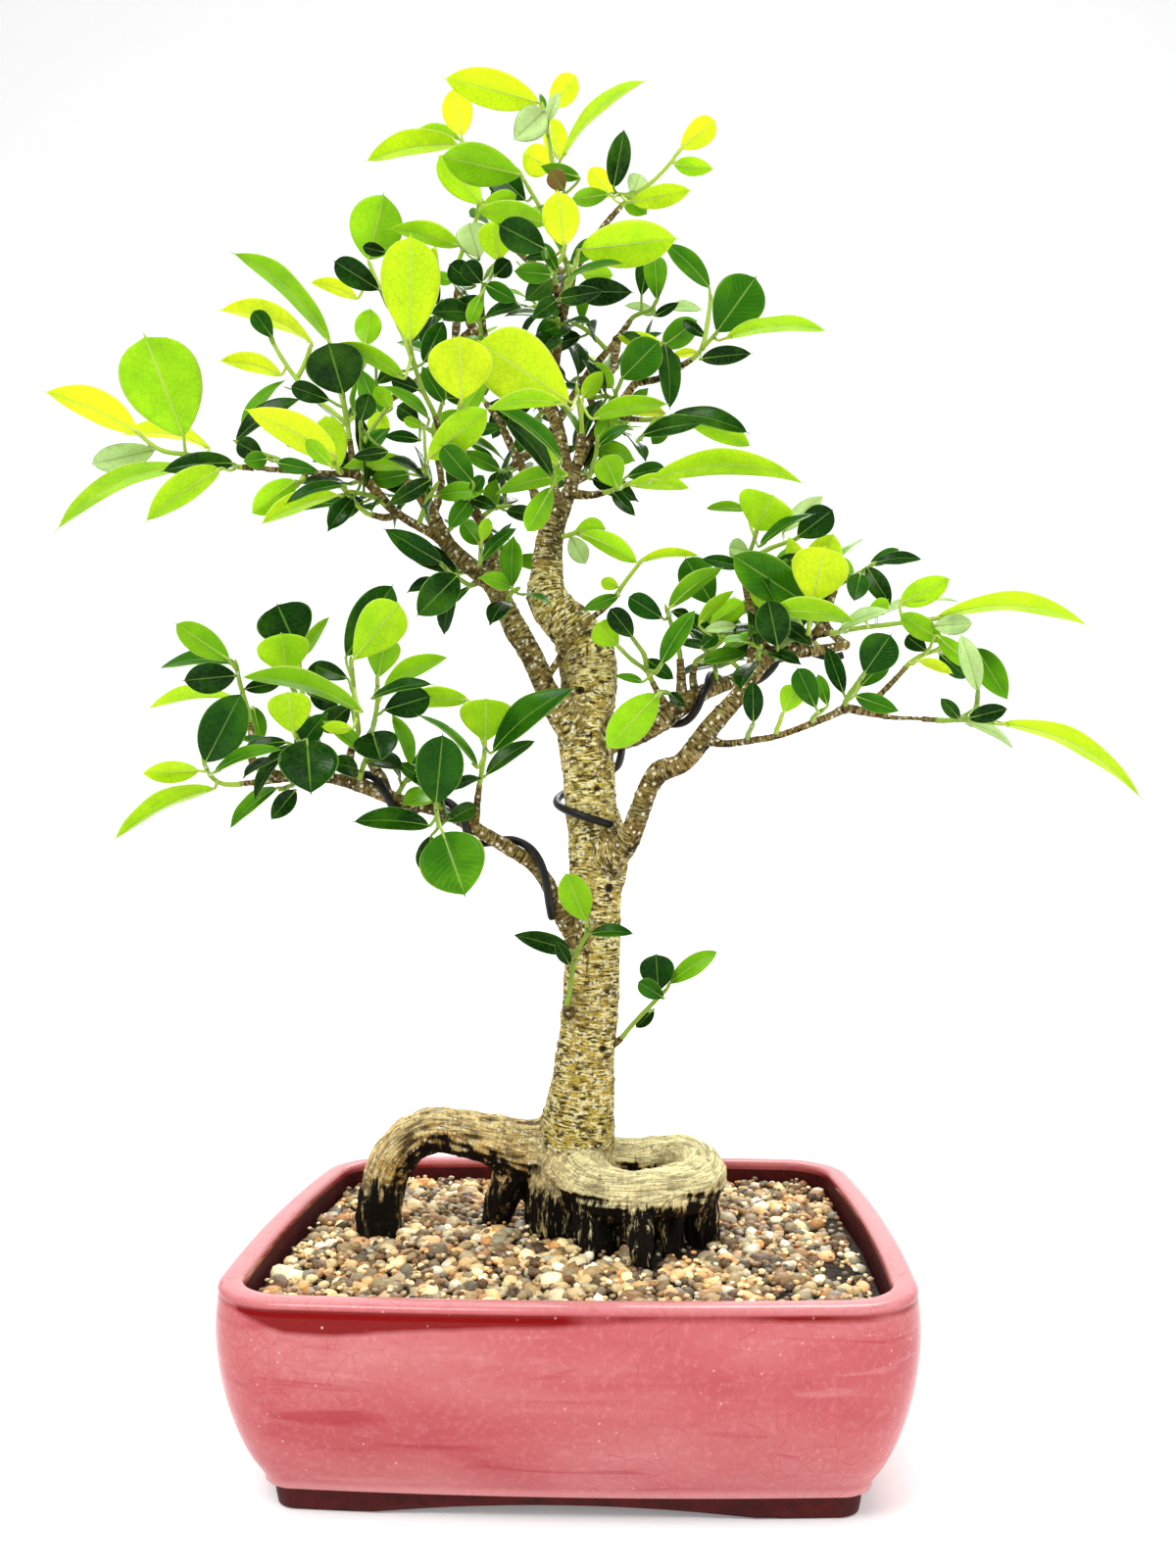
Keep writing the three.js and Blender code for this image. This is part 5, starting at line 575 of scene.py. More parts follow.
      [156, 332, 173, 333, -52, -4, 9, 4], [132, 337, 168, 342, -22, 6, 4, 4],
      [127, 336, 137, 344, -52, -4, 7, 1.2], [116, 331, 138, 339, -56, -4, 5, 4]]),
    ("shoot_right_tip",
     [[150, 291.8, -48, 1.2], [157, 291.2, -49, 1.1]],
     [[[165, 291.2, -51], [174, 290.8, -52], [182, 289.7, -53]], [[165, 291.2, -51], [173, 296, -55],
      [174, 301.5, -58]]],
     [[184, 289.5, 243, 255, -62, -14, 11, 0.7], [174, 303.5, 167, 329, -62, -6, 9, 4],
      [170, 292, 187, 296, -68, -6, 8, 3], [166, 292, 158, 301, -62, -4, 6, 3],
      [169, 289.5, 189, 278, -42, 4, 4, 4]]),
    ("shoot_low_tip",
     [[-132, 267.5, -44, 1.5], [-147, 266, -46, 1.2]],
     [[[-155, 266.3, -48], [-159.5, 269.5, -50], [-162, 274, -53]]],
     [[-162, 276, -146, 307, -68, -12, 20, 2.4], [-158, 264, -203, 241, -56, -8, 9.5, 1],
      [-165, 272, -191, 271, -50, -4, 10, 0.8], [-158, 271, -127, 281, -76, -8, 6, 2]]),
    ("shoot_low_mid",
     [[-120, 268.5, -42, 2.4], [-133, 271, -36, 2.1], [-141, 276, -33, 1.9], [-141.5, 285, -33, 1.5],
      [-142.5, 294, -34, 1.3]],
     [[[-144.5, 302, -35], [-147, 310, -37], [-148.5, 317, -40]]],
     [[-152, 321, -177, 338, -46, -6, 13, 1.5], [-149, 314, -173, 312, -60, -8, 14, 3],
      [-149, 319, -184, 317, -28, 4, 5, 2], [-148, 303, -189, 299, -24, 4, 6, 1],
      [-141, 300, -137, 284, -16, 4, 8, 1.5], [-145, 308, -128, 311, -20, 6, 7, 3]]),
    ("shoot_low_big",
     [[-106, 268, -40, 2.4], [-109, 276, -38, 2], [-113, 285, -38, 1.8], [-116, 293, -38, 1.5]],
     [[[-118.5, 301, -38], [-120, 313, -34], [-121, 323, -31]], [[-118.5, 301, -38], [-123, 307, -46],
      [-126, 312, -52]]],
     [[-122, 326, -131, 346, -32, -6, 25, 3], [-126, 314, -129, 333, -62, -8, 23, 1],
      [-118, 323, -107, 340, -16, 4, 6, 1.4], [-116, 305, -103, 300, -22, 6, 9, 3],
      [-119, 309, -108, 320, -14, 6, 8, 2.4]]),
    ("shoot_low_heart",
     [[-113, 268.5, -43, 2], [-117, 275.5, -53, 1.4], [-118.6, 280, -59, 1.2]],
     [[[-120.5, 284, -65], [-122, 287, -69]]],
     [[-123, 288, -126, 307, -76, -8, 19, 1], [-117, 285, -115, 261, -86, -6, 26, 3],
      [-124, 283, -140, 258, -56, 4, 6, 3], [-126, 284, -147, 280, -62, -2, 6, 3]]),
    ("shoot_low_hang",
     [[-122, 268, -43, 1.9], [-123, 266, -48, 1.2]],
     [[[-124.5, 265, -53], [-127, 264, -57]]],
     [[-122, 263, -133, 250, -70, -6, 9, 3], [-130, 264, -151, 246, -47, 0, 6, 2]]),
    ("shoot_low_lime",
     [[-94, 265.5, -39, 2.6], [-98, 274, -38, 2.1], [-97, 282, -42, 1.6], [-95, 287, -45, 1.3]],
     [[[-94.7, 293, -49], [-96, 304, -55], [-97.5, 318, -63]]],
     [[-97, 320, -76, 346, -74, -12, 21, 1], [-93, 297, -148, 313, -74, -12, 10, 1.2],
      [-100, 322, -79, 354, -42, 2, 18, 2.8], [-98, 300, -111, 289, -32, 6, 11, 3],
      [-97, 290, -111, 291, -58, -4, 6, 1], [-99, 312, -114, 318, -44, 4, 8, 3]]),
    ("shoot_low_oval",
     [[-82, 260.5, -37, 3.2], [-84, 268, -39, 2.6], [-89, 276, -42, 2], [-90, 282, -44, 1.6],
      [-89, 286, -46, 1.3]],
     [[[-87.5, 292, -49], [-86, 301, -53], [-86, 310, -58]]],
     [[-86, 312, -82, 331, -66, -6, 15, 1.5], [-88, 288, -84, 275, -66, -8, 20, 3],
      [-83, 298, -62, 304, -44, 2, 14, 3], [-83, 308, -54, 321, -36, 4, 8, 1],
      [-88, 303, -61, 309, -74, -6, 6, 2.6]]),
    ("shoot_low_front",
     [[-56, 252.5, -29, 2.2], [-58, 249, -40, 1.5], [-58.6, 247.3, -47, 1.2]],
     [[[-59.2, 249.5, -54], [-60, 255.5, -60]]],
     [[-60, 257, -57, 288, -68, -10, 21, 2.3], [-57, 244, -47, 216, -74, -10, 29, 2],
      [-63, 247, -97, 249, -60, -8, 10, 3], [-62, 243, -66, 227, -48, 6, 9, 3],
      [-56, 249, -42, 256, -46, 8, 8, 3]]),
    ("shoot_low_fan",
     [[-43, 246.5, -25, 2.2], [-42, 257, -30, 1.6], [-41, 265, -34, 1.3]],
     [[[-40, 271, -39], [-39, 277, -44], [-38.6, 282, -49]]],
     [[-38.5, 283.5, -38, 303, -60, -12, 23, 1], [-35, 279, 2, 307, -63, -8, 11, 2.6],
      [-46, 302, -80, 300, -34, -2, 10, 1], [-42, 272, -69, 296, -50, -4, 5, 2],
      [-38, 269, -16, 284, -34, 6, 7, 3]]),
    ("sprig_trunk_left",
     [[-1, 166, 0, 4], [-3, 168, -9, 1.8], [-3.2, 170, -11, 1.2]],
     [[[-2.4, 174, -12], [-1, 184, -13], [1, 192, -14], [5, 199.5, -16], [5.4, 204, -18]]],
     [[5, 206, -4, 227, -28, -8, 14, 1.4], [-2, 193, -27, 200, -20, -4, 9, 3],
      [7, 200, 26, 200, -26, -3, 5, 2.5], [-2, 187, -8, 197, -26, -4, 6, 3]]),
    ("sprig_trunk_right",
     [[12, 154, 2, 4], [18.5, 154.5, 0, 1.7], [20, 156, -1, 1.2]],
     [[[23, 159.5, -2], [28, 165, -4], [34, 171, -6], [38, 175, -7]]],
     [[36, 176, 35, 192, -14, -3, 15, 3], [41, 179, 62, 193, -14, -3, 8.5, 1.5],
      [38, 173, 27, 180, -22, -4, 8, 2], [34, 168, 26, 160, 4, 3, 6, 3]]),
    ("sprig_stub",
     [[-11, 311, -6, 2.2], [-7, 318, -13, 1.6], [0, 330, -13, 1.7], [7, 336.5, -13, 1.4],
      [14, 342, -15, 1.3], [18.5, 347, -16, 1.3]],
     [[[21, 350.5, -17], [25, 356, -18], [29, 361, -19]]],
     [[30, 362, 56, 364, -24, -3, 5, 0.6], [20, 347, 4, 341, -28, -4, 6, 2],
      [20, 351, 12, 354, -10, 4, 6, 0.8]]),
]


# Materials
class Graph:
    """A material's nodes, made and joined by short calls. Lengths in it are metres."""

    def __init__(self, name):
        self.material = bpy.data.materials.new(name)
        self.material.use_nodes = True
        self.tree = self.material.node_tree
        self.shader = self.tree.nodes["Principled BSDF"]
        self.out = self.tree.nodes["Material Output"]

    def node(self, kind, **settings):
        made = self.tree.nodes.new("ShaderNode" + kind)
        for key, value in settings.items():
            setattr(made, key, value)
        return made

    def put(self, socket, value):
        """Links a socket's value, or sets a number or colour, or leaves it for None."""
        if isinstance(value, bpy.types.NodeSocket):
            self.tree.links.new(value, socket)
        elif value is not None:
            socket.default_value = value

    def set(self, **values):
        """The same for the shader's own sockets, by name."""
        for key, value in values.items():
            self.put(self.shader.inputs[key.replace("_", " ")], value)

    def coord(self):
        return self.node("TexCoord").outputs["Object"]

    def value(self, name):
        """A number that the mesh keeps for each vertex."""
        return self.node("Attribute", attribute_name=name).outputs["Fac"]

    def split(self, vector):
        made = self.node("SeparateXYZ")
        self.put(made.inputs[0], vector)
        return made.outputs["X"], made.outputs["Y"], made.outputs["Z"]

    def math(self, kind, a, b=None, clamp=False):
        made = self.node("Math", operation=kind, use_clamp=clamp)
        for socket, value in zip(made.inputs, (a, b)):
            self.put(socket, value)
        return made.outputs[0]

    def times(self, value, *others):
        for other in others:
            value = self.math("MULTIPLY", value, other)
        return value

    def plus(self, value, *others):
        for other in others:
            value = self.math("ADD", value, other)
        return value

    def off_middle(self, value):
        """How far a value is from a half, as lines where a noise crosses its middle."""
        return self.math("ABSOLUTE", self.math("SUBTRACT", value, 0.5))

    def noise(self, vector, scale, detail=2.0, rough=0.5, warp=0.0):
        """Noise at one scale, or at a scale for each axis."""
        if isinstance(scale, tuple):
            mapping = self.node("Mapping")
            self.put(mapping.inputs["Vector"], vector)
            mapping.inputs["Scale"].default_value = scale
            vector, scale = mapping.outputs[0], 1.0
        made = self.node("TexNoise")
        self.put(made.inputs["Vector"], vector)
        settings = {"Scale": scale, "Detail": detail, "Roughness": rough, "Distortion": warp}
        for key, value in settings.items():
            made.inputs[key].default_value = value
        return made.outputs["Fac"]

    def cells(self, vector, scale, feature="F1"):
        made = self.node("TexVoronoi", feature=feature)
        self.put(made.inputs["Vector"], vector)
        made.inputs["Scale"].default_value = scale
        return made.outputs["Distance"]

    def ramp(self, fac, *stops, steps=False):
        """A colour from stops of (place, colour)."""
        made = self.node("ValToRGB")
        self.put(made.inputs["Fac"], fac)
        band = made.color_ramp
        if steps:
            band.interpolation = "CONSTANT"
        while len(band.elements) < len(stops):
            band.elements.new(0.5)
        for element, (place, colour) in zip(band.elements, stops):
            element.position = place
            element.color = (*colour, 1)
        return made.outputs["Color"]

    def range(self, value, low, high, to_low=0.0, to_high=1.0):
        """Takes low to to_low and high to to_high, and holds past both."""
        made = self.node("MapRange", clamp=True)
        self.put(made.inputs["Value"], value)
        settings = {"From Min": low, "From Max": high, "To Min": to_low, "To Max": to_high}
        for key, number in settings.items():
            made.inputs[key].default_value = number
        return made.outputs["Result"]

    def mix(self, fac, a, b):
        made = self.node("Mix", data_type="RGBA", blend_type="MIX")
        self.put(made.inputs["Factor"], fac)
        for socket, value in ((made.inputs[6], a), (made.inputs[7], b)):
            self.put(socket, (*value, 1) if isinstance(value, tuple) else value)
        return made.outputs[2]

    def layers(self, colour, *coats):
        """Coats of (amount, colour), each over those before it."""
        for amount, coat in coats:
            colour = self.mix(amount, colour, coat)
        return colour

    def bump(self, height, strength, distance, below=None):
        made = self.node("Bump")
        self.put(made.inputs["Height"], height)
        made.inputs["Strength"].default_value = strength
        made.inputs["Distance"].default_value = distance
        self.put(made.inputs["Normal"], below)
        self.put(self.shader.inputs["Normal"], made.outputs[0])
        return made.outputs[0]


# Pot
FOOT_INSET = 31  # of the bare foot band from the rim's outline
ARCH_HALF_LONG, ARCH_HALF_DEEP = 72, 48  # half lengths of the arches in the foot's lower edge
WALL = [(12.4, 16.4), (20, 11.2), (31, 6), (45, 1.6), (60, -0.8), (70, -0.9), (76.2, -0.2)]
FLOOR_Z, LIP_Z, ROLL_Z = 13, 80.8, 78.3


def corner_radius(inset):
    return max(CORNER_R - inset, 8)


def outline(inset, arc=12, side=20):
    """A rounded rectangle with bowed sides, as x and y."""
    r = corner_radius(inset)
    hx, hy = POT_LONG / 2 - inset, POT_DEEP / 2 - inset
    corners = [(hx - r, -hy + r, -90), (hx - r, hy - r, 0), (-hx + r, hy - r, 90), (-hx + r, -hy + r, 180)]
    points = []
    for c, (cx, cy, start) in enumerate(corners):
        for i in range(arc + 1):
            a = math.radians(start + i * 90 / arc)
            points.append((cx + r * math.cos(a), cy + r * math.sin(a)))
        nx, ny, turn = corners[(c + 1) % 4]
        a = math.radians(turn)
        last, to = points[-1], (nx + r * math.cos(a), ny + r * math.sin(a))
        for i in range(1, side):
            t = i / side
            bow = SIDE_BOW * 4 * t * (1 - t)
            points.append((last[0] + (to[0] - last[0]) * t + math.cos(a) * bow,
                           last[1] + (to[1] - last[1]) * t + math.sin(a) * bow))
    return points


def pot_profile():
    """Rows of height, inset and bareness, from under the foot over the rim to the inner floor."""
    rows = [(5, 60, 1), (5, 40, 1), (5, 31.6, 1), (4.6, FOOT_INSET, 1), (0.5, FOOT_INSET, 1), (0, 30.4, 1),
            (0, 26, 1), (0, 22.8, 1), (0.7, 21.9, 1), (4, 21.2, 1), (7.4, 20.7, 1), (8.7, 20.4, 1),
            (9.0, 19.4, 0.8), (9.2, 18.2, 0), (10.0, 17.1, 0), (11.2, 16.9, 0)]
    curve, _ = spline([(z, i, 0) for z, i in WALL], 44)
    rows += [(z, i, 0) for z, i, _ in curve]
    rows += [(77.0, 0.25, 0), (77.5, 0.3, 0), (ROLL_Z, -0.35, 0)]
    for k in range(1, 9):
        a = math.radians(k * 90 / 8)
        rows.append((ROLL_Z + 2.5 * math.sin(a), 2.3 - 2.65 * math.cos(a), 0))
    rows += [(80.95, 3.4, 0), (80.9, 4.6, 0), (80.85, 5.8, 0), (LIP_Z, 6.8, 0)]
    for k in range(1, 7):
        a = math.radians(k * 90 / 6)
        rows.append((LIP_Z - 2.2 + 2.2 * math.cos(a), 6.8 + 2.2 * math.sin(a), 0.0))
    return rows + [(77.6, 9.05, 0.2), (76.4, 9.1, 0.9), (74, 9.2, 1), (70, 9.3, 1), (45, 10, 1), (29, 14, 1),
                   (FLOOR_Z, 25, 1), (FLOOR_Z, 60, 1)]


def foot_arch(along, across, half, beyond):
    """The rise of the foot's lower edge along one pair of sides."""
    rise = np.where(np.abs(along) < half, FOOT_ARCH * (1 - (along / half) ** 2), 0)
    return rise * (np.abs(across) > beyond)


def build_pot(material):
    rings, bare = [], []
    for z, inset, dry in pot_profile():
        ring = np.array([(x, y, z) for x, y in outline(inset)])
        if z < 5.2 and inset < 32:
            x, y = ring[:, 0], ring[:, 1]
            arch = np.maximum(foot_arch(x, y, ARCH_HALF_LONG, 60), foot_arch(y, x, ARCH_HALF_DEEP, 85))
            ring[:, 2] = np.maximum(ring[:, 2], np.minimum(arch, FOOT_ARCH) + 0.12 * ring[:, 2])
        rings.append(ring)
        bare.append(np.full(len(ring), dry))
    shape = Shape()
    shape.add(np.vstack(rings), ring_faces(len(rings), len(rings[0])), bare=np.concatenate(bare))
    pot = shape.object("glazed_pot", material, "glaze", "pot")
    for x in (-DRAIN_X, DRAIN_X):
        tool = Shape()
        tool.tube([V(x, 0, 2), V(x, 0, 20)], [DRAIN_R, DRAIN_R], 40)
        cutter = link(bpy.data.objects.new("cutter", tool.mesh("cutter")))
        cut = pot.modifiers.new("drain", "BOOLEAN")
        cut.operation, cut.solver, cut.object = "DIFFERENCE", "EXACT", cutter
        settle(pot)
        bpy.data.objects.remove(cutter)


def settle(thing):
    """Applies the object's modifiers to its mesh."""
    bpy.context.view_layer.update()
    shown = thing.evaluated_get(bpy.context.evaluated_depsgraph_get())
    made = bpy.data.meshes.new_from_object(shown)
    thing.modifiers.clear()
    thing.data = made


def glaze_material():
    g = Graph("pink_glaze")
    at = g.coord()
    x, y, z = g.split(at)
    bare = g.range(g.value("bare"), 0.35, 0.6)
    cloud = g.noise(at, (9, 9, 30), 4, 0.55, 0.6)
    fine = g.noise(at, 420, 3, 0.6)
    streak = g.noise(at, (11, 11, 75), 4, 0.6, 1.4)
    drift = g.noise(at, (5, 5, 22), 3, 0.5, 0.8)
    body = g.ramp(cloud, (0.28, (0.43, 0.062, 0.074)), (0.48, (0.50, 0.108, 0.115)),
                  (0.70, (0.56, 0.175, 0.177)))
    # Painted shade: a dark red band under the rim, deepest on the left of the front
    front = g.range(y, -0.085, -0.095)
    shade_deeper_left = g.times(front, g.times(g.range(x, -0.118, -0.095), g.range(x, 0.02, -0.075)))
    uneven = g.noise(at, (30, 30, 5), 3)
    deep = g.plus(g.times(shade_deeper_left, -0.0056), g.range(uneven, 0.3, 0.7, 0.0771, 0.0757))
    band = g.times(g.range(g.math("SUBTRACT", z, deep), -0.0010, 0.0008), g.range(z, 0.0788, 0.0779))
    broken = g.range(g.noise(at, (18, 18, 30), 2), 0.40, 0.62, 0.35, 1.0)
    band = g.times(band, g.math("MAXIMUM", broken, g.range(shade_deeper_left, 0.02, 0.2)))
    # One dark smudge on the front, as an ellipse with a streaky edge
    wide = g.math("POWER", g.math("DIVIDE", g.plus(x, 0.0815), 0.021), 2.0)
    high = g.math("POWER", g.math("DIVIDE", g.math("SUBTRACT", z, 0.0415), 0.0030), 2.0)
    smudge = g.range(g.plus(wide, high, g.range(streak, 0.3, 0.7, -1.2, 1.2)), 1.3, 0.5)
    lip = g.times(g.range(z, 0.0088, 0.0098), g.range(z, 0.0135, 0.0112))
    some = g.range(g.noise(at, 33, 2), 0.45, 0.6, 0.15, 0.75)
    net = g.range(g.plus(g.cells(at, 150, "DISTANCE_TO_EDGE"), g.times(band, 0.05)), 0.0, 0.022, 0.6, 0.0)
    crackle = g.times(net, g.range(g.noise(at, 14, 2), 0.46, 0.62, 0.1, 1.0))
    clay = g.ramp(g.noise(at, 160, 4, 0.6), (0.3, (0.035, 0.001, 0.001)), (0.7, (0.090, 0.004, 0.003)))
    colour = g.layers(
        body,
        (g.range(drift, 0.55, 0.70, 0, 0.35), (0.45, 0.030, 0.055)),
        (g.range(fine, 0.50, 0.76, 0, 0.22), (0.74, 0.34, 0.37)),
        (g.range(streak, 0.60, 0.72, 0, 0.55), (0.36, 0.018, 0.040)),
        (g.range(streak, 0.40, 0.30, 0, 0.35), (0.68, 0.28, 0.30)),
        # painted highlight along the top of the rim
        (g.times(g.range(z, 0.0785, 0.0806), 0.6), (0.74, 0.32, 0.33)),  # rim
        # painted shade under the rim
        (band, (0.21, 0.0, 0.0)),
        (g.times(smudge, front, 0.55), (0.36, 0.014, 0.030)),
        (g.times(lip, 0.5), (0.74, 0.36, 0.36)),  # thin glaze over the foot
        (g.times(g.range(g.cells(at, 210), 0.13, 0.05), some), (0.80, 0.42, 0.40)),  # bubbles
        (crackle, (0.40, 0.05, 0.08)),
        (bare, clay),
    )
    g.set(Base_Color=colour, Specular_IOR_Level=0.22,
          Roughness=g.plus(g.times(bare, 0.5), g.range(cloud, 0.3, 0.7, 0.10, 0.2)))
    pits = g.range(g.cells(at, 310), 0.0, 0.16, -0.25, 0.0)
    height = g.plus(g.noise(at, 60, 3, 0.5), pits, g.times(g.noise(at, 900, 2), bare, 0.8))
    g.bump(height, 0.35, 0.0009)
    return g.material


# Gravel
BED_X, BED_Y, BED_DEPTH = 116.4, 92.2, 2.4  # half sizes of the bed, and its depth under the stones' top
BED_COLUMNS, BED_ROWS = 145, 115
STONES_X, STONES_Y = 118, 93  # half sizes of the field of stones
PITCH, HEX, JITTER = 4.5, 0.866, 1.3  # between stones in a row, row spacing over that, and shift
SMALLEST, LARGEST = 1.25, 3.9  # stone radii
ROUND_FROM, ROUND_SHARE = 1.7, 45  # radius, and how many in a hundred of those get the rounder ball
GRIT = 1500
STONES = [(0.84, 0.62, 0.30), (0.72, 0.42, 0.15), (0.94, 0.80, 0.50), (0.56, 0.25, 0.07),
          (0.90, 0.70, 0.36), (0.26, 0.12, 0.04), (0.42, 0.32, 0.19), (0.80, 0.54, 0.24),
          (0.98, 0.90, 0.70), (0.13, 0.07, 0.03), (0.84, 0.45, 0.20), (0.90, 0.68, 0.34)]


def gravel_top(x, y):
    """The height of the gravel, which is mounded at the tree and lower at the walls."""
    mound = 2.6 * math.exp(-((x - 5) ** 2 + (y + 5) ** 2) / 5200)
    edge = 1.2 * max(0, abs(x) / 118 - 0.86) + 1.2 * max(0, abs(y) / 93 - 0.86)
    return STONE_TOP + mound - edge


def inside(x, y, inset):
    """Whether a place is in the pot's outline, drawn in by inset."""
    r = corner_radius(inset)
    qx, qy = abs(x) - (POT_LONG / 2 - inset) + r, abs(y) - (POT_DEEP / 2 - inset) + r
    return math.hypot(max(qx, 0), max(qy, 0)) + min(max(qx, qy), 0) < r


def bare_soil(x, y):
    """0 where stones lie close, towards 1 where dark soil shows between them."""
    patch = noise.noise(Vector((x / 26, y / 26, 3.3))) + 0.5 * noise.noise(Vector((x / 9, y / 9, 7.1)))
    side = float(smooth(84, 112, abs(x))) * (0.55 if x > 0 else 0.4)
    by_coil = math.exp(-((x - 34) ** 2 / 900 + (y + 18) ** 2 / 420))
    by_arch = 0.6 * math.exp(-((x + 56) ** 2 / 500 + (y - 12) ** 2 / 300))
    return patch * 0.5 + side + by_coil + by_arch


def in_wood(wood, x, y, z, gap):
    """Whether a place is nearer than gap to the tree's surface."""
    spot, _, _, far = wood.find_nearest(Vector((x, y, z)) / 1000 + Vector(SHIFT))
    return spot is not None and far * 1000 < gap


def ball(subdivisions):
    """Vertices and faces of a ball of radius 1."""
    made = bmesh.new()
    bmesh.ops.create_icosphere(made, subdivisions=subdivisions, radius=1)
    co = np.array([v.co for v in made.verts])
    faces = [tuple(v.index for v in f.verts) for f in made.faces]
    made.free()
    return co, faces


def lumpy(co, amount, scale, place):
    """A ball's vertices drawn in and out by noise."""
    return co * np.array([1 + amount * noise.noise(Vector(v) * scale + Vector(place)) for v in co])[:, None]


def build_bed(material):
    co, index, faces = [], {}, []
    for j in range(BED_ROWS + 1):
        for i in range(BED_COLUMNS + 1):
            x, y = -BED_X + i * 2 * BED_X / BED_COLUMNS, -BED_Y + j * 2 * BED_Y / BED_ROWS
            if inside(x, y, 10.0):
                fine = noise.noise(Vector((x / 2.2, y / 2.2, 1))) * 0.9
                rough = fine + noise.noise(Vector((x / 6, y / 6, 4))) * 0.8
                index[i, j] = len(co)
                co.append((x, y, gravel_top(x, y) - BED_DEPTH + rough))
    for j in range(BED_ROWS):
        for i in range(BED_COLUMNS):
            corners = [(i, j), (i + 1, j), (i + 1, j + 1), (i, j + 1)]
            if all(c in index for c in corners):
                faces.append(tuple(index[c] for c in corners))
    bed = Shape()
    bed.add(co, faces)
    bed.object("gravel_bed", material, "gravel", "gravel")


def build_stones(material, wood, rng):
    """Stones in shifted rows. Only some get the rounder ball, to keep the triangles few."""
    round_ball, plain_ball = ball(2), ball(1)
    stones = Shape()
    count = 0
    for j in range(int(2 * STONES_Y / (PITCH * HEX)) + 1):
        for i in range(int(2 * STONES_X / PITCH) + 1):
            x = -STONES_X + (i + 0.5 * (j % 2)) * PITCH + rng.uniform(-JITTER, JITTER)
            y = -STONES_Y + j * PITCH * HEX + rng.uniform(-JITTER, JITTER)
            size = min(max(rng.lognormvariate(0.80, 0.30), SMALLEST), LARGEST)
            pick, grey = rng.random(), rng.random()
            turn_z, turn_x, turn_y, _ = (rng.uniform(-1, 1) for _ in range(4))
            long, flat, lift = rng.uniform(1.0, 1.38), rng.uniform(0.62, 0.92), rng.uniform(-0.9, 0.5)
            if not inside(x, y, 11.2 + size * 0.6):
                continue
            loose = bare_soil(x, y)
            if loose > 0.42 and rng.random() < (loose - 0.42) * 2.4:
                continue
            z = gravel_top(x, y) - 0.9 + lift
            if in_wood(wood, x, y, z, size * 0.75):
                continue
            rounder = size > ROUND_FROM and count % 100 < ROUND_SHARE
            base, faces = round_ball if rounder else plain_ball
            count += 1
            body = lumpy(base, 0.2, 1.3, (x, y, 0)) * np.array([size * long, size, size * flat])
            spin = Matrix.Rotation(turn_z * 3.2, 3, "Z") @ Matrix.Rotation(turn_x * 0.45, 3, "X")
            spin = spin @ Matrix.Rotation(turn_y * 0.45, 3, "Y")
            body = body @ np.array(spin).T + V(x, y, z)
            top = gravel_top(x, y) + 1.9
            body[:, 2] = np.minimum(body[:, 2], top + (body[:, 2] - top) * 0.3)
            # A random grey tone per stone, times painted shade that darkens the stones lying lower
            shade = grey * (0.45 + 0.55 * (lift + 0.9) / 1.4)
            stones.add(body, faces, pick=pick, shade=shade)
    stones.object("gravel_stones", material, "gravel", "gravel")


def build_grit(material, wood, rng):
    tiny, faces = ball(1)
    grit = Shape()
    for _ in range(GRIT):
        x, y, size = rng.uniform(-116, 116), rng.uniform(-92, 92), rng.uniform(0.7, 1.35)
        pick, grey, lift = rng.random(), rng.random(), rng.uniform(-0.9, 1.5)
        if not inside(x, y, 10.6 + size) or bare_soil(x, y) > 0.85:
            continue
        z = gravel_top(x, y) + lift
        if not in_wood(wood, x, y, z, size * 0.7):
            body = lumpy(tiny, 0.3, 1.7, (x, y, 5)) * V(1.2, 1, 0.8) * size
            grit.add(body + V(x, y, z), faces, pick=pick, shade=grey)
    grit.object("gravel_grit", material, "gravel", "gravel")


def build_gravel(stone, soil, wood):
    rng = random.Random(41)
    build_bed(soil)
    build_stones(stone, wood, rng)
    build_grit(stone, wood, rng)


def stone_material():
    g = Graph("pea_stones")
    at = g.coord()
    tint = g.ramp(g.value("pick"), *((i / len(STONES), c) for i, c in enumerate(STONES)), steps=True)
    mottle = g.noise(at, 900, 4, 0.65)
    vein = g.noise(at, (500, 500, 1600), 3, 0.6, 1.0)
    colour = g.layers(tint, (g.range(mottle, 0.42, 0.75, 0, 0.3), (0.92, 0.74, 0.44)),
                      (g.range(vein, 0.52, 0.72, 0, 0.6), (0.20, 0.11, 0.05)))
    shaded = g.node("VectorMath", operation="SCALE")
    g.put(shaded.inputs[0], colour)
    # Colour scaled by each stone's shade: its random tone, and painted shade on the lower-lying stones
    g.put(shaded.inputs["Scale"], g.range(g.value("shade"), 0, 1, 0.22, 1.74))
    g.set(Base_Color=shaded.outputs[0], Roughness=0.42, Specular_IOR_Level=0.35)
    g.bump(g.noise(at, 1500, 3, 0.6), 0.4, 0.0004)
    return g.material


def bed_material():
    g = Graph("dark_soil")
    at = g.coord()
    grain = g.noise(at, 700, 4, 0.7)
    colour = g.ramp(grain, (0.3, (0.012, 0.008, 0.006)), (0.55, (0.045, 0.03, 0.02)),
                    (0.8, (0.16, 0.11, 0.07)))
    g.set(Base_Color=colour, Roughness=0.95)
    g.bump(g.plus(g.cells(at, 520), grain), 0.9, 0.002)
    return g.material


# Wood
VOXEL = 0.00105  # metres, of the mesh that fuses trunk, roots and limbs
BARK, ROOT = 0, 1  # kinds of surface
LIMB_SHIFT = 61.0  # between two limbs' places in the bark's noise, so that they look different
TRUNK_R = 13.2  # about, at the knots
HANGING, HANGING_END = 34, 52  # how many thin roots, and the height where they end in the soil


def limb_points(rows):
    """The points at their depths of rows as seen."""
    return np.array([seen(x, z, y) for x, z, y, *_ in rows])


def limb_radii(rows):
    """The radii of rows as seen, scaled to their depths."""
    return np.array([row[3] * near(row[2]) for row in rows])


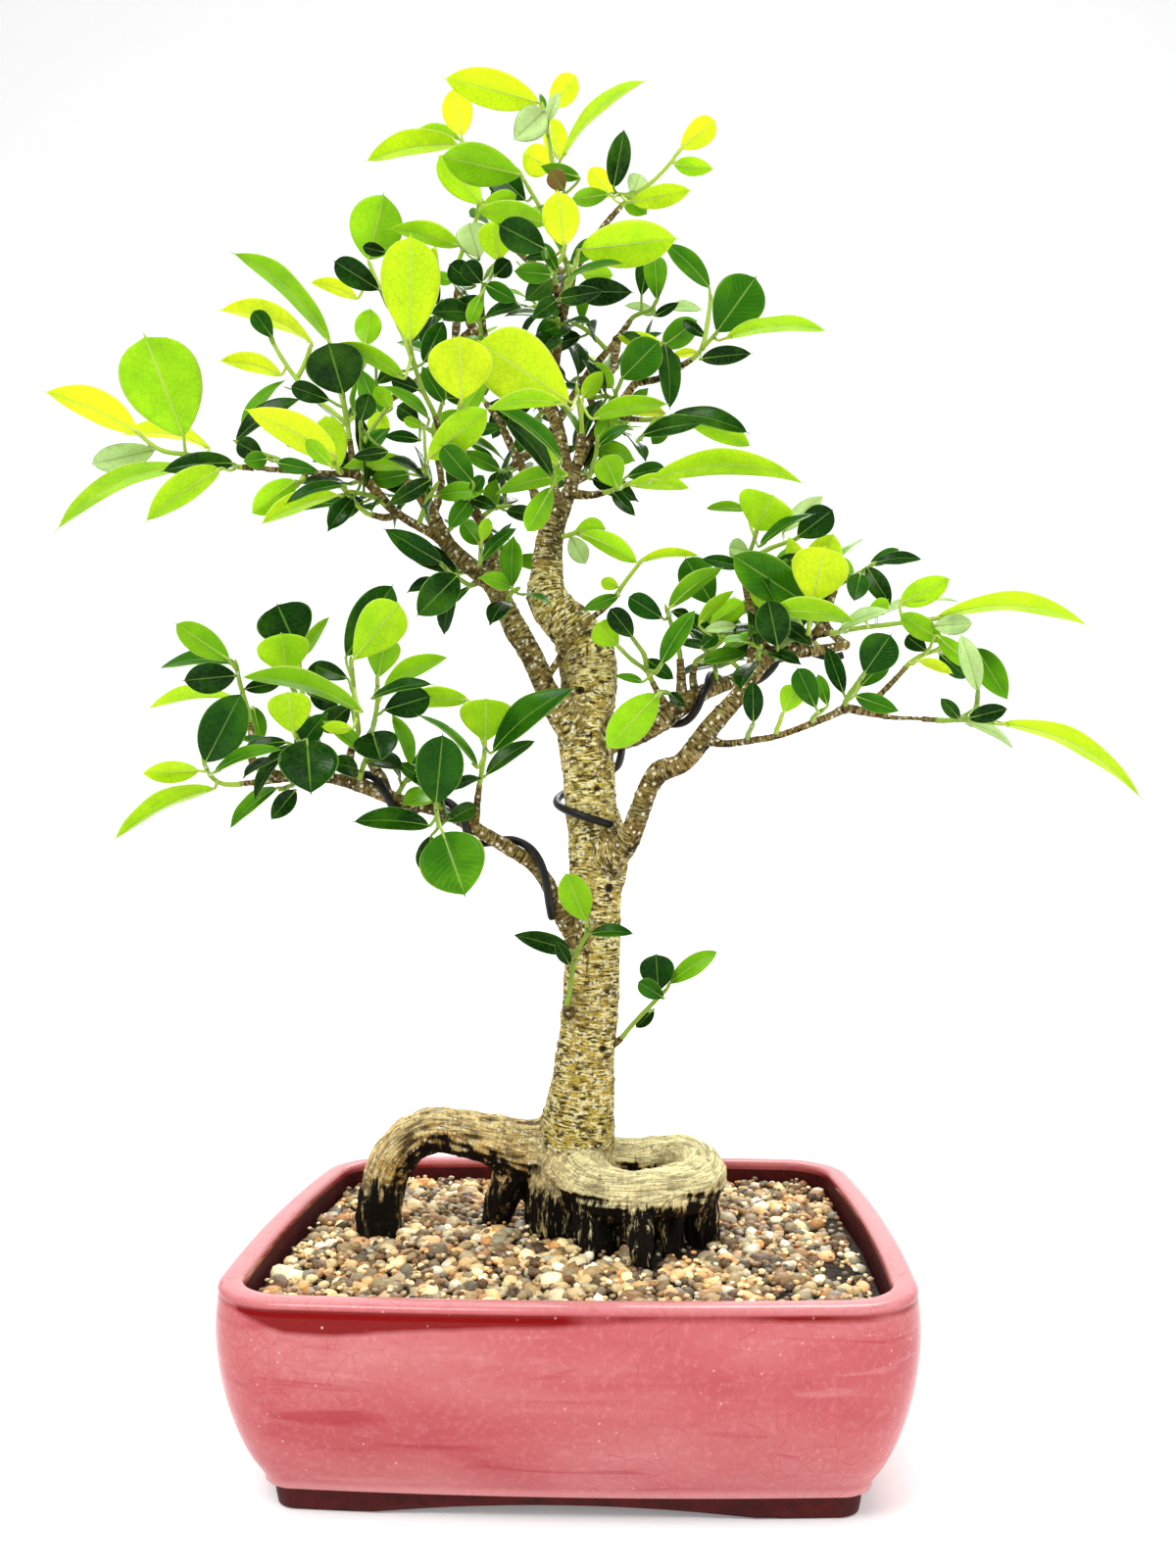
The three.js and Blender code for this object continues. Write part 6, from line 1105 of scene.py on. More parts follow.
PATHS = {name: limb_points(rows) for name, rows in {"trunk": TRUNK, **LIMBS}.items()}


def fine_limb(rows, pace):
    """A limb's middle line with a point about every pace, and the radius at each."""
    points, radii = limb_points(rows), limb_radii(rows)
    path, spots = spline(points, max(8, int(run_length(points) / pace)))
    return path, np.interp(spots, range(len(radii)), radii)


def flute(t, a):
    """The trunk's section, which turns as it rises."""
    return 1 + 0.045 * np.sin(3 * a + 9 * t) + 0.03 * np.sin(5 * a - 14 * t + 1)


class Guides:
    """The middle lines of all limbs, to find where a point of the bark lies along and round its limb.

    Each point of a line has two sides that are carried along without twist, so that stripes run on.
    """

    def __init__(self):
        self.at, self.frames, self.run, self.radius, self.kind = [], [], [], [], []
        self.runs = 0

    def take(self, path, radii, kind):
        step = np.gradient(path, axis=0)
        run = np.concatenate([[0], np.cumsum(np.linalg.norm(np.diff(path, axis=0), axis=1))])
        side = None
        for p, d, s, r in zip(path, step, run, radii):
            d = unit(d)
            if side is None:
                side = V(0, 1, 0) if abs(d[1]) < 0.8 else V(1, 0, 0)
            side = unit(side - d * np.dot(side, d))
            self.at.append(p)
            self.frames.append(np.array([side, np.cross(d, side), d]))
            self.run.append(s + LIMB_SHIFT * self.runs)
            self.radius.append(r)
            self.kind.append(kind)
        self.runs += 1

    def close(self):
        self.tree = KDTree(len(self.at))
        for i, p in enumerate(self.at):
            self.tree.insert(Vector(p), i)
        self.tree.balance()

    def find(self, p):
        k = min(self.tree.find_n(Vector(p), 7), key=lambda hit: hit[2] - self.radius[hit[1]])[1]
        a, b, s = self.frames[k] @ (p - self.at[k])
        return V(a, b, s + self.run[k]), self.radius[k], self.kind[k]


def vertex_numbers(mesh, key):
    """Three numbers of each vertex, such as its place or normal."""
    values = np.zeros(len(mesh.vertices) * 3)
    mesh.vertices.foreach_get(key, values)
    return values.reshape(-1, 3)


def wood_look(thing, guides, knots, reach=1.0):
    """Raises bark on the mesh and stores where each vertex lies along its limb."""
    mesh = thing.data
    co = (vertex_numbers(mesh, "co") - SHIFT) * 1000
    normal = vertex_numbers(mesh, "normal")
    grid = np.zeros((len(co), 3))
    thin, root, hole, lift = np.zeros((4, len(co)))
    for i, p in enumerate(co):
        (a, b, s), radius, kind = guides.find(p)
        grid[i] = a, b, s
        root[i] = kind
        band = noise.noise(Vector((a * 0.16, b * 0.16, s * 0.5)))
        lump = noise.noise(Vector(p / 7.5))
        wrinkle = noise.noise(Vector((a * 0.50, b * 0.50, s * 0.09)))
        size = min(1.0, radius / 9)
        lift[i] = size * (0.42 * band + 0.75 * lump * (0.6 + 0.6 * kind) + 0.9 * kind * wrinkle)
        if kind == BARK:
            thin[i] = min(1.0, max(0.0, (9.2 - radius) / 4.6))
            if radius > 2.4:
                wart = noise.noise(Vector(p / 2.1)) - 0.33
                lift[i] += 1.3 * max(0.0, wart) * min(1.0, radius / 5)
    for centre, r in knots:
        d = np.linalg.norm(co - centre, axis=1)
        ring = np.exp(-((d - r * 1.15) / (r * 0.42)) ** 2)
        pit = np.exp(-(d / (r * 0.62)) ** 2)
        lift += 0.75 * ring * min(1, r / 3) - 1.7 * pit * min(1, r / 3)
        hole = np.maximum(hole, pit)
    co += normal * (lift * reach)[:, None]
    mesh.vertices.foreach_set("co", (co / 1000 + SHIFT).ravel())
    for key, value in (("grid_x", grid[:, 0]), ("grid_y", grid[:, 1]), ("grid_z", grid[:, 2]),
                       ("root", root), ("hole", hole), ("raised", lift), ("thin", thin)):
        store(mesh, key, value)
    smooth_faces(mesh)


def knot_place(x, z):
    """A knot's place in the middle of the trunk, its way out of it, and how far the bark is."""
    heart = seen(x, z, nearest(PATHS["trunk"], seen(x, z, 5))[1][1])
    way = EYE - heart
    way[2] = 0
    depth = TRUNK_R * (0.5 if z > 370 else 1) + (-1.5 if x < 0 and z < 200 else 0)
    return heart, unit(way), depth


def hanging_roots():
    """Thin roots that hang close together from the coiled root into the soil."""
    rng = random.Random(9)
    coil_rows = ROOTS[1][:7]
    runs = []
    for _ in range(HANGING):
        s = rng.uniform(0, 1) * (len(coil_rows) - 1)
        i = min(int(s), len(coil_rows) - 2)
        x, z, y, r = (a + (b - a) * (s - i) for a, b in zip(coil_rows[i], coil_rows[i + 1]))
        x, y = x + rng.uniform(-5, 5), y + rng.uniform(-5, 5)
        thin = rng.uniform(1.1, 2.4)
        runs.append([[x, z - r * 0.5, y, thin + 0.6],
                     [x + rng.uniform(-2, 2), z - r - 5, y - 1, thin],
                     [x + rng.uniform(-3, 3), z - r - 14, y + rng.uniform(-3, 2), thin * 0.8],
                     [x + rng.uniform(-4, 4), HANGING_END, y + rng.uniform(-4, 3), thin * 0.5]])
    return runs


def build_wood(material):
    """Trunk, roots, limbs and knots, fused to one mesh. Returns it with the guides of its limbs."""
    shape, guides = Shape(), Guides()
    grown = [(TRUNK, 40, flute, BARK)]
    grown += [(rows, 30, flute if i < 2 else None, ROOT) for i, rows in enumerate(ROOTS)]
    grown += [(rows, 10, None, ROOT) for rows in hanging_roots()]
    for rows, sides, form, kind in grown:
        path, radii = fine_limb(rows, 2)
        shape.tube(path, radii, sides, form)
        guides.take(path, radii, kind)
    for rows in LIMBS.values():
        path, radii = fine_limb(rows, 1.6)
        if max(row[3] for row in rows[2:]) > 3:
            burl = [1 + 0.12 * max(0.0, noise.noise(Vector(p / 6))) for p in path]
            shape.tube(path, radii * burl, 24)
        else:
            shape.tube(path, radii * 1.04, 18)
        guides.take(path, radii, BARK)
    knots = []
    for x, z, r in KNOTS:
        heart, way, depth = knot_place(x, z)
        line = [heart + way * d for d in (0.2, depth - 2.5, depth - 1)]
        shape.tube(line, [r * 1.2, r * 1.05, r * 0.7], 20)
        knots.append((heart + way * (depth - 1.6), r * 0.8))
    guides.close()
    wood = shape.object("trunk_and_limbs", material, "bark", "tree")
    remesh = wood.modifiers.new("fuse", "REMESH")
    remesh.mode, remesh.voxel_size = "VOXEL", VOXEL
    settle(wood)
    soften = wood.modifiers.new("soften", "SMOOTH")
    soften.factor, soften.iterations = 0.5, 5
    settle(wood)
    wood_look(wood, guides, knots)
    return wood, guides


def bark_material():
    g = Graph("striped_bark")
    at = g.coord()
    x, _, z = g.split(at)
    facing = g.split(g.node("NewGeometry").outputs["Normal"])[2]
    grid = g.node("CombineXYZ")
    for socket, key in zip(grid.inputs, ("grid_x", "grid_y", "grid_z")):
        g.put(socket, g.value(key))
    run = grid.outputs[0]
    root, hole, raised, thin = (g.value(key) for key in ("root", "hole", "raised", "thin"))

    def by_kind(bark, roots):
        return g.range(root, 0.0, 1.0, bark, roots)

    stripe = g.noise(run, (0.20, 0.20, 0.80), 3, 0.6, 0.15)
    line = g.noise(run, (0.24, 0.24, 1.2), 2, 0.5, 0.15)
    fissure = g.off_middle(g.noise(run, (0.60, 0.60, 0.055), 3, 0.6, 0.3))
    hatch = g.off_middle(g.noise(run, (0.15, 0.15, 1.4), 4, 0.65, 0.3))
    hair = g.off_middle(g.noise(run, (1.5, 1.5, 0.13), 3, 0.6, 0.2))
    broad = g.noise(at, 46, 3, 0.55)
    patch = g.noise(at, 105, 3, 0.6)
    speck = g.noise(at, 620, 3, 0.7)
    dots = g.cells(at, 330)
    bark = g.ramp(broad, (0.32, (0.43, 0.30, 0.044)), (0.5, (0.66, 0.49, 0.100)),
                  (0.68, (0.45, 0.35, 0.050)))
    twig = g.ramp(broad, (0.35, (0.060, 0.034, 0.008)), (0.65, (0.20, 0.125, 0.035)))
    # Painted light and shade: the roots lighter on their upper faces and darker on their lower ones, in the
    # old root's colours and the cream root's
    top = g.plus(g.range(facing, -0.55, 0.45), g.range(broad, 0.3, 0.7, -0.22, 0.22))
    old = g.ramp(top, (0.1, (0.15, 0.072, 0.014)), (0.42, (0.58, 0.35, 0.09)), (0.8, (0.94, 0.70, 0.30)))
    cream = g.ramp(top, (0.06, (0.36, 0.19, 0.045)), (0.26, (1.0, 0.74, 0.27)), (0.55, (1.0, 0.89, 0.46)))
    straw = g.ramp(speck, (0.35, (0.98, 0.80, 0.30)), (0.6, (1.0, 0.94, 0.50)))
    coiled = g.range(x, -0.022, 0.004)  # the cream root lies right of the trunk's middle, the old one left
    stripes = g.times(g.range(stripe, 0.50, 0.54, 0, 0.97), g.range(thin, 0.2, 1.0, 1.0, 0.22))
    # Black stain low on the roots and painted shade under the coil and on lower faces, with a ragged edge
    low, under = g.range(z, 0.099, 0.079), g.range(facing, 0.0, -0.7)
    stain_and_shade = g.plus(g.times(low, 1.75), g.times(under, 1.15))
    stain_and_shade = g.math("MULTIPLY", stain_and_shade, g.plus(g.times(root, 0.85), 0.3), clamp=True)
    ragged = g.range(g.noise(at, (260, 260, 60), 5, 0.7), 0.3, 0.7, -0.75, 0.75)
    colour = g.layers(
        bark,
        # the roots' colours, with painted light above and painted shade below
        (root, g.mix(coiled, old, cream)),
        (g.times(thin, 0.8), twig),
        (g.times(g.range(patch, 0.50, 0.62, 0, 0.85), by_kind(1.0, 0.22)), (0.085, 0.052, 0.010)),
        (g.times(stripes, by_kind(1.0, 0.40)), straw),
        (g.times(g.range(line, 0.46, 0.39, 0, 0.95), by_kind(1.0, 0.30)), (0.040, 0.022, 0.004)),
        (g.range(dots, 0.31, 0.18, 0, 0.92), (0.97, 0.91, 0.68)),
        (g.times(g.range(fissure, 0.022, 0.006), by_kind(0.30, 0.72)), (0.035, 0.018, 0.006)),
        (g.times(g.range(hatch, 0.008, 0.002), by_kind(0.45, 0.12)), (0.050, 0.026, 0.006)),
        (g.times(g.range(hair, 0.016, 0.005), root, 0.45), (0.10, 0.055, 0.015)),
        (g.times(g.range(speck, 0.56, 0.70, 0, 0.85), by_kind(1.0, 0.35)), (0.045, 0.024, 0.006)),
        # painted shade where the bark sinks in
        (g.range(raised, -0.15, -0.7, 0, 0.9), (0.05, 0.026, 0.008)),
        # more of the cream root, with its painted light and shade
        (g.times(root, coiled, 0.42), cream),
        # black stain near the soil and painted shade under the roots
        (g.range(g.plus(stain_and_shade, ragged), 0.40, 0.80), (0.005, 0.003, 0.001)),
        # painted shade in the knots' pits
        (g.range(hole, 0.35, 0.8), (0.012, 0.007, 0.004)),
    )
    g.set(Base_Color=colour, Roughness=0.72, Specular_IOR_Level=0.14)
    folds = g.plus(stripe, g.times(speck, 0.5), g.times(g.range(fissure, 0.0, 0.04), root))
    first = g.bump(g.plus(folds, g.times(g.range(hatch, 0.0, 0.03), 0.2)), 0.8, 0.0010)
    g.bump(g.range(dots, 0.30, 0.1, 0, 1), 0.4, 0.0004, first)
    return g.material


def twig_path(rows):
    """A twig's points and radii, with its start drawn to the limb that it grows from."""
    points, radii = list(limb_points(rows)), list(limb_radii(rows))
    far, spot = nearest_of(PATHS.values(), points[0])
    if far < 4:
        points[0] = spot
    else:
        points.insert(0, spot)
        radii.insert(0, radii[0] * 1.1)
    return points, radii


# Training wires
WIRE_GAP = 0.35  # off the limb
RISE_FROM, RISE, ROUND_R = 247, 27, 13.1  # of the turn round the trunk, whose radius is without the wire
WIRE_MARKS = {"right": [(24, 0), (29, 90), (55, 360), (87, 720), (116, 1000)],
              "lower": [(-6, -50), (-24, 90), (-57, 450), (-90, 810), (-97, 880)]}


def coil(limb):
    """A wire's points round a limb, through its marks of x and turn in degrees."""
    rows, marks = LIMBS[limb], WIRE_MARKS[limb]
    path, radii = limb_points(rows), limb_radii(rows)
    xs = [row[0] for row in rows]
    points = []
    for m, ((x0, a0), (x1, a1)) in enumerate(zip(marks, marks[1:])):
        n = 3 * max(1, round(abs(a1 - a0) / 36))
        for k in range(1 if m else 0, n + 1):
            x = x0 + (x1 - x0) * k / n
            a = math.radians(a0 + (a1 - a0) * k / n)
            i, t = len(xs) - 2, 1.0
            for j in range(len(xs) - 1):
                u = (x - xs[j]) / (xs[j + 1] - xs[j])
                if 0 <= u <= 1:
                    i, t = j, u
                    break
            p = path[i] + (path[i + 1] - path[i]) * t
            d = unit(path[min(i + 2, len(path) - 1)] - path[max(i - 1, 0)])
            front = unit(V(0, -1, 0) + d * d[1])
            up = np.cross(d, front)
            if up[2] < 0:
                up = -up
            r = radii[i] + (radii[i + 1] - radii[i]) * t + WIRE_R + WIRE_GAP
            points.append(p + front * r * math.cos(a) + up * r * math.sin(a))
    return points


def trunk_turn():
    """The right wire's first turn, which goes round the trunk."""
    points = []
    for k in range(25):
        t = k / 24
        z = RISE_FROM + RISE * t ** 1.15
        a = math.radians(-58 - 272 * t)
        c = nearest(PATHS["trunk"], seen(8, z, 6))[1]
        r = ROUND_R + WIRE_R
        points.append(V(c[0] + r * math.cos(a), c[1] + r * math.sin(a), z))
    return points


def build_wires(material):
    runs = {"training_wire_right": trunk_turn() + coil("right"), "training_wire_left": coil("lower")}
    for name, points in runs.items():
        path, _ = spline(points[::2] + [points[-1]], len(points) * 3)
        radii = np.full(len(path), WIRE_R)
        radii[0] = radii[-1] = WIRE_R * 0.8
        shape = Shape()
        shape.tube(path, radii, 14)
        shape.object(name + "_smooth", material, "wire", name)


def wire_material():
    g = Graph("black_wire")
    at = g.coord()
    black = g.ramp(g.noise(at, 300, 3, 0.6), (0.35, (0.003, 0.003, 0.003)), (0.75, (0.011, 0.010, 0.009)))
    g.set(Base_Color=black, Roughness=g.range(g.noise(at, 180, 2), 0.3, 0.7, 0.28, 0.5),
          Specular_IOR_Level=0.25)
    g.bump(g.noise(at, 800, 3, 0.6), 0.25, 0.0003)
    return g.material


# Leaves
LEAF_THICK = 0.5
INNER_BLADE = (10, 3)  # rows and half columns of faces in a small leaf's blade
ON_WOOD = ("leaf_low_a", "leaf_low_b", "leaf_low_c", "shoot_low_hang", "shoot_left_under", "shoot_pale",
           "shoot_dark_drop", "shoot_left_inner", "shoot_right_face", "sprig_stub", "shoot_droop",
           "shoot_limb_end")
# Shoots of the far side: the end's [x, z, y] as seen, and a seed
BACK = [[-54, 448, 84, 1], [-12, 474, 100, 2], [16, 444, 86, 3], [-34, 512, 78, 4],
        [-104, 424, 44, 5], [58, 334, 66, 6], [104, 348, 62, 7], [-30, 400, 92, 9]]
# Shoots inside the crown: their places along each limb, from 0 to 1
INNER = {
    "left": (0.42, 0.56, 0.7, 0.84), "leftUp": (0.55, 0.95), "leftFar": (0.2, 0.36, 0.52, 0.68),
    "top": (0.3, 0.45, 0.6, 0.75, 0.9), "topMid": (0.25, 0.5, 0.75, 0.95),
    "topRight": (0.35, 0.65, 0.95), "topBack": (0.4, 0.7), "frontUp": (0.35, 0.7),
    "front": (0.72, 0.86, 0.98), "right": (0.55, 0.68, 0.8, 0.92), "lower": (0.52, 0.64, 0.74, 0.86),
    "trunk": (0.93, 0.985),
}


def leaf_place(row):
    """A leaf's base, tip and width, and the roll that makes it look as wide as seen."""
    bx, bz, tx, tz, y, lean, width, tone = row
    base, tip = seen(bx, bz, y), seen(tx, tz, y + lean)
    n = near(y + lean / 2)
    flat = math.hypot(tx - bx, tz - bz) * n
    wide = max(width * n, LEAF_RATIO * flat * 0.8)
    roll = math.degrees(math.acos(min(1.0, width * n / wide)))
    if (bz + tz) / 2 > 250 and tone < 1.7:
        roll = 180 - roll
    return base, tip, wide, roll


def leaf_frame(base, tip, roll):
    """A leaf's directions along, up out of its upper side, and to its side."""
    along = unit(tip - base)
    eye = unit(EYE - (base + tip) / 2)
    face = unit(eye - along * np.dot(eye, along))
    sky = np.cross(along, face)
    if sky[2] < 0 or (abs(sky[2]) < 1e-9 and sky[0] < 0):
        sky = -sky
    a = math.radians(roll)
    up = face * math.cos(a) + sky * math.sin(a)
    return along, up, unit(np.cross(up, along))


def leaf_width(t, lower, upper):
    """Half width along a blade, 1 at its widest, with a short drawn-out tip."""
    s = np.clip(t / 0.95, 0, 1)
    top = (lower / (lower + upper)) ** lower * (upper / (lower + upper)) ** upper
    w = s ** lower * (1 - s) ** upper / top
    return np.maximum(w, 0.11 * np.clip((1 - t) / 0.16, 0, 1) * (t > 0.5))


def slab_faces(nt, n):
    """Faces of a closed slab between two grids of nt + 1 rows of n vertices."""
    count = (nt + 1) * n
    faces = []
    for i in range(nt):
        a, d = i * n, (i + 1) * n
        for j in range(n - 1):
            quad = (a + j, a + j + 1, d + j + 1, d + j)
            faces += [quad, tuple(count + k for k in quad[::-1])]
        faces.append((a, d, count + d, count + a))
        a, d = a + n - 1, d + n - 1
        faces.append((a, count + a, count + d, d))
    for j in range(n - 1):
        a = nt * n + j
        faces += [(j + 1, j, count + j, count + j + 1), (a, a + 1, count + a + 1, count + a)]
    return faces


def add_leaf(shape, base, tip, wide, roll, root, tone, seed, nt=18, m=5):
    """A blade of nt by 2 m faces with its rib below, and the stalk from the stem at root."""
    rng = random.Random(int(seed * 1000) + 7)
    along, up, side = leaf_frame(base, tip, roll)
    long = float(np.linalg.norm(tip - base))
    t = np.linspace(0, 1, nt + 1)
    t = 0.5 - 0.5 * np.cos(math.pi * t) * 0.35 + 0.65 * (t - 0.5)
    t = (t - t[0]) / (t[-1] - t[0])
    v = np.linspace(-1, 1, 2 * m + 1)
    # Long leaves are narrow and droop, and wide ones have blunt ends
    slim = float(smooth(44, 60, long))
    wide *= 1 - 0.28 * slim
    blunt = float(smooth(0.36, 0.56, wide / long)) * (0.15 + 0.85 * float(smooth(-0.3, 0.3, along[2])))
    lower, upper = rng.uniform(0.62, 0.80) + 0.16 * blunt, rng.uniform(0.66, 0.84) - 0.24 * blunt
    half = wide / 2 * leaf_width(t, lower, upper)
    half[-1] = 0.12
    arch = long * (0.11 + 0.03 * float(smooth(34, 56, long)) - 0.07 * slim)
    hump = 4 * t * (1 - t)
    middle = base + np.outer(t, tip - base) + np.outer(arch * 4 * t * (1 - t) + 0.4 * (1 - t), up)
    middle += np.outer(hump * (0.75 + 0.5 * t), V(0, 0, 0.075 * long * slim))
    # The blade folds along its rib, waves at the margin and twists a little
    gutter = rng.uniform(0.11, 0.27) * (1 - 0.45 * slim)
    wave, turn = rng.uniform(0.02, 0.05) * wide, rng.uniform(0, TURN)
    twist = rng.uniform(-0.16, 0.16)
    swell = np.sin(math.pi * t)
    rise = np.outer(half, gutter * np.abs(v) * 1.6 - gutter * 0.9 - 0.06 * v ** 2)
    rise += np.outer(np.sin(t * 11 + turn) * swell, v ** 2) * wave * 0.5
    rise += np.outer(np.sin(t * 9 + turn * 1.7) * swell, np.sign(v) * v ** 2) * wave * 0.4
    rise += np.outer(half * twist * swell, v)
    thick = LEAF_THICK * (1 - 0.35 * np.abs(v)) * np.minimum(1, 0.35 + half / 2.5)[:, None]
    across = np.outer(half, v)
    co = middle[:, None, :] + across[..., None] * side + rise[..., None] * up
    sides = [co + (thick / 2)[..., None] * up, co - (thick / 2)[..., None] * up]
    n = 2 * m + 1
    faces = slab_faces(nt, n)
    if np.dot(np.cross(co[1, n - 1] - co[0, 0], co[1, 0] - co[0, n - 1]), up) < 0:
        faces = [f[::-1] for f in faces]
    mood = min(max(tone + rng.uniform(-0.22, 0.22), 0), 5) if tone < 3.9 else tone
    shape.add(np.vstack([grid.reshape(-1, 3) for grid in sides]), faces, along=np.tile(np.repeat(t, n), 2),
              across=np.tile(v, 2 * (nt + 1)), tone=mood, stalk=0.0)
    rib = middle[:-1] + np.outer(-half[:-1] * gutter * 0.9, up)
    rib_r = 0.12 + 0.3 * (1 - t[:-1])
    shape.tube(rib[::2], rib_r[::2], 6 if m > 3 else 4, along=0.5, across=0.0, tone=mood, stalk=0.55)
    sag = V(0, 0, -0.06 * float(np.linalg.norm(base - root)))
    into = base + along * min(3.0, long * 0.12) + up * 0.3
    path, _ = spline([root, root + (base - root) * 0.5 + sag, base + up * 0.2, into], 9)
    radii = np.linspace(0.74, 0.52, 9)
    shape.tube(path, radii, 7 if m > 3 else 5, along=0.2, across=0.0, tone=mood, stalk=1.0)


def stem_lines(stems, end, way):
    """The lines of a shoot's green stems, each starting on one before it."""
    lines = []
    for i, rows in enumerate(stems):
        points = [seen(x, z, y) for x, z, y in rows]
        if i == 0:
            points = [end - way * 0.8, end + way * 1.8] + points
        else:
            far, spot = nearest_of(lines, points[0])
            points = [spot] + points[1 if far < 0.4 else 0:]
        lines.append(np.array(points))
    return lines


def attach(lines, base):
    """The place on a shoot's stems, past the wood and short of their ends, that is closest to a leaf."""
    parts = []
    for i, line in enumerate(lines):
        part = line[1 if i == 0 else 0:].copy()
        part[-1] += unit(part[-2] - part[-1]) * 0.9
        parts.append(part)
    return nearest_of(parts, base)[1]


def add_stem(shape, line, tone):
    """A green stem with swollen joints, and the bud at its end."""
    path, spots = spline(line, max(8, int(run_length(line) / 1.6)))
    radii = 1.15 * (1 - 0.28 * spots / len(line))
    for k, s in enumerate(spots):
        radii[k] *= 1 + 0.14 * math.exp(-((s - round(s)) / 0.10) ** 2)
    shape.tube(path, radii, 9, along=0.2, across=0.0, tone=tone, stalk=1.0)
    way = unit(path[-1] - path[-2])
    bud = [path[-1] + way * d for d in (-0.6, 1.2, 3.0, 4.6)]
    shape.tube(bud, [0.8, 1.0, 0.62, 0.08], 8, along=0.2, across=0.0, tone=tone, stalk=0.8)


def inner_shoot(shape, rng, heart, along, radius):
    """A short shoot with four small dark leaves, off a limb's middle line at heart."""
    turn = rng.uniform(0, TURN)
    way = V(math.cos(turn), 0.9 * math.sin(turn), rng.uniform(0.2, 0.9))
    way = unit(way - along * np.dot(way, along) * 0.7)
    end = heart + way * (radius + rng.uniform(10, 19))
    line = np.array([heart + way * radius * 0.4, heart + (end - heart) * 0.6 + V(0, 0, 1.5), end])
    add_stem(shape, line, 2.0)
    rng.random()  # a spare draw, so that the ones after it stay the same
    side = unit(np.cross(way, V(0.3, 0.2, 1)))
    over = np.cross(side, way)
    for k in range(4):
        base = line[0] + (end - line[0]) * (0.4 + 0.19 * k)
        a = k * GOLDEN + turn
        out = unit(way * rng.uniform(0.3, 0.8) + side * math.cos(a) + over * math.sin(a))
        long = rng.uniform(14, 25)
        start = base + out * 3.5
        # dark tones for older leaves and for painted shade inside the crown
        tone = rng.choice((1.6, 2.2, 2.6, 2.9, 3.0, 3.0))
        wide, roll = long * rng.uniform(0.40, 0.50), rng.uniform(15, 80)
        add_leaf(shape, start, start + out * long, wide, roll, nearest(line, base)[1], tone,
                 400 + len(shape.co), *INNER_BLADE)


def build_inner_leaves(material):
    """All such shoots, close to the limbs inside the crown, as one piece."""
    rng = random.Random(77)
    shape = Shape()
    for limb, spots in INNER.items():
        path, radii = PATHS[limb], limb_radii(TRUNK if limb == "trunk" else LIMBS[limb])
        for spot in spots:
            s = spot * (len(path) - 1)
            i = min(int(s), len(path) - 2)
            step = path[i + 1] - path[i]
            inner_shoot(shape, rng, path[i] + step * (s - i), unit(step), radii[i])
    shape.object("inner_leaves", material, "leaf_dark", "tree")


def back_shoot(shape, x, z, y, seed):
    """A guessed shoot of the far side with four leaves. Returns its wood's points and radii."""
    end = seen(x, z, y)
    root = nearest_of(PATHS.values(), end)[1]
    wood = [root, root + (end - root) * 0.45 + V(0, 0, -5), root + (end - root) * 0.72 + V(0, 0, -3)]
    stem = [root + (end - root) * 0.86, end]
    add_stem(shape, np.array([wood[2] - (stem[0] - wood[2]) * 0.1, *stem]), 1.6)
    for i in range(4):
        base = stem[0] + (end - stem[0]) * (0.25 + 0.25 * i)
        turn = i * GOLDEN + seed
        long = 26 + 12 * draw(seed * 31 + i)
        way = unit(V(math.cos(turn), 0.75 * math.sin(turn) + 0.25, 0.35 + 0.5 * draw(seed * 57 + i)))
        start = base + way * 4
        roll, tone = 60 + 40 * draw(seed * 77 + i), 1.2 + 1.3 * draw(seed + i)
        add_leaf(shape, start, base + way * long, long * LEAF_RATIO, roll, nearest(np.array(stem), start)[1],
                 tone, 100 + seed + i / 50)
    return wood, [2.4, 1.7, 1.2]


def build_shoots(material):
    """All shoots. Returns the points and radii of their woody twigs."""
    slots = {row["node"]: row["material_slot"] for row in frame["record"]["subparts"]}
    sitting = Shape()
    twigs = []
    for number, (name, wood, stems, rows) in enumerate(SHOOTS):
        points, radii = twig_path(wood)
        twigs.append((points, radii))
        lines = stem_lines(stems, points[-1], unit(points[-1] - points[-2]))
        shape = sitting if name in ON_WOOD else Shape()
        tone = float(np.mean([min(row[7], 3) for row in rows]))
        for line in lines:
            add_stem(shape, line, tone)
        for i, row in enumerate(rows):
            base, tip, wide, roll = leaf_place(row)
            add_leaf(shape, base, tip, wide, roll, attach(lines, base), row[7], number + i / 50)
        if name not in ON_WOOD:
            shape.object(name + "_leaves", material, slots[name], name)
    twigs += [back_shoot(sitting, *row) for row in BACK]
    sitting.object("leaves_on_old_wood", material, "leaf_green", "tree")
    build_inner_leaves(material)
    return twigs


def build_twigs(twigs, material, guides):
    """The shoots' woody twigs, as one mesh with bark."""
    shape = Shape()
    for points, radii in twigs:
        path, spots = spline(points, max(6, int(run_length(points) / 1.3)))
        thick = np.interp(spots, range(len(radii)), radii)
        thick = thick * [1 + 0.16 * noise.noise(Vector(p / 2.2)) for p in path]
        shape.tube(path, thick, 12)
        guides.take(path, thick, BARK)
    guides.close()
    wood_look(shape.object("woody_twigs", material, "bark", "tree"), guides, [], 0.5)


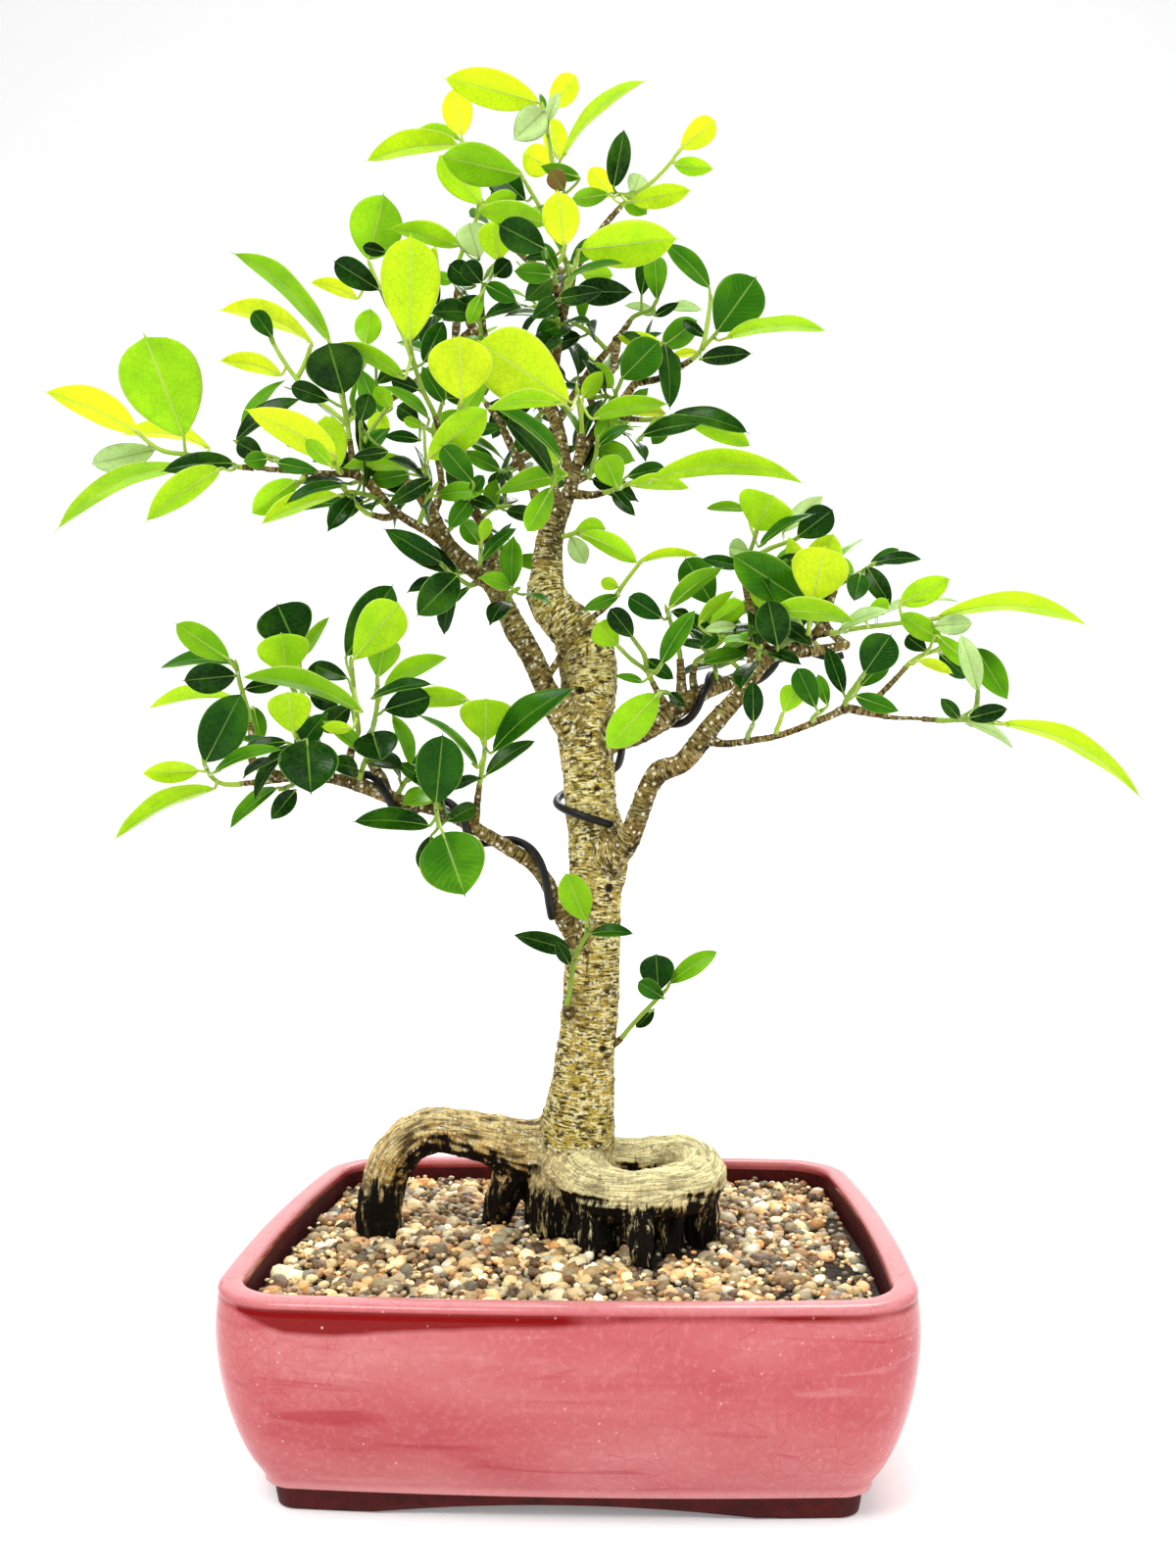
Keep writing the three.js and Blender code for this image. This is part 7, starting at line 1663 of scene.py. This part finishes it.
def leaf_material():
    g = Graph("ficus_leaf")
    at = g.coord()
    tone, stalk, along = g.value("tone"), g.value("stalk"), g.value("along")
    wide = g.math("ABSOLUTE", g.value("across"))
    cloud = g.noise(at, 70, 3, 0.5)
    shade = g.plus(g.math("DIVIDE", tone, 5.0), g.range(cloud, 0.3, 0.7, -0.03, 0.03))
    shade = g.plus(shade, g.times(g.range(along, 0.45, 0.0, 0.0, 0.035), g.range(shade, 0.15, 0.3)))
    shade = g.plus(shade, g.range(wide, 0.0, 0.9, 0.014, -0.014))
    # Yellow and lime over green to dark, also painted backlight and shade, then pale young leaves and
    # painted glare, and one brown
    blade = g.ramp(shade, (0.0, (0.90, 0.98, 0.030)), (0.10, (0.76, 0.95, 0.018)),
                   (0.165, (0.58, 0.88, 0.014)), (0.225, (0.38, 0.74, 0.010)), (0.32, (0.15, 0.43, 0.005)),
                   (0.40, (0.030, 0.160, 0.002)), (0.50, (0.006, 0.060, 0.001)),
                   (0.62, (0.002, 0.020, 0.001)), (0.70, (0.002, 0.020, 0.001)),
                   (0.80, (0.54, 0.76, 0.28)), (0.97, (0.20, 0.10, 0.03)))
    # Veins slant from the rib to the margin
    slant = g.math("SUBTRACT", g.times(along, 13.0), g.times(wide, 3.4))
    vein = g.range(g.off_middle(g.math("FRACT", slant)), 0.09, 0.0)
    vein = g.times(vein, g.range(wide, 0.96, 0.6))
    rib, margin = g.range(wide, 0.05, 0.02), g.range(wide, 0.93, 0.985)
    pale = g.mix(g.range(shade, 0.12, 0.5), (0.80, 0.93, 0.20), (0.16, 0.34, 0.04))
    stem = g.ramp(shade, (0.0, (0.62, 0.72, 0.10)), (0.3, (0.40, 0.56, 0.075)), (0.6, (0.20, 0.33, 0.045)))
    dots = g.range(g.cells(at, 1300), 0.10, 0.04, 0, 0.14)
    colour = g.layers(
        blade,
        (g.range(g.cells(at, 420, "DISTANCE_TO_EDGE"), 0.10, 0.0, 0.0, 0.16), (0.06, 0.20, 0.004)),
        (g.range(g.noise(at, 38, 4, 0.6), 0.50, 0.72, 0.0, 0.30), (0.10, 0.33, 0.006)),
        (g.times(vein, g.range(shade, 0.3, 0.5, 0.22, 0.09)), pale),
        (g.times(margin, 0.75), pale),
        (g.times(rib, 0.6), pale),
        (g.range(stalk, 0.4, 0.6), stem),
        (g.times(dots, g.range(stalk, 0.5, 0.4)), (0.85, 0.95, 0.5)),
    )
    g.set(Base_Color=colour, Specular_IOR_Level=0.09,
          Roughness=g.plus(g.range(shade, 0.1, 0.6, 0.34, 0.16), g.range(cloud, 0.3, 0.7, 0, 0.08)))
    grooves = g.plus(g.times(vein, 0.35), g.times(rib, 0.5))
    g.bump(g.math("SUBTRACT", g.times(g.noise(at, 260, 3, 0.5), 0.5), grooves), 0.35, 0.0008)
    # Light comes through the blades, most through the lime ones
    clear = g.node("BsdfTranslucent")
    g.put(clear.inputs["Color"], colour)
    both = g.node("MixShader")
    through = g.times(g.range(shade, 0.05, 0.5, 0.42, 0.10), g.range(stalk, 0.6, 0.4, 0.3, 1.0))
    for socket, value in zip(both.inputs, (through, g.shader.outputs[0], clear.outputs[0])):
        g.put(socket, value)
    g.put(g.out.inputs["Surface"], both.outputs[0])
    return g.material


def plastic_material():
    g = Graph("black_mesh_plastic")
    at = g.coord()
    black = g.ramp(g.noise(at, 260, 3), (0.3, (0.012, 0.012, 0.012)), (0.7, (0.03, 0.03, 0.03)))
    g.set(Base_Color=black, Roughness=0.55)
    g.bump(g.noise(at, 900, 2), 0.3, 0.0004)
    return g.material


def dress_solid(name, material):
    """Gives a solid of the frame that stays in view its material."""
    nodes[name].data.materials.clear()
    nodes[name].data.materials.append(material)


# The object
bark, leaf, soil = bark_material(), leaf_material(), bed_material()
build_pot(glaze_material())
tree, guides = build_wood(bark)
tree_surface = BVHTree.FromObject(tree, bpy.context.evaluated_depsgraph_get())
build_gravel(stone_material(), soil, tree_surface)
build_wires(wire_material())
build_twigs(build_shoots(leaf), bark, guides)
dress_solid("soil", soil)
mesh_plastic = plastic_material()
dress_solid("drain_mesh_left", mesh_plastic)
dress_solid("drain_mesh_right", mesh_plastic)

# Floor, lights and camera, in metres
FLOOR_HALF_WIDE, FLOOR_FRONT, FLOOR_BACK = 3.2, -2.6, 1.5
COVE_R, COVE_STEPS, WALL_TOP = 0.9, 16, 3.4
LIGHTS = [  # name, place, target, size, power
    ("key", (-0.7, -1.2, 1.9), (0, 0, 0.25), 0.9, 34),
    ("fill", (1.6, -0.9, 1.0), (0, 0, 0.3), 1.4, 12),
    ("back", (0.3, 1.5, 1.9), (0, 0, 0.35), 1.3, 36),
]
WORLD_STRENGTH = 0.55
CAMERA_AT = (28.4, -529.0, 234.3)  # millimetres, as the shapes
CAMERA_YAW, CAMERA_PITCH, CAMERA_ROLL = (math.radians(degrees) for degrees in (-2.4, 3.3, -0.3))
LENS, SENSOR = 28.08, 36


def build_floor():
    """A floor that curves up into a wall behind the object."""
    profile = [(FLOOR_FRONT, 0.0), (FLOOR_BACK, 0.0)]
    for k in range(1, COVE_STEPS + 1):
        a = math.radians(k * 90 / COVE_STEPS)
        profile.append((FLOOR_BACK + COVE_R * math.sin(a), COVE_R - COVE_R * math.cos(a)))
    profile.append((FLOOR_BACK + COVE_R, WALL_TOP))
    co = [(x, y, z) for y, z in profile for x in (-FLOOR_HALF_WIDE, FLOOR_HALF_WIDE)]
    faces = [(2 * i, 2 * i + 1, 2 * i + 3, 2 * i + 2) for i in range(len(profile) - 1)]
    mesh = bpy.data.meshes.new("floor")
    mesh.from_pydata(co, [], faces)
    smooth_faces(mesh)
    floor = link(bpy.data.objects.new("floor", mesh))
    g = Graph("pale_floor")
    g.set(Base_Color=(0.93, 0.93, 0.93, 1.0), Roughness=0.9, Emission_Color=(1.0, 1.0, 1.0, 1.0),
          Emission_Strength=0.19)
    mesh.materials.append(g.material)


def build_light(name, place, target, size, power):
    light = bpy.data.lights.new(name, "AREA")
    light.shape, light.size, light.energy = "DISK", size, power
    lamp = link(bpy.data.objects.new(name, light))
    lamp.location = place
    lamp.rotation_euler = (Vector(target) - Vector(place)).to_track_quat("-Z", "Y").to_euler()


def build_world():
    world = bpy.data.worlds.new("studio")
    world.use_nodes = True
    sky = world.node_tree.nodes["Background"].inputs
    sky["Color"].default_value = (1, 1, 1, 1)
    sky["Strength"].default_value = WORLD_STRENGTH
    bpy.context.scene.world = world


def build_camera():
    level = math.cos(CAMERA_PITCH)
    ahead = Vector((math.sin(CAMERA_YAW) * level, math.cos(CAMERA_YAW) * level, math.sin(CAMERA_PITCH)))
    right = Vector((math.cos(CAMERA_YAW), -math.sin(CAMERA_YAW), 0))
    across = right * math.cos(CAMERA_ROLL) + right.cross(ahead) * math.sin(CAMERA_ROLL)
    turn = Matrix((across, across.cross(ahead), -ahead)).transposed()
    data = bpy.data.cameras.new("camera")
    data.lens, data.sensor_width, data.clip_start, data.clip_end = LENS, SENSOR, 0.01, 50
    camera = link(bpy.data.objects.new("camera", data))
    camera.matrix_world = Matrix.Translation(Vector(V(*CAMERA_AT) / 1000 + SHIFT)) @ turn.to_4x4()
    bpy.context.scene.camera = camera


build_floor()
for light_row in LIGHTS:
    build_light(*light_row)
build_world()
bpy.context.scene.view_settings.view_transform = "Standard"  # the default one pales leaves and glaze
build_camera()
